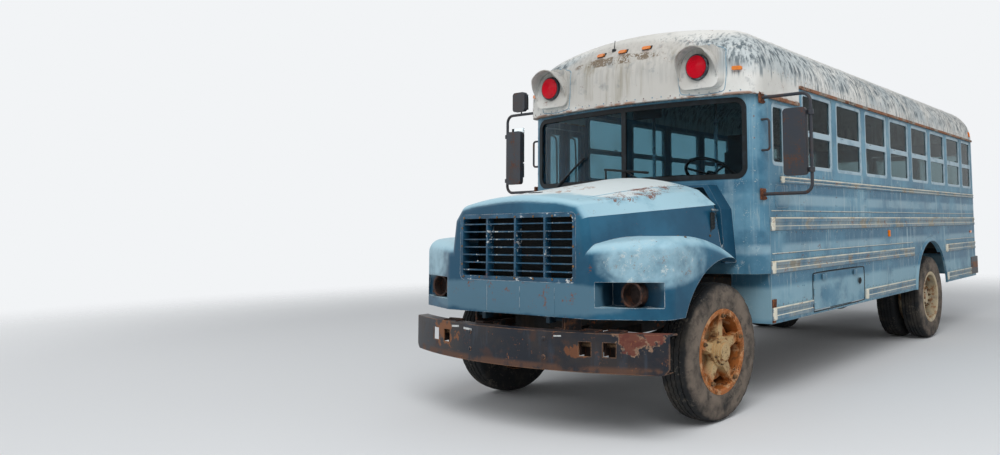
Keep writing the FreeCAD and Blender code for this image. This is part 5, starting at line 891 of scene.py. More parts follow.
class Bench:
    """The modelling bench, where pieces are shaped with Blender's own operators."""

    @staticmethod
    def clear() -> None:
        """Leaves edit mode and deselects everything."""
        if bpy.context.object is not None and bpy.context.object.mode != "OBJECT":
            bpy.ops.object.mode_set(mode="OBJECT")
        bpy.ops.object.select_all(action="DESELECT")

    @staticmethod
    def hold(piece: Piece) -> None:
        """Selects one piece alone and makes it the active one."""
        Bench.clear()
        piece.select_set(True)
        bpy.context.view_layer.objects.active = piece

    @staticmethod
    def named(name: str) -> Piece:
        """Names the primitive just added, settles its place into its mesh, and returns it."""
        piece = bpy.context.object
        piece.name = name
        piece.data.name = name
        bpy.ops.object.transform_apply(location=True, rotation=True, scale=True)
        return piece

    @staticmethod
    def block(name: str, low: Point, high: Point, soft: float = 0.0, steps: int = 2) -> Piece:
        """Adds a block between two corners.

        Args:
            name: The piece's name.
            low: Its lowest corner.
            high: Its highest corner.
            soft: How far its edges are rounded.
            steps: The rounding's steps.

        Returns:
            The piece.
        """
        Bench.clear()
        a, b = Vector(low), Vector(high)
        bpy.ops.mesh.primitive_cube_add(size=1.0, location=(a + b) / 2)
        bpy.context.object.scale = b - a
        piece = Bench.named(name)
        return Bench.bevel(piece, soft, steps) if soft else piece

    @staticmethod
    def drum(name: str, radius: float, start: Point, end: Point, sides: int = 24, soft: float = 0.0,
             steps: int = 2) -> Piece:
        """Adds a round bar between two points.

        Args:
            name: The piece's name.
            radius: Its radius.
            start: The middle of its first end.
            end: The middle of its other end.
            sides: How many sides it has.
            soft: How far its edges are rounded.
            steps: The rounding's steps.

        Returns:
            The piece.
        """
        Bench.clear()
        a, b = Vector(start), Vector(end)
        turn = (b - a).to_track_quat("Z", "Y").to_euler()
        bpy.ops.mesh.primitive_cylinder_add(vertices=sides, radius=radius, depth=(b - a).length,
                                            location=(a + b) / 2, rotation=turn)
        piece = Bench.named(name)
        return Bench.bevel(piece, soft, steps) if soft else piece

    @staticmethod
    def edit(piece: Piece) -> None:
        """Opens a piece in edit mode with nothing picked."""
        Bench.hold(piece)
        bpy.ops.object.mode_set(mode="EDIT")
        bpy.ops.mesh.select_all(action="DESELECT")

    @staticmethod
    def pick(piece: Piece, kind: Pick, test: Test) -> int:
        """Picks elements by place and direction, in edit mode.

        Args:
            piece: The piece that is open.
            kind: What is picked.
            test: Takes an element's middle and its normal, or an edge's direction, and says whether it is picked.

        Returns:
            How many were picked.
        """
        bpy.ops.mesh.select_mode(type=kind.value)
        bpy.ops.mesh.select_all(action="DESELECT")
        mesh = bmesh.from_edit_mesh(piece.data)
        if kind is Pick.VERTS:
            spots = [(vert, vert.co, vert.normal) for vert in mesh.verts]
        elif kind is Pick.EDGES:
            ends = [(edge, edge.verts[0].co, edge.verts[1].co) for edge in mesh.edges]
            spots = [(edge, (a + b) / 2, (b - a).normalized()) for edge, a, b in ends]
        else:
            spots = [(face, face.calc_center_median(), face.normal) for face in mesh.faces]
        picked = [item for item, place, way in spots if test(place, way)]
        for item in picked:
            item.select_set(True)
        mesh.select_flush_mode()
        bmesh.update_edit_mesh(piece.data)
        return len(picked)

    @staticmethod
    def bevel(piece: Piece, width: float, steps: int = 2, test: Test = lambda place, way: True) -> Piece:
        """Rounds edges.

        Args:
            piece: The piece.
            width: The bevel's width.
            steps: Its steps.
            test: Which edges, or all of them.

        Returns:
            The piece.
        """
        Bench.edit(piece)
        if Bench.pick(piece, Pick.EDGES, test):
            bpy.ops.mesh.bevel(offset=width, segments=steps, affect="EDGES", clamp_overlap=True)
        Bench.clear()
        return piece

    @staticmethod
    def inset(piece: Piece, test: Test, width: float, depth: float) -> Piece:
        """Insets faces, and sinks or raises them.

        Args:
            piece: The piece.
            test: Which faces.
            width: How far in.
            depth: How far up, or down where it is negative.

        Returns:
            The piece.
        """
        Bench.edit(piece)
        if Bench.pick(piece, Pick.FACES, test):
            bpy.ops.mesh.inset(thickness=width, depth=0.0)
            bpy.ops.mesh.inset(thickness=abs(depth) * 0.4, depth=depth)
        Bench.clear()
        return piece

    @staticmethod
    def taper(piece: Piece, test: Test, share: Point, centre: Point) -> Piece:
        """Scales some vertices about a point.

        Args:
            piece: The piece.
            test: Which vertices.
            share: The scale along each axis.
            centre: The point that stays.

        Returns:
            The piece.
        """
        Bench.edit(piece)
        if Bench.pick(piece, Pick.VERTS, test):
            bpy.ops.transform.resize(value=share, center_override=centre)
        Bench.clear()
        return piece

    @staticmethod
    def outline(name: str, points: Sequence[Point]) -> Piece:
        """Draws a line of edges from point to point with the extrude key.

        Args:
            name: The piece's name.
            points: The points, in order.

        Returns:
            The piece, open in edit mode.
        """
        Bench.clear()
        bpy.ops.mesh.primitive_plane_add(size=0.001, location=points[0])
        piece = Bench.named(name)
        Bench.edit(piece)
        bpy.ops.mesh.select_mode(type="VERT")
        bpy.ops.mesh.select_all(action="SELECT")
        bpy.ops.mesh.merge(type="CENTER")
        last = Vector(points[0])
        for point in points[1:]:
            bpy.ops.mesh.extrude_region_move(TRANSFORM_OT_translate={"value": Vector(point) - last})
            last = Vector(point)
        return piece

    @staticmethod
    def spun(name: str, points: Sequence[Point], centre: Point, axis: Point, steps: int) -> Piece:
        """Spins an outline once round a line.

        Args:
            name: The piece's name.
            points: The outline; it is closed, or its ends lie on the line.
            centre: A point on the line.
            axis: The line's direction.
            steps: How many steps go round.

        Returns:
            The piece.
        """
        piece = Bench.outline(name, points)
        bpy.ops.mesh.select_all(action="SELECT")
        bpy.ops.mesh.spin(steps=steps, angle=2 * math.pi, center=centre, axis=axis)
        bpy.ops.mesh.select_all(action="SELECT")
        bpy.ops.mesh.remove_doubles(threshold=0.00005)
        bpy.ops.mesh.normals_make_consistent(inside=False)
        Bench.clear()
        return piece

    @staticmethod
    def swept(name: str, points: Sequence[Point], radius: float, sides: int = 3) -> Piece:
        """Makes a bent bar from a smooth line.

        Args:
            name: The piece's name.
            points: The line's control points.
            radius: The bar's radius.
            sides: How round it is.

        Returns:
            The piece.
        """
        curve = bpy.data.curves.new(name, "CURVE")
        curve.dimensions = "3D"
        curve.bevel_depth = radius
        curve.bevel_resolution = sides
        curve.resolution_u = 8
        curve.use_fill_caps = True
        line = curve.splines.new("NURBS")
        line.points.add(len(points) - 1)
        for spot, point in zip(line.points, points):
            spot.co = (*point, 1.0)
        line.order_u = 3
        line.use_endpoint_u = True
        piece = bpy.data.objects.new(name, curve)
        bpy.context.scene.collection.objects.link(piece)
        Bench.hold(piece)
        bpy.ops.object.convert(target="MESH")
        return bpy.context.object

    @staticmethod
    def joined(name: str, pieces: Sequence[Piece]) -> Piece:
        """Joins pieces into one.

        Args:
            name: The new piece's name.
            pieces: What is joined.

        Returns:
            The piece.
        """
        Bench.clear()
        for piece in pieces:
            piece.select_set(True)
        bpy.context.view_layer.objects.active = pieces[0]
        if len(pieces) > 1:
            bpy.ops.object.join()
        whole = bpy.context.object
        whole.name = name
        whole.data.name = name
        return whole

    @staticmethod
    def copies(name: str, model: Piece, places: Iterable[Matrix]) -> Piece:
        """Sets copies of a model in their places, and takes the model away.

        Args:
            name: The new piece's name.
            model: The piece that repeats, about the origin.
            places: Where each copy goes.

        Returns:
            One piece that holds the copies.
        """
        twins = []
        for place in places:
            twin = bpy.data.objects.new(name, model.data.copy())
            twin.data.transform(place)
            if place.determinant() < 0:
                twin.data.flip_normals()
            bpy.context.scene.collection.objects.link(twin)
            twins.append(twin)
        bpy.data.objects.remove(model)
        return Bench.joined(name, twins)

    @staticmethod
    def modified(piece: Piece, kind: str, **settings: object) -> Piece:
        """Adds a modifier and applies it.

        Args:
            piece: The piece.
            kind: The modifier's type.
            settings: Its settings.

        Returns:
            The piece.
        """
        Bench.hold(piece)
        modifier = piece.modifiers.new(kind.lower(), kind)
        for key, value in settings.items():
            setattr(modifier, key, value)
        bpy.ops.object.modifier_apply(modifier=modifier.name)
        return piece


@dataclass
class Part:
    """A sub-assembly, which builds its pieces and dresses them.

    Attributes:
        palette: Where the finishes are.
    """

    palette: Palette

    def dress(self, name: str, pieces: Sequence[Piece], finish: str, slot: str, body: str = "chassis",
              angle: float = 35.0) -> Piece:
        """Joins pieces, gives them a finish and puts them on a body.

        Args:
            name: The new piece's name.
            pieces: What is joined.
            finish: The finish's name.
            slot: The record's slot; it is not used.
            body: The CAD body it rides on.
            angle: Edges sharper than this stay sharp, in degrees.

        Returns:
            The piece.
        """
        piece = Bench.joined(name, pieces)
        Bench.hold(piece)
        bpy.ops.object.shade_smooth_by_angle(angle=math.radians(angle))
        piece.data.materials.clear()
        piece.data.materials.append(self.palette.materials[finish])
        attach(piece, body)
        return piece


def facing(place: Vector, normal: Vector, turn: float = 0.0) -> Matrix:
    """Works out where a copy goes whose own Z is to point along a normal.

    Args:
        place: Its place.
        normal: The direction its Z points.
        turn: Its turn about that direction, in radians.

    Returns:
        The matrix.
    """
    spin = normal.to_track_quat("Z", "Y").to_matrix().to_4x4()
    return Matrix.Translation(place) @ spin @ Matrix.Rotation(turn, 4, "Z")


class Surface:
    """The skin of some CAD nodes, for setting things on it."""

    def __init__(self, *nodes: str) -> None:
        """Args: nodes: The CAD nodes that make up the skin."""
        verts: list[Vector] = []
        faces: list[tuple[int, ...]] = []
        for node in nodes:
            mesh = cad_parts[node].data
            start = len(verts)
            verts += [v.co.copy() for v in mesh.vertices]
            faces += [tuple(i + start for i in p.vertices) for p in mesh.polygons]
        self.tree = BVHTree.FromPolygons(verts, faces)

    def hit(self, start: Point, way: Point) -> tuple[Vector, Vector] | None:
        """Looks along a line for the skin.

        Args:
            start: Where the line starts.
            way: Its direction.

        Returns:
            The place and its normal, or None where the line misses.
        """
        place, normal, _, _ = self.tree.ray_cast(Vector(start), Vector(way).normalized())
        if place is None:
            return None
        return place, -normal if normal.dot(Vector(way)) > 0 else normal

    def hits(self, starts: Iterable[Point], way: Point) -> list[tuple[Vector, Vector]]:
        """Looks along several lines, and returns the place and normal of each that meets the skin."""
        return [hit for hit in (self.hit(start, way) for start in starts) if hit]

    def places(self, starts: Iterable[Point], way: Point) -> list[Matrix]:
        """Returns where copies go that stand on the skin, one for each line that meets it."""
        return [facing(*hit) for hit in self.hits(starts, way)]


def islands(node: str) -> list[tuple[Vector, Vector]]:
    """Lists the boxes of a CAD node's separate pieces.

    Args:
        node: The node.

    Returns:
        Each piece's lowest and highest corner.
    """
    mesh = bmesh.new()
    mesh.from_mesh(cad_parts[node].data)
    bmesh.ops.remove_doubles(mesh, verts=mesh.verts, dist=0.00002)
    left = set(mesh.verts)
    boxes = []
    while left:
        wave, seen = [left.pop()], []
        while wave:
            vert = wave.pop()
            seen.append(vert.co.copy())
            for edge in vert.link_edges:
                other = edge.other_vert(vert)
                if other in left:
                    left.remove(other)
                    wave.append(other)
        boxes.append(tuple(Vector([end(v[k] for v in seen) for k in range(3)]) for end in (min, max)))
    mesh.free()
    return boxes


# Wheels

@dataclass
class Tyre(Part):
    """A worn truck tyre with four zigzag grooves.

    Attributes:
        name: The piece's name.
        centre: The wheel's middle.
        body: The body it turns with.
        node: The CAD node it stands for.
        profile: Half the section, as steps out from the middle and radii.
        steps: How many steps go round.
        zigzag: How far the grooves swing.
        notch: How deep the shoulders are notched.
    """

    name: str
    centre: Point
    body: str
    node: str
    profile: tuple[tuple[float, float], ...] = (
        (0.0120, 0.4836), (0.0140, 0.4710), (0.0200, 0.4710), (0.0220, 0.4830), (0.0520, 0.4796), (0.0540, 0.4660),
        (0.0600, 0.4660), (0.0620, 0.4782), (0.0880, 0.4735), (0.0920, 0.4725), (0.0980, 0.4700), (0.1040, 0.4640),
        (0.1035, 0.4610), (0.1060, 0.4550), (0.1100, 0.4400), (0.1130, 0.4200), (0.1142, 0.4080), (0.1132, 0.4040),
        (0.1140, 0.4000), (0.1144, 0.3750), (0.1130, 0.3450), (0.1090, 0.3180), (0.1030, 0.2960), (0.0985, 0.2860))
    steps: int = 120
    zigzag: float = 0.0035
    notch: float = 0.008

    def build(self) -> None:
        """Spins the section, swings the grooves and notches the shoulders."""
        x, y, z = self.centre
        half = [(x + out, y, z + radius) for out, radius in self.profile]
        other = [(x - out, y, z + radius) for out, radius in self.profile]
        piece = Bench.spun(self.name, half[::-1] + other + [half[-1]], self.centre, ACROSS, self.steps)
        Bench.edit(piece)
        for odd, way in ((0, 1.0), (1, -1.0)):
            for low, high in ((0.011, 0.023), (0.051, 0.063)):
                if Bench.pick(piece, Pick.VERTS, lambda p, n: low < abs(p.x - x) < high and self.step(p) % 2 == odd):
                    bpy.ops.transform.translate(value=(way * self.zigzag, 0.0, 0.0))
        for _, side in SIDES[::-1]:
            if Bench.pick(piece, Pick.VERTS, lambda p, n: 0.097 < side * (p.x - x) < 0.105 and self.step(p) % 4 == 0
                          and math.hypot(p.y - y, p.z - z) > 0.463):
                bpy.ops.transform.translate(value=(-side * self.notch, 0.0, 0.0))
        self.dress(self.name, [piece], "tyre_rubber", "tyre", self.body, 40.0)
        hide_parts(self.node)

    def step(self, place: Vector) -> int:
        """Returns the number of the spin step that a point lies on."""
        return round(math.atan2(place.y - self.centre[1], place.z - self.centre[2]) / (2 * math.pi) * self.steps)


@dataclass
class WheelHardware(Part):
    """Clamp nuts and hub bolts of the front wheels, and the nuts of the rear ones."""

    nut: float = 0.0165
    clamp_reach: float = 0.25
    hub_reach: float = 0.088
    rear_reach: float = 0.108
    front_y: float = -2.98
    rear_y: float = 1.66
    axle_z: float = 0.484

    def nut_model(self, size: float) -> Piece:
        """Makes a nut of this radius with its stud, pointing up Z."""
        nut = Bench.drum("nut", size, (0.0, 0.0, -0.002), (0.0, 0.0, size * 0.9), 6, size * 0.12, 1)
        stud = Bench.drum("stud", size * 0.5, (0.0, 0.0, size * 0.5), (0.0, 0.0, size * 1.7), 10)
        Bench.bevel(stud, size * 0.12, 1, lambda p, way: p.z > size and abs(way.z) < 0.5)
        return Bench.joined("nut", [nut, stud])

    def circle(self, skin: Surface, side: float, y: float, reach: float, count: int, turn: float) -> list[Matrix]:
        """Finds places round a wheel's face.

        Args:
            skin: The wheel's skin.
            side: Which side of the bus, -1 or 1.
            y: The axle's place.
            reach: The circle's radius.
            count: How many there are.
            turn: The first one's angle, in radians.

        Returns:
            The places, each with its Z out of the wheel.
        """
        found = []
        for angle in (turn + 2 * math.pi * i / count for i in range(count)):
            start = (side * 1.5, y + reach * math.sin(angle), self.axle_z + reach * math.cos(angle))
            for place, _ in skin.hits([start], (-side, 0.0, 0.0)):
                found.append(facing(place, Vector((side, 0.0, 0.0)), angle))
        return found

    def build(self) -> None:
        """Builds the hardware of all the wheels."""
        for word, side in SIDES:
            front, rear = "front_wheel_" + word, "rear_wheels_" + word
            skin = Surface(front)
            clamps = self.circle(skin, side, self.front_y, self.clamp_reach, 5, 0.0)
            bolts = self.circle(skin, side, self.front_y, self.hub_reach, 5, math.pi / 5)
            parts = [Bench.copies("nuts", self.nut_model(self.nut), clamps),
                     Bench.copies("bolts", self.nut_model(self.nut * 0.6), bolts)]
            self.dress("front_nuts_" + word, parts, "nut_steel", "wheel_front", front, 30.0)
            lugs = self.circle(Surface(rear), side, self.rear_y, self.rear_reach, 10, 0.2)
            parts = [Bench.copies("nuts", self.nut_model(self.nut), lugs)]
            self.dress("rear_nuts_" + word, parts, "nut_steel", "wheel_rear", rear, 30.0)


# Seats

@dataclass
class Pad:
    """One inflated pad, made by cloth simulation.

    Attributes:
        low: The lowest corner of its space.
        high: The highest corner.
        shrink: How much smaller it starts on each side.
        cap: How far a point may move.
        voxel: The mesh's size.
        pressure: How hard it is inflated.
        frames: How long the simulation runs.
    """

    low: Point
    high: Point
    shrink: float = 0.014
    cap: float = 0.016
    voxel: float = 0.02
    pressure: float = 4.0
    frames: int = 14

    def build(self, name: str) -> Piece:
        """Shapes the pad, inflates it and keeps it in its space.

        Args:
            name: The piece's name.

        Returns:
            The pad.
        """
        low = Vector(self.low) + Vector((self.shrink, self.shrink, self.shrink * 0.4))
        high = Vector(self.high) - Vector((self.shrink, self.shrink, self.shrink))
        piece = Bench.block(name, low, high, min(high - low) * 0.3, 4)
        Bench.modified(piece, "REMESH", mode="VOXEL", voxel_size=self.voxel)
        rest = [v.co.copy() for v in piece.data.vertices]
        cloth = piece.modifiers.new("cloth", "CLOTH")
        cloth.settings.use_pressure = True
        cloth.settings.uniform_pressure_force = self.pressure
        cloth.settings.effector_weights.gravity = 0.0
        cloth.settings.quality = 4
        cloth.point_cache.frame_start = 1
        cloth.point_cache.frame_end = self.frames
        for number in range(1, self.frames + 1):
            bpy.context.scene.frame_set(number)
        Bench.hold(piece)
        bpy.ops.object.modifier_apply(modifier=cloth.name)
        bpy.context.scene.frame_set(1)
        for vert, start in zip(piece.data.vertices, rest):
            move = vert.co - start
            if move.length > self.cap:
                move *= self.cap / move.length
            place = start + move
            for k in range(3):
                place[k] = min(max(place[k], self.low[k]), self.high[k])
            vert.co = place
        return Bench.modified(piece, "SMOOTH", factor=0.5, iterations=2)


def ring_points(low: Point, high: Point, axis: int, level: float, corner: float) -> list[Point]:
    """Lists the points of a rounded frame round a box.

    Args:
        low: The box's lowest corner.
        high: The box's highest corner.
        axis: The axis that the frame is square to.
        level: Its place on that axis.
        corner: How far the corners are cut.

    Returns:
        The points, the first one again at the end.
    """
    u, v = [k for k in range(3) if k != axis]
    spots = [(low[u] + corner, low[v]), (high[u] - corner, low[v]), (high[u], low[v] + corner),
             (high[u], high[v] - corner), (high[u] - corner, high[v]), (low[u] + corner, high[v]),
             (low[u], high[v] - corner), (low[u], low[v] + corner)]
    points = []
    for a, b in spots + spots[:1]:
        spot = [0.0, 0.0, 0.0]
        spot[axis], spot[u], spot[v] = level, a, b
        points.append(tuple(spot))
    return points


@dataclass
class Benches(Part):
    """The passengers' benches: padded cushions and backs with piping.

    Attributes:
        pitch: The step from row to row.
        rows: How many rows there are.
        cushion: The first left cushion's lowest and highest corner.
        back: The first left back's lowest and highest corner.
        piping: The piping's radius.
    """

    pitch: float = 0.69
    rows: int = 8
    cushion: tuple[Point, Point] = ((0.209, -1.546, 1.4105), (1.165, -1.146, 1.52))
    back: tuple[Point, Point] = ((0.209, -1.138, 1.4105), (1.165, -1.058, 1.91))
    piping: float = 0.0045

    def lines(self) -> list[list[Point]]:
        """Lists the piping's lines, two round the cushion and two round the back."""
        c0, c1, b0, b1 = (Vector(v) for v in (*self.cushion, *self.back))
        pull, lean = Vector((0.012, 0.012, 0.0)), Vector((0.012, 0.0, 0.012))
        found = [ring_points(c0 + pull, c1 - pull, 2, z, 0.03) for z in (1.492, 1.43)]
        return found + [ring_points(b0 + lean, b1 - lean, 1, y, 0.04) for y in (b0.y + 0.016, b1.y - 0.016)]

    def build(self) -> None:
        """Builds one bench and copies it to every row on both sides."""
        pads = Bench.joined("pads", [Pad(*self.cushion).build("cushion"), Pad(*self.back).build("backrest")])
        cords = Bench.joined("piping", [Bench.swept("piping", line, self.piping, 1) for line in self.lines()])
        steps = [Matrix.Translation((0.0, row * self.pitch, 0.0)) for row in range(self.rows)]
        for word, side in SIDES:
            places = [Matrix.Scale(side, 4, ACROSS) @ step for step in steps]
            for model, name, finish in ((pads, "bench_pads_", "seat_vinyl"), (cords, "bench_piping_", "seat_piping")):
                own = bpy.data.objects.new("model", model.data.copy())
                bpy.context.scene.collection.objects.link(own)
                rows = Bench.copies("rows", own, places)
                piece = self.dress(name + word, [rows], finish, "seat_cover", angle=60.0)
                if model is pads:
                    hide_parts("seat_pads")
        bpy.data.objects.remove(pads)
        bpy.data.objects.remove(cords)


@dataclass
class DriverSeat(Part):
    """The driver's seat on its sprung pedestal."""

    cushion: tuple[Point, Point] = ((0.322, -2.048, 1.502), (0.798, -1.622, 1.61))
    back: tuple[Point, Point] = ((0.325, -1.69, 1.625), (0.795, -1.612, 2.228))
    folds: int = 8

    def build(self) -> None:
        """Builds the seat's pads and its pedestal."""
        cushion = Pad(*self.cushion, voxel=0.016).build("driver_cushion")
        back = Pad(*self.back, voxel=0.016).build("driver_back")
        Bench.taper(back, lambda p, n: p.z > 2.05, (0.8, 1.0, 1.0), (0.56, -1.65, 2.05))
        for piece in (cushion, back):
            self.dress(piece.name, [piece], "seat_vinyl", "seat_cover", angle=60.0)
            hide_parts("driver_seat")
        parts = [Bench.block("pan", (0.34, -2.03, 1.486), (0.78, -1.625, 1.5015), 0.006)]
        for i in range(self.folds):
            out, z = 0.01 * (i % 2), 1.16 + 0.04 * i
            parts.append(Bench.block("fold", (0.49 - out, -2.0 - out, z), (0.63 + out, -1.70 + out, z + 0.04), 0.012))
        foot = Bench.block("foot", (0.46, -2.02, 1.081), (0.66, -1.68, 1.161))
        Bench.taper(foot, lambda p, n: p.z > 1.12, (0.8, 0.9, 1.0), (0.56, -1.85, 1.161))
        parts.append(Bench.bevel(foot, 0.008))
        piece = self.dress("driver_pedestal", parts, "seat_tube", "seat_steel", angle=30.0)
        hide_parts("driver_seat")


# Skin of the body

@dataclass
class Shell(Part):
    """What the skin's details share: the wall's ends, the posts' places and the rub rails.

    Attributes:
        wall_x: The side wall's place across.
        front_y: The wall's front end.
        rear_y: Its rear end.
        post_y: The first window post.
        pitch: The step from post to post.
        rail_sizes: The rub rails' tops and heights.
    """

    wall_x: float = 1.219
    front_y: float = -2.38
    rear_y: float = 3.70
    post_y: float = -1.846
    pitch: float = 0.71575
    rail_sizes: tuple[tuple[float, float], ...] = ((1.758, 0.052), (1.431, 0.104), (1.091, 0.096), (0.735, 0.096))

    @staticmethod
    def arc(skin: Surface, y: float, reach: int, count: int) -> list[tuple[Vector, Vector]]:
        """Looks at the roof from round about.

        Args:
            skin: The roof's skin.
            y: The arc's place.
            reach: How far it goes to both sides, in degrees.
            count: How many looks there are.

        Returns:
            The places and normals that are met.
        """
        found = []
        for i in range(count):
            angle = math.radians(-reach + 2 * reach * i / (count - 1))
            x, z = math.sin(angle), math.cos(angle)
            found += skin.hits([(2.2 * x, y, 2.2 + 2.2 * z)], (-x, 0.0, -z))
        return found


@dataclass
class Rivets(Shell):
    """Rows of rivets along the rails, the seams, the roof bows and the end walls."""

    size: float = 0.006
    proud: float = 0.0026
    posts: int = 9
    gap: float = 0.085
    crown: float = 3.045

    def model(self) -> Piece:
        """Makes one round head, pointing up Z."""
        head = Bench.drum("rivet", self.size, (0.0, 0.0, -0.001), (0.0, 0.0, self.proud * 0.5), 8)
        return Bench.inset(head, lambda p, n: n.z > 0.9, self.size * 0.3, self.proud * 0.5)

    def steps(self, low: float, high: float) -> list[float]:
        """Lists even places from low to high."""
        count = max(1, round((high - low) / self.gap))
        return [low + (high - low) * i / count for i in range(count + 1)]

    def side_places(self, word: str, side: float) -> list[Matrix]:
        """Finds the rivets of one side wall.

        Args:
            word: The side's name.
            side: Which side of the bus, -1 or 1.

        Returns:
            Their places.
        """
        skin = Surface("side_wall_" + word, "skirt_" + word, "rub_rails", "arch_flares")
        spots = [(y, z) for top, height in self.rail_sizes for z in (top + 0.016, top - height - 0.016)
                 for y in self.steps(self.front_y, self.rear_y)]
        for post in (self.post_y + i * self.pitch for i in range(self.posts)):
            for high, low in ((1.69, 1.46), (1.30, 1.12), (0.97, 0.77)):
                spots += [(post + shift, z) for z in self.steps(low, high) for shift in (-0.014, 0.014)]
        hits = skin.hits([(side * 1.5, y, z) for y, z in spots], (-side, 0.0, 0.0))
        return [facing(*hit) for hit in hits if abs(hit[0].x) > 1.2 and abs(hit[1].x) > 0.9]

    def roof_places(self) -> list[Matrix]:
        """Finds the rivets of the roof's bows and edges."""
        skin = Surface("roof")
        found = [facing(*hit) for i in range(self.posts) for hit in self.arc(skin, self.post_y + i * self.pitch, 86, 47)
                 if 2.56 < hit[0].z < self.crown]
        for _, side in SIDES[::-1]:
            starts = [(side * 1.5, y, 2.585) for y in self.steps(self.front_y, self.rear_y)]
            found += skin.places(starts, (-side, 0.0, 0.0))
        return found

    def end_places(self) -> list[Matrix]:
        """Finds the rivets of the rear wall and of the front cap."""
        skin = Surface("rear_wall", "roof", "front_wall")
        spots = [(x, z, -1.0) for z in self.steps(0.95, 2.45) for x in (-1.10, -0.40, 0.40, 1.10)]
        spots += [(x, z, -1.0) for x in self.steps(-1.06, 1.06) for z in (0.93, 1.68, 2.52)]
        spots += [(x, 2.415, 1.0) for x in self.steps(-1.1, 1.1)]
        spots += [(x, z, 1.0) for z in self.steps(1.2, 2.3) for x in (-1.16, 1.16)]
        return [facing(*hit) for x, z, way in spots for hit in skin.hits([(x, -4.5 * way, z)], (0.0, way, 0.0))
                if hit[0].y * way < -2.3 and abs(hit[1].y) > 0.6]

    def build(self) -> None:
        """Sets all the rivets."""
        rows = [("rivets_" + word, self.side_places(word, side), "rivet_pale", "body_paint") for word, side in SIDES]
        rows += [("roof_rivets", self.roof_places(), "rivet_rust", "roof_paint"),
                 ("end_rivets", self.end_places(), "rivet_pale", "body_paint")]
        for name, places, finish, slot in rows:
            self.dress(name, [Bench.copies(name, self.model(), places)], finish, slot, angle=50.0)
            log.info("%s: %d", name, len(places))


# Front

@dataclass
class HoodDetail(Part):
    """Creases, the slot, the latches and the bolts of the tilting hood.

    Attributes:
        crease: The creases' points from the grille back to the wipers, across and along.
        bead: The creases' radius.
        slot_y: The slot's place.
    """

    crease: tuple[tuple[float, float], ...] = (
        (0.50, -3.80), (0.50, -3.60), (0.515, -3.35), (0.545, -3.10), (0.60, -2.90), (0.66, -2.76))
    bead: float = 0.007
    slot_y: float = -3.70

    def build(self) -> None:
        """Builds the hood's details, which tilt with it."""
        skin = Surface("hood")
        lines = []
        for _, side in SIDES[::-1]:
            hits = skin.hits([(side * x, y, 2.6) for x, y in self.crease], DOWN)
            points = [tuple(place - normal * self.bead * 0.45) for place, normal in hits]
            lines.append(Bench.swept("crease", points, self.bead))
        self.dress("hood_creases", lines, "hood_blue", "body_paint", "hood", 50.0)
        rim = Bench.drum("rim", 0.026, (0.0, 0.0, -0.001), (0.0, 0.0, 0.0025), 28)
        Bench.taper(rim, lambda p, n: True, (2.6, 1.0, 1.0), ORIGIN)
        Bench.inset(rim, lambda p, n: n.z > 0.9, 0.007, -0.002)
        slot = Bench.copies("slot", rim, skin.places([(0.0, self.slot_y, 2.6)], DOWN))
        self.dress("hood_slot", [slot], "gasket_rubber", "gasket_rubber", "hood")
        for word, side in SIDES:
            self.latch(word, side, skin.hit((side * 1.6, -2.80, 1.42), (-side, 0.0, 0.0))[0].x)
        self.bolts(skin)

    def latch(self, word: str, side: float, x: float) -> None:
        """Makes the rubber latch at the rear edge of one side.

        Args:
            word: The side's name.
            side: Which side of the bus, -1 or 1.
            x: The skin's place across.
        """
        strap = Bench.block("strap", (x - 0.001, -2.835, 1.345), (x + side * 0.014, -2.785, 1.475), 0.005)
        ribs = [Bench.block("rib", (x, -2.832, z), (x + side * 0.018, -2.788, z + 0.008))
                for z in (1.365 + 0.022 * i for i in range(5))]
        out = x + side * 0.028
        grips = [Bench.drum("knob", 0.009, (x, -2.81, 1.49), (x + side * 0.03, -2.81, 1.49), 16, 0.003),
                 Bench.drum("grip", 0.010, (out, -2.85, 1.492), (out, -2.77, 1.488), 16, 0.003)]
        self.dress("latch_grip_" + word, grips, "chrome_worn", "body_paint", "hood")
        foot = Bench.block("foot", (x - 0.001, -2.84, 1.318), (x + side * 0.008, -2.78, 1.35), 0.003)
        self.dress("hood_latch_" + word, [strap, foot] + ribs, "latch_rubber", "gasket_rubber", "hood")

    def bolts(self, skin: Surface) -> None:
        """Sets bolts along the fenders' inner flange.

        Args:
            skin: The hood's skin.
        """
        hits = [hit for _, side in SIDES[::-1]
                for hit in skin.hits([(side * 1.6, y, 1.30) for y in (-3.45, -3.15, -2.85)], (-side, 0.0, 0.0))
                if hit[0].x * side > 0.4]
        head = Bench.drum("bolt", 0.010, (0.0, 0.0, -0.001), (0.0, 0.0, 0.006), 6, 0.0015, 1)
        bolts = Bench.copies("bolts", head, [facing(*hit) for hit in hits])
        self.dress("hood_bolts", [bolts], "nut_steel", "body_paint", "hood")


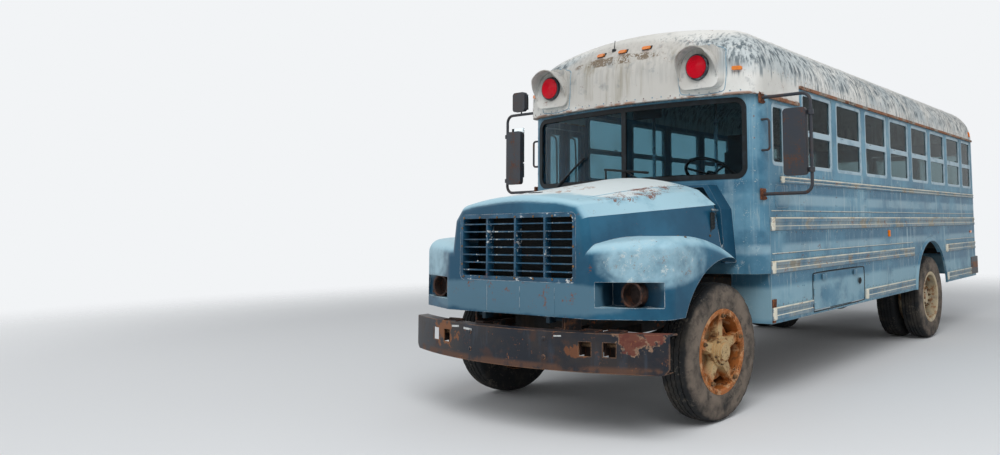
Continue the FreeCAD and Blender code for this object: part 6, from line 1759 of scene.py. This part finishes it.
@dataclass
class GrilleDetail(Part):
    """Screws round the grille's frame, the seams of the panel under it, and dark plates beside the radiator that stand
    for the shade behind the grille.
    """

    screw: float = 0.008
    look_y: float = -4.2

    def build(self) -> None:
        """Sets the screws, the seams and the dark shade plates."""
        skin = Surface("grille", "hood")
        spots = [(x, z) for x in (-0.53, -0.36, -0.18, 0.0, 0.18, 0.36, 0.53) for z in (1.03, 1.455)]
        spots += [(x, z) for z in (1.12, 1.25, 1.38) for x in (-0.55, 0.55)]
        head = Bench.drum("screw", self.screw, (0.0, 0.0, -0.001), (0.0, 0.0, 0.0035), 12)
        Bench.inset(head, lambda p, n: n.z > 0.9, self.screw * 0.35, 0.0012)
        screws = Bench.copies("screws", head, skin.places([(x, self.look_y, z) for x, z in spots], REARWARD))
        self.dress("grille_screws", [screws], "nut_steel", "grille_paint", "hood")
        seams = []
        for x in (-0.28, 0.05, 0.38):
            hits = skin.hits([(x, self.look_y, 0.80 + 0.025 * i) for i in range(8)], REARWARD)
            seams.append(Bench.swept("seam", [tuple(place) for place, _ in hits], 0.003, 2))
        self.dress("panel_seams", seams, "hood_blue", "grille_paint", "hood")
        self.baffles()

    def baffles(self) -> None:
        """Puts dark plates beside the radiator as painted shade, so that no light shows through the grille."""
        plates = []
        for _, side in SIDES[::-1]:
            for inner, outer, front, back, foot, top in ((0.425, 0.61, -3.700, -3.694, 0.965, 1.50),
                                                         (0.60, 0.88, -3.6945, -3.689, 0.80, 1.12)):
                a, b = sorted((side * inner, side * outer))
                plates.append(Bench.block("baffle", (a, front, foot), (b, back, top), 0.002, 1))
        self.dress("grille_shade_plates", plates, "gasket_rubber", "chassis_paint")


@dataclass
class HeadlampDetail(Part):
    """The retaining ring and its tabs round each headlamp bucket."""

    x: float = 0.9425
    z: float = 0.939
    face_y: float = -3.778
    radius: float = 0.080
    section: tuple[tuple[float, float], ...] = (
        (-0.004, -0.010), (-0.008, -0.004), (-0.007, 0.004), (-0.001, 0.006), (-0.001, -0.010), (-0.004, -0.010))

    def build(self) -> None:
        """Builds both lamps' rings."""
        top, reach = self.z + self.radius, self.radius + 0.01
        for word, side in SIDES:
            x = side * self.x
            points = [(x, self.face_y + out, top + up) for out, up in self.section]
            parts = [Bench.spun("ring", points, (x, 0.0, self.z), REARWARD, 48)]
            for angle in (math.radians(90 + 120 * i) for i in range(3)):
                place = Vector((x + reach * math.cos(angle), self.face_y - 0.003, self.z + reach * math.sin(angle)))
                parts.append(Bench.drum("tab", 0.009, place, place + Vector((0.0, -0.006, 0.0)), 12, 0.002))
            self.dress("lamp_ring_" + word, parts, "bucket_rust", "bucket", "hood")


@dataclass
class BumperDetail(Part):
    """Bolts, scraps of tape and the tow hooks' brackets of the front bumper.

    Attributes:
        look_y: Where the looks at its face start.
        tape: The scraps' ends across, their lower and upper edges and their turns.
        tow_x: The brackets' places across.
    """

    look_y: float = -4.3
    tape: tuple[tuple[float, ...], ...] = (
        (-0.60, -0.50, 0.668, 0.682, 0.06), (-0.44, -0.34, 0.66, 0.675, -0.04), (0.44, 0.50, 0.668, 0.677, 0.05))
    tow_x: tuple[float, ...] = (-0.674, 0.674, 0.845)

    def build(self) -> None:
        """Sets the bolts, the tape and the brackets."""
        skin = Surface("front_bumper")
        head = Bench.spun("bolt", [(0.0, 0.0, 0.009), (0.006, 0.0, 0.0085), (0.012, 0.0, 0.006), (0.0165, 0.0, 0.0),
                                   (0.0, 0.0, -0.001)], ORIGIN, UP, 20)
        places = skin.places([(x, self.look_y, z) for x in (-0.36, 0.36) for z in (0.53, 0.65)], REARWARD)
        self.dress("bumper_bolts", [Bench.copies("bolts", head, places)], "bumper_dark", "bumper_paint", angle=50.0)
        scraps = []
        for x0, x1, z0, z1, turn in self.tape:
            x, z = (x0 + x1) / 2, (z0 + z1) / 2
            scrap = Bench.block("tape", (x0 - x, z0 - z, 0.0002), (x1 - x, z1 - z, 0.0012))
            Bench.edit(scrap)
            bpy.ops.mesh.select_all(action="SELECT")
            bpy.ops.mesh.subdivide(number_cuts=3, fractal=0.012, seed=7)
            Bench.clear()
            hits = skin.hits([(x, self.look_y, z)], REARWARD)
            scraps.append(Bench.copies("tape", scrap, [facing(*hit, turn) for hit in hits]))
        self.dress("bumper_tape", scraps, "tape_white", "bumper_paint")
        self.brackets(skin)

    def brackets(self, skin: Surface) -> None:
        """Makes the tow hooks' brackets behind the holes, with their pins.

        Args:
            skin: The bumper's skin.
        """
        backs, pins = [], []
        for x in self.tow_x:
            hits = skin.hits([(x + at, self.look_y, 0.52) for at in (-0.072, 0.072)], REARWARD)
            y = max(place.y for place, _ in hits) + 0.012
            backs.append(Bench.block("back", (x - 0.075, y + 0.050, 0.50), (x + 0.075, y + 0.070, 0.715), 0.003, 1))
            for at in (x - 0.066, x + 0.066):
                backs.append(Bench.block("cheek", (at - 0.006, y, 0.55), (at + 0.006, y + 0.055, 0.71), 0.003, 1))
            pins.append(Bench.drum("pin", 0.017, (x - 0.062, y + 0.028, 0.62), (x + 0.062, y + 0.028, 0.62), 18))
        self.dress("tow_brackets", backs, "bucket_rust", "bumper_paint")
        self.dress("tow_pins", pins, "nut_steel", "bumper_paint")


@dataclass
class LampDetail(Part):
    """Rings and ribbed faces of the warning lamps, the feet of the markers and the beads of the lamp panels."""

    front_y: float = -2.764
    panel_y: float = -2.734
    x: float = 0.785
    z: float = 2.61
    radius: float = 0.09
    rear_y: float = 3.94
    wall_y: float = 3.91
    rear_z: float = 2.44
    tail_z: float = 1.25
    tail_radius: float = 0.088
    look_y: float = -3.4
    steps: int = 56

    def ring(self, x: float, z: float, wall: float, face: float, radius: float) -> Piece:
        """Spins a rounded bezel round a lens.

        Args:
            x: The lens's middle across.
            z: The lens's middle in height.
            wall: The y of the surface it stands on.
            face: The y of the lens's face.
            radius: The lens's radius.

        Returns:
            The bezel.
        """
        near, inner = wall + (face - wall) * 0.75, z + radius + 0.0005
        points = [(x, wall, inner), (x, near, inner), (x, near + (face - wall) * 0.1, z + radius + 0.006),
                  (x, near, z + radius + 0.012), (x, wall, z + radius + 0.016), (x, wall, inner)]
        return Bench.spun("ring", points, (x, 0.0, z), REARWARD, self.steps)

    def lens(self, x: float, z: float, face: float, way: float, radius: float) -> Piece:
        """Spins the domed, ribbed face of a lens.

        Args:
            x: The lens's middle across.
            z: The lens's middle in height.
            face: The y of the lens's face.
            way: Which way it looks, -1 to the front and 1 to the rear.
            radius: The lens's radius.

        Returns:
            The lens's face.
        """
        points: list[Point] = [(x, face, z + radius - 0.001)]
        for share in (i / 9.5 for i in range(9, 0, -1)):
            rise = 0.008 * (1 - share * share)
            points.append((x, face + way * rise, z + radius * (share + 0.03)))
            points.append((x, face + way * (rise + 0.0022), z + radius * share))
        points += [(x, face + way * 0.009, z), (x, face - way * 0.002, z), (x, face - way * 0.002, z + radius - 0.001)]
        return Bench.spun("lens", points, (x, 0.0, z), REARWARD, self.steps)

    def build(self) -> None:
        """Builds the rings and faces of all six lamps, and what is round them."""
        rings, faces = [], []
        for _, side in SIDES[::-1]:
            x = side * self.x
            for z, wall, face, way, radius in ((self.z, self.panel_y, self.front_y, -1.0, self.radius),
                                               (self.rear_z, self.wall_y, self.rear_y, 1.0, self.radius),
                                               (self.tail_z, self.wall_y, self.rear_y, 1.0, self.tail_radius)):
                rings.append(self.ring(x, z, wall, face, radius))
                faces.append(self.lens(x, z, face, way, radius))
        self.dress("lamp_rings", rings, "lamp_ring", "roof_paint", angle=40.0)
        self.dress("lamp_faces", faces, "lens_red", "lamp", angle=20.0)
        skin = Surface("roof")
        foot = Bench.block("foot", (-0.047, -0.021, -0.002), (0.047, 0.021, 0.006), 0.004)
        feet = Bench.copies("feet", foot, skin.places([(x, self.look_y, 2.85) for x in (-0.246, 0.0, 0.246)], REARWARD))
        self.dress("marker_feet", [feet], "black_plastic", "lamp")
        beads = []
        for _, side in SIDES[::-1]:
            starts = []
            for angle in (2 * math.pi * i / 32 for i in range(33)):
                across, up = math.cos(angle), math.sin(angle)
                reach = 0.205 / max(abs(across), abs(up)) ** 0.72
                starts.append((side * self.x + reach * across, self.look_y, self.z - 0.02 + reach * 0.93 * up))
            points = [tuple(place) for place, _ in skin.hits(starts, REARWARD) if place.y < -2.3]
            beads.append(Bench.swept("bead", points, 0.0035, 2))
        self.dress("panel_beads", beads, "seam_blue", "roof_paint")


# Sides and ends

def plate(name: str, low: Point, high: Point, corner: float) -> Piece:
    """Makes a flat plate with rounded corners, square to X.

    Args:
        name: The piece's name.
        low: Its lowest corner.
        high: Its highest corner.
        corner: The corners' radius.

    Returns:
        The plate.
    """
    piece = Bench.block(name, low, high)
    Bench.bevel(piece, corner, 5, lambda p, way: abs(way.x) > 0.9)
    return Bench.bevel(piece, abs(high[0] - low[0]) * 0.3, 2, lambda p, way: abs(way.x) < 0.1)


@dataclass
class SideDetail(Shell):
    """Beads, rail lips, panels, latches and brackets on the side walls.

    Attributes:
        bead: The beads' radius.
        door_y: Where the right side's beads start, behind the entrance.
        upper_z: The upper bead's height.
        lower_z: The lower bead's height, which stops at the wheel arch.
        arch: The arch's ends.
        rail_x: The rub rails' face.
        lip: The rail lips' radius.
        step: How closely the rails are looked at.
    """

    bead: float = 0.0055
    door_y: float = -1.83
    upper_z: float = 1.482
    lower_z: float = 1.148
    arch: tuple[float, float] = (1.00, 2.32)
    rail_x: float = 1.229
    lip: float = 0.0065
    step: float = 0.01

    @staticmethod
    def bar(name: str, radius: float, x: float, z: float, start: float, end: float) -> Piece:
        """Makes a long round bar with rounded ends.

        Args:
            name: The piece's name.
            radius: Its radius.
            x: Its place across.
            z: Its height.
            start: Its front end.
            end: Its rear end.

        Returns:
            The bar.
        """
        bar = Bench.drum(name, radius, (x, start, z), (x, end, z), 10)
        return Bench.bevel(bar, radius * 0.4, 2, lambda p, way: abs(way.y) < 0.5)

    def build(self) -> None:
        """Builds both sides' details."""
        for word, side in SIDES:
            start = self.front_y if side > 0 else self.door_y
            runs = ((self.upper_z, start, self.rear_y), (self.lower_z, start, self.arch[0]),
                    (self.lower_z, self.arch[1], self.rear_y))
            beads = [self.bar("bead", self.bead, side * self.wall_x, z, a, b) for z, a, b in runs]
            self.dress("wall_beads_" + word, beads, "rail_grey_lit_tops", "body_paint", angle=50.0)
            self.rails(word, side)
            self.markers(word, side)
            x, latches = side * 1.206, []
            for i in range(8):
                for y, z in ((-1.648 + i * self.pitch, 2.165), (-1.328 + i * self.pitch, 2.188)):
                    low, high = (x, y - 0.02, z - 0.006), (x + side * 0.008, y + 0.02, z + 0.006)
                    latches.append(Bench.block("latch", low, high, 0.002))
            self.dress("window_latches_" + word, latches, "black_plastic", "frame_paint")
        x = self.wall_x
        low, high = (x, -2.315, 1.505), (x + 0.004, -2.09, 1.69)
        rim = Bench.swept("rim", ring_points(low, high, 0, x + 0.002, 0.035), 0.0035, 2)
        panel = [plate("cover", low, high, 0.03), rim]
        self.dress("inspection_panel", panel, "side_blue", "body_paint")
        seam = ring_points((x, -1.672, 0.632), (x, -0.501, 0.962), 0, x + 0.0005, 0.02)
        self.dress("battery_door_seam", [Bench.swept("seam", seam, 0.005, 2)], "gasket_rubber", "body_paint")
        self.battery_latch()
        corners = []
        for inner, outer, foot in ((0.86, 1.2185, 0.614), (-1.172, -0.86, 0.41)):
            corners.append(Bench.block("corner", (inner, -2.4095, foot), (outer, -2.4055, 1.004), 0.0012, 1))
        self.dress("front_corner_panels", corners, "front_blue", "body_paint")
        self.bracket()
        self.filler()

    def rails(self, word: str, side: float) -> None:
        """Adds the rolled lip and the raised front end of each run of rail, both in a cream finish that paints the
        highlight along the rails' tops.

        Args:
            word: The side's name.
            side: Which side, -1 or 1.
        """
        skin = Surface("rub_rails")
        lips, caps = [], []
        a, b = sorted((side * self.wall_x, side * (self.rail_x + 0.012)))
        for top, height in self.rail_sizes:
            run: list[float] = []
            y, end = self.front_y - 0.02, self.rear_y + 0.02
            while y < end:
                hit = skin.hit((side * 1.5, y, top - height / 2), (-side, 0.0, 0.0))
                there = hit is not None and hit[0].x * side > 1.0
                if there:
                    run.append(y)
                if run and (not there or y + self.step >= end):
                    lips.append(self.bar("lip", self.lip, side * self.rail_x, top - 0.004, run[0], run[-1]))
                    cap = Bench.block("cap", (a, run[0] - 0.004, top - height), (b, run[0] + 0.05, top))
                    caps.append(Bench.bevel(cap, 0.012, 4, lambda p, way: p.x * side > self.rail_x))
                    run = []
                y += self.step
        self.dress("rail_lips_" + word, lips, "rail_lip_highlight", "rail_paint", angle=50.0)
        self.dress("rail_ends_" + word, caps, "rail_lip_highlight", "rail_paint", angle=50.0)

    def markers(self, word: str, side: float) -> None:
        """Sets the amber markers of one side.

        Args:
            word: The side's name.
            side: Which side, -1 or 1.
        """
        lens = Bench.block("lens", (-0.02, -0.034, -0.002), (0.02, 0.034, 0.018))
        Bench.bevel(lens, 0.008, 4, lambda p, way: p.z > -0.001)
        skin = Surface("roof", "side_wall_" + word)
        places = skin.places([(side * 1.5, y, z) for y, z in ((0.22, 1.265), (3.66, 2.62))], (-side, 0.0, 0.0))
        self.dress("amber_markers_" + word, [Bench.copies("lenses", lens, places)], "lens_amber", "lamp", angle=40.0)

    def battery_latch(self) -> None:
        """Makes the latch, its cup and two hinge leaves of the battery door."""
        low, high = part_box("battery_door")
        x, y, z = high[0], high[1] - 0.13, (low[2] + high[2]) / 2 + 0.03
        section = ((0.0005, 0.016), (0.005, 0.021), (0.004, 0.029), (-0.001, 0.031), (-0.001, 0.016), (0.0005, 0.016))
        parts = [Bench.spun("cup", [(x + out, y, z + up) for out, up in section], (x, y, z), ACROSS, 32),
                 Bench.drum("hole", 0.0185, (x - 0.001, y, z), (x + 0.0008, y, z), 28, 0.0006, 1),
                 Bench.block("lever", (x + 0.001, y - 0.005, z - 0.015), (x + 0.006, y + 0.005, z + 0.015), 0.002)]
        self.dress("battery_latch", parts, "latch_rubber", "body_paint", "battery_door")
        leaves = [plate("leaf", (x - 0.0005, y, high[2] - 0.06), (x + 0.0035, y + 0.09, high[2] - 0.012), 0.01)
                  for y in (low[1] + 0.16, low[1] + 0.86)]
        self.dress("battery_hinge_leaves", leaves, "side_blue", "body_paint", "battery_door")

    def bracket(self) -> None:
        """Makes the rusty bracket at the lower front corner of the left skirt."""
        x = self.wall_x
        strap = Bench.block("strap", (x, -2.404, 0.62), (x + 0.009, -2.335, 0.80))
        Bench.taper(strap, lambda p, n: p.z < 0.7, (1.0, 0.7, 1.0), (x, -2.404, 0.62))
        parts = [Bench.bevel(strap, 0.003)]
        parts += [Bench.drum("bolt", 0.011, (x, -2.37, z), (x + 0.018, -2.37, z), 6, 0.0015, 1) for z in (0.665, 0.755)]
        self.dress("corner_bracket_left", parts, "bracket_rust", "body_paint")

    def filler(self) -> None:
        """Makes the fuel filler's flap on the right side."""
        x = -self.wall_x
        flap = plate("flap", (x - 0.006, -0.42, 0.83), (x, -0.20, 1.03), 0.03)
        Bench.inset(flap, lambda p, n: n.x < -0.95, 0.02, 0.002)
        knob = Bench.drum("knob", 0.010, (x - 0.003, -0.23, 0.93), (x - 0.014, -0.23, 0.93), 14, 0.002)
        self.dress("filler_flap", [flap, knob], "side_blue", "body_paint")


@dataclass
class RoofDetail(Shell):
    """Lap seams over the bows, and the short aerial."""

    bows: int = 8
    last_y: float = 3.68
    look_y: float = 0.3
    crown: float = 3.05
    width: float = 0.045
    thick: float = 0.0016

    def build(self) -> None:
        """Bends one strip over the roof and copies it to each bow."""
        skin = Surface("roof")
        points = [tuple(place + normal * 0.0002) for place, normal in self.arc(skin, self.look_y, 84, 61)
                  if place.z > 2.55]
        strip = Bench.outline("lap", points)
        bpy.ops.mesh.select_all(action="SELECT")
        bpy.ops.mesh.extrude_region_move(TRANSFORM_OT_translate={"value": (0.0, self.width, 0.0)})
        bpy.ops.mesh.select_all(action="SELECT")
        bpy.ops.mesh.normals_make_consistent(inside=False)
        Bench.clear()
        if sum(face.normal.z for face in strip.data.polygons) < 0:
            strip.data.flip_normals()
        Bench.modified(strip, "SOLIDIFY", thickness=self.thick, offset=1.0)
        spots = [self.post_y + i * self.pitch for i in range(self.bows)] + [self.last_y]
        places = [Matrix.Translation((0.0, y - self.look_y - self.width / 2, 0.0)) for y in spots]
        laps = Bench.copies("laps", strip, places)
        for vert in laps.data.vertices:
            vert.co.z = min(vert.co.z, self.crown)
        self.dress("roof_laps", [laps], "roof_white", "roof_paint", angle=30.0)
        x, y, z = skin.hit((-0.12, -2.66, 3.6), DOWN)[0]
        foot = Bench.drum("foot", 0.02, (x, y, z - 0.008), (x, y, z + 0.014), 20, 0.005)
        whip = Bench.swept("whip", [(x, y, z), (x, y, z + 0.02), (x, y + 0.012, min(z + 0.09, 3.04))], 0.0035, 2)
        self.dress("aerial", [foot, whip], "black_plastic", "roof_paint")


@dataclass
class MirrorDetail(Part):
    """The mirrors' glasses, the pads under their arms and the clamps.

    Attributes:
        glass_y: The glasses' place.
        raised: How much higher the right mirror stands.
        panes: The left glasses' lower and upper ends.
        arms: The left arms' heights.
    """

    glass_y: float = -2.4575
    raised: float = 0.105
    panes: tuple[tuple[float, float], ...] = ((1.90, 2.235), (1.755, 1.89))
    arms: tuple[float, float] = (1.61, 2.36)

    def glass(self, left: float, right: float, foot: float, top: float) -> Piece:
        """Makes one glass between two places across and two heights."""
        return Bench.block("glass", (left, self.glass_y - 0.002, foot), (right, self.glass_y + 0.0035, top), 0.0015)

    def build(self) -> None:
        """Builds both mirrors' details."""
        glasses, pads = [], []
        for (word, side), lift in zip(SIDES, (0.0, self.raised)):
            left, right = sorted((side * 1.415, side * 1.583))
            glasses += [self.glass(left, right, foot + lift, top + lift) for foot, top in self.panes]
            skin = Surface("side_wall_" + word, "front_wall", "roof")
            for z in (arm + lift for arm in self.arms):
                for place, _ in skin.hits([(side * 1.5, -2.48, z)], (-side, 0.0, 0.0)):
                    x = place.x
                    if abs(x) > 1.1:
                        a, b = sorted((x, x + side * 0.014))
                        pads.append(Bench.block("pad", (a, -2.525, z - 0.045), (b, -2.435, z + 0.045), 0.005))
                        pads += [Bench.drum("bolt", 0.008, (x, y, up), (x + side * 0.021, y, up), 6, 0.0012, 1)
                                 for y, up in ((-2.51, z + 0.03), (-2.45, z - 0.03))]
        glasses.append(self.glass(-1.50, -1.36, 2.51, 2.66))
        self.dress("mirror_glasses", glasses, "mirror_glass", "mirror_metal")
        self.dress("mirror_pads", pads, "bracket_rust", "mirror_metal")


@dataclass
class DoorDetail(Part):
    """Rubber edges and glass seals of the doors, and the emergency door's handle and hinges."""

    edge: float = 0.014
    proud: float = 0.0035
    hinge_x: float = 0.335

    def seal(self, node: str, axis: int, level: float, beyond: float = -9.0) -> Piece:
        """Runs a rubber seal round each of a node's panes.

        Args:
            node: The glass's CAD node.
            axis: The axis the panes are square to.
            level: The seals' place on that axis.
            beyond: Only panes past this place along Y get one.

        Returns:
            The seals.
        """
        trim = Vector((0.0 if axis == 0 else 0.004, 0.0 if axis == 1 else 0.004, 0.004))
        return Bench.joined("seal", [
            Bench.swept("seal", ring_points(low + trim, high - trim, axis, level, 0.035), 0.008, 2)
            for low, high in islands(node) if low.y > beyond])

    def build(self) -> None:
        """Builds the doors' details."""
        rubber = "gasket_rubber"
        for word, shut in (("front", 1.0), ("rear", -1.0)):
            low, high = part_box("entrance_leaf_" + word)
            y = high[1] if shut > 0 else low[1]
            a, b = sorted((y, y - shut * self.edge))
            x = low[0]
            strip = Bench.block("strip", (x - self.proud, a, low[2] + 0.02), (x + 0.001, b, high[2] - 0.02), 0.0015)
            seal = self.seal("entrance_glass_" + word, 0, x - 0.001)
            self.dress("leaf_rubber_" + word, [strip, seal], rubber, rubber, "entrance_" + word)
        y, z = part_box("emergency_door")[1][1], 1.62
        self.dress("emergency_seal", [self.seal("emergency_glass", 1, y + 0.001)], rubber, rubber, "emergency_door")
        self.dress("rear_window_seals", [self.seal("window_glass", 1, 3.912, 3.8)], rubber, rubber)
        bent = [(-0.235, y + 0.028, z), (-0.20, y + 0.034, z), (-0.15, y + 0.034, z - 0.004),
                (-0.10, y + 0.026, z - 0.008)]
        parts = [Bench.block("plate", (-0.27, y - 0.001, z - 0.06), (-0.20, y + 0.005, z + 0.06), 0.002),
                 Bench.drum("stem", 0.012, (-0.235, y, z), (-0.235, y + 0.035, z), 18),
                 Bench.swept("lever", bent, 0.009)]
        self.dress("emergency_handle", parts, "chrome_worn", "body_paint", "emergency_door")
        x, hinges = self.hinge_x, []
        for z in (1.25, 1.75, 2.25):
            hinges += [Bench.drum("pin", 0.009, (x, 3.916, z - 0.05), (x, 3.916, z + 0.05), 14, 0.002, 1),
                       Bench.block("leaf", (0.338, 3.909, z - 0.045), (0.40, 3.914, z + 0.045), 0.0015, 1)]
        self.dress("emergency_hinges", hinges, "rear_blue", "body_paint")


@dataclass
class RearDetail(Part):
    """Reflectors, the bare number plate and its lamp."""

    wall_y: float = 3.91

    def build(self) -> None:
        """Builds the rear wall's details."""
        y = self.wall_y
        bare = Bench.block("plate", (-0.86, y, 1.00), (-0.56, y + 0.004, 1.15))
        Bench.bevel(bare, 0.012, 3, lambda p, way: abs(way.y) > 0.9)
        Bench.inset(bare, lambda p, n: n.y > 0.9, 0.006, 0.0012)
        screws = [Bench.drum("screw", 0.006, (x, y + 0.003, z), (x, y + 0.008, z), 12, 0.001, 1)
                  for x in (-0.84, -0.58) for z in (1.02, 1.13)]
        self.dress("bare_plate", [bare] + screws, "plate_bare", "body_paint")
        section = ((0.0, 0.0), (0.0, 0.038), (0.006, 0.036), (0.009, 0.026), (0.010, 0.0))
        discs = [Bench.spun("disc", [(x, y + out, z + up) for out, up in section], (x, y, z), REARWARD, 32)
                 for x in (-1.08, 1.08) for z in (1.02, 1.58)]
        self.dress("reflectors", discs, "lens_red", "lamp")
        lamp = Bench.block("lamp", (-0.75, y, 1.165), (-0.67, y + 0.03, 1.195), 0.006, 3)
        self.dress("plate_lamp", [lamp], "black_plastic", "lamp")


# Inside and underneath

@dataclass
class CabDetail(Part):
    """The wipers' blades, gauges, the inside mirror, poles and the heater.

    Attributes:
        arms: The wipers' arms and blades: both ends across and in height, and the radius.
        dials: The dials' places across and their radii.
        dial_z: Their height.
        poles: The poles' places.
    """

    arms: tuple[tuple[float, ...], ...] = (
        (-0.850, 1.724, -0.458, 1.973, 0.0095), (-0.850, 1.705, -0.62, 1.868, 0.007),
        (0.254, 1.813, -0.208, 1.860, 0.0095), (0.250, 1.705, 0.03, 1.834, 0.007))
    dials: tuple[tuple[float, float], ...] = ((0.38, 0.032), (0.48, 0.046), (0.60, 0.046), (0.72, 0.032))
    dial_z: float = 1.62
    poles: tuple[tuple[float, float], ...] = ((0.22, -1.585), (-0.42, -1.70))

    def build(self) -> None:
        """Builds what shows on and through the windshield."""
        self.wipers()
        self.gauges()
        mirror = Bench.block("mirror", (-0.15, -2.37, 2.31), (0.15, -2.345, 2.39), 0.008, 3)
        Bench.inset(mirror, lambda p, n: n.y > 0.9, 0.008, -0.002)
        self.dress("inside_mirror", [mirror], "black_plastic", "interior_paint")
        poles = []
        for x, y in self.poles:
            poles.append(Bench.drum("pole", 0.016, (x, y, 1.085), (x, y, 2.93), 20))
            poles += [Bench.drum("flange", 0.035, (x, y, z - 0.004), (x, y, z + 0.006), 24, 0.002, 1)
                      for z in (1.087, 2.918)]
        poles.append(Bench.drum("rail", 0.014, (0.22, -1.585, 1.95), (1.15, -1.585, 1.95), 20))
        self.dress("cab_poles", poles, "chrome_worn", "seat_steel")
        heater = [Bench.block("heater", (-0.30, -2.27, 1.09), (0.10, -2.05, 1.36), 0.02, 3)]
        heater += [Bench.block("fin", (-0.27, -2.052, z), (0.07, -2.044, z + 0.012))
                   for z in (1.14 + 0.03 * i for i in range(6))]
        self.dress("heater", heater, "dash_plastic", "interior_paint")

    def wipers(self) -> None:
        """Lays the wipers' arms and blades along the windshield."""
        glass = Surface("windshield_glass")
        arms = []
        for x0, z0, x1, z1, thick in self.arms:
            points = []
            for x, z in ((x0 + (x1 - x0) * i / 8, z0 + (z1 - z0) * i / 8) for i in range(9)):
                points += [(x, place.y - 0.020, z) for place, _ in glass.hits([(x, -3.4, max(z, 1.76))], REARWARD)]
            arms.append(Bench.swept("arm", points, thick))
        self.dress("wiper_blades", arms, "gasket_rubber", "gasket_rubber")

    def gauges(self) -> None:
        """Sets the dials on the dashboard."""
        skin = Surface("dashboard")
        rims, faces = [], []
        for i, (x, radius) in enumerate(self.dials):
            section = ((0.0, -0.002), (0.004, 0.006), (0.009, -0.002), (0.0, -0.002))
            rim = Bench.spun("rim", [(radius + out, 0.0, up) for out, up in section], ORIGIN, UP, 32)
            needle = Bench.block("needle", (-0.0012, -0.006, 0.0012), (0.0012, radius * 0.75, 0.0028), 0.0004, 1)
            face = Bench.drum("face", radius + 0.001, (0.0, 0.0, -0.002), (0.0, 0.0, 0.0015), 28)
            Bench.inset(face, lambda p, n: n.z > 0.9, 0.004, -0.0008)
            places = [facing(*hit, 0.6 * i) for hit in skin.hits([(x, -1.9, self.dial_z)], (0.0, -1.0, 0.0))]
            rims.append(Bench.copies("rim", Bench.joined("rim", [rim, needle]), places))
            faces.append(Bench.copies("face", face, places))
        self.dress("gauge_rims", rims, "chrome_worn", "dash")
        self.dress("gauge_faces", faces, "black_plastic", "dash")


@dataclass
class Underneath(Part):
    """The air tank and its straps under the floor.

    Attributes:
        centre: The tank's middle.
        length: Its length without the domes.
        radius: Its radius.
        dome: Each dome's section, as steps out from the tank's end and shares of the radius.
        straps: The straps' places from the middle.
    """

    centre: Point = (0.86, 0.05, 0.83)
    length: float = 0.80
    radius: float = 0.115
    dome: tuple[tuple[float, float], ...] = ((0.045, 0.0), (0.038, 0.4), (0.02, 0.75), (0.0, 1.0))
    straps: tuple[float, float] = (-0.25, 0.25)

    def build(self) -> None:
        """Builds the tank and hangs it from the floor."""
        x, y, z = self.centre
        half, r = self.length / 2, self.radius
        shape = [(y - half - out, z + share * r) for out, share in self.dome]
        shape += [(y + half + out, z + share * r) for out, share in self.dome[::-1]]
        parts = [Bench.spun("tank", [(x, a, b) for a, b in shape], self.centre, REARWARD, 40)]
        skin = Surface("body_floor", "floor_beams")
        for a, b in ((y + at - 0.02, y + at + 0.02) for at in self.straps):
            ring = ((a, 0.0), (a, 0.005), (b, 0.005), (b, 0.0), (a, 0.0))
            parts.append(Bench.spun("strap", [(x, at, z + r + up) for at, up in ring], self.centre, REARWARD, 40))
            hit = skin.hit((x, (a + b) / 2, z + r + 0.01), UP)
            top = hit[0].z if hit else z + r + 0.1
            parts.append(Bench.block("hanger", (x - 0.03, a, z + r - 0.01), (x + 0.03, b, top), 0.003, 1))
        self.dress("air_tank", parts, "tank_black", "chassis_paint")


def main() -> None:
    """Builds the bus's looks around the CAD frame."""
    Studio().build()
    palette = Palette()
    palette.dress_frame()
    parts: list[Part] = []
    for word, side in SIDES:
        wheel = "front_wheel_" + word
        parts.append(Tyre(palette, "front_tread_" + word, (side * 1.0195, -2.98, 0.484), wheel, "front_tyre_" + word))
    for word, side in SIDES:
        for place, x in (("outer", 1.0955), ("inner", 0.7955)):
            parts.append(Tyre(palette, f"rear_tread_{place}_{word}", (side * x, 1.66, 0.484), "rear_wheels_" + word,
                              "rear_tyres_" + word))
    for kind in (WheelHardware, Benches, DriverSeat, Rivets, HoodDetail, GrilleDetail, HeadlampDetail, BumperDetail,
                 LampDetail, SideDetail, RoofDetail, MirrorDetail, DoorDetail, RearDetail, CabDetail, Underneath):
        parts.append(kind(palette))
    for part in parts:
        part.build()
        log.info("built %s", type(part).__name__)


if __name__ == "__main__":
    main()
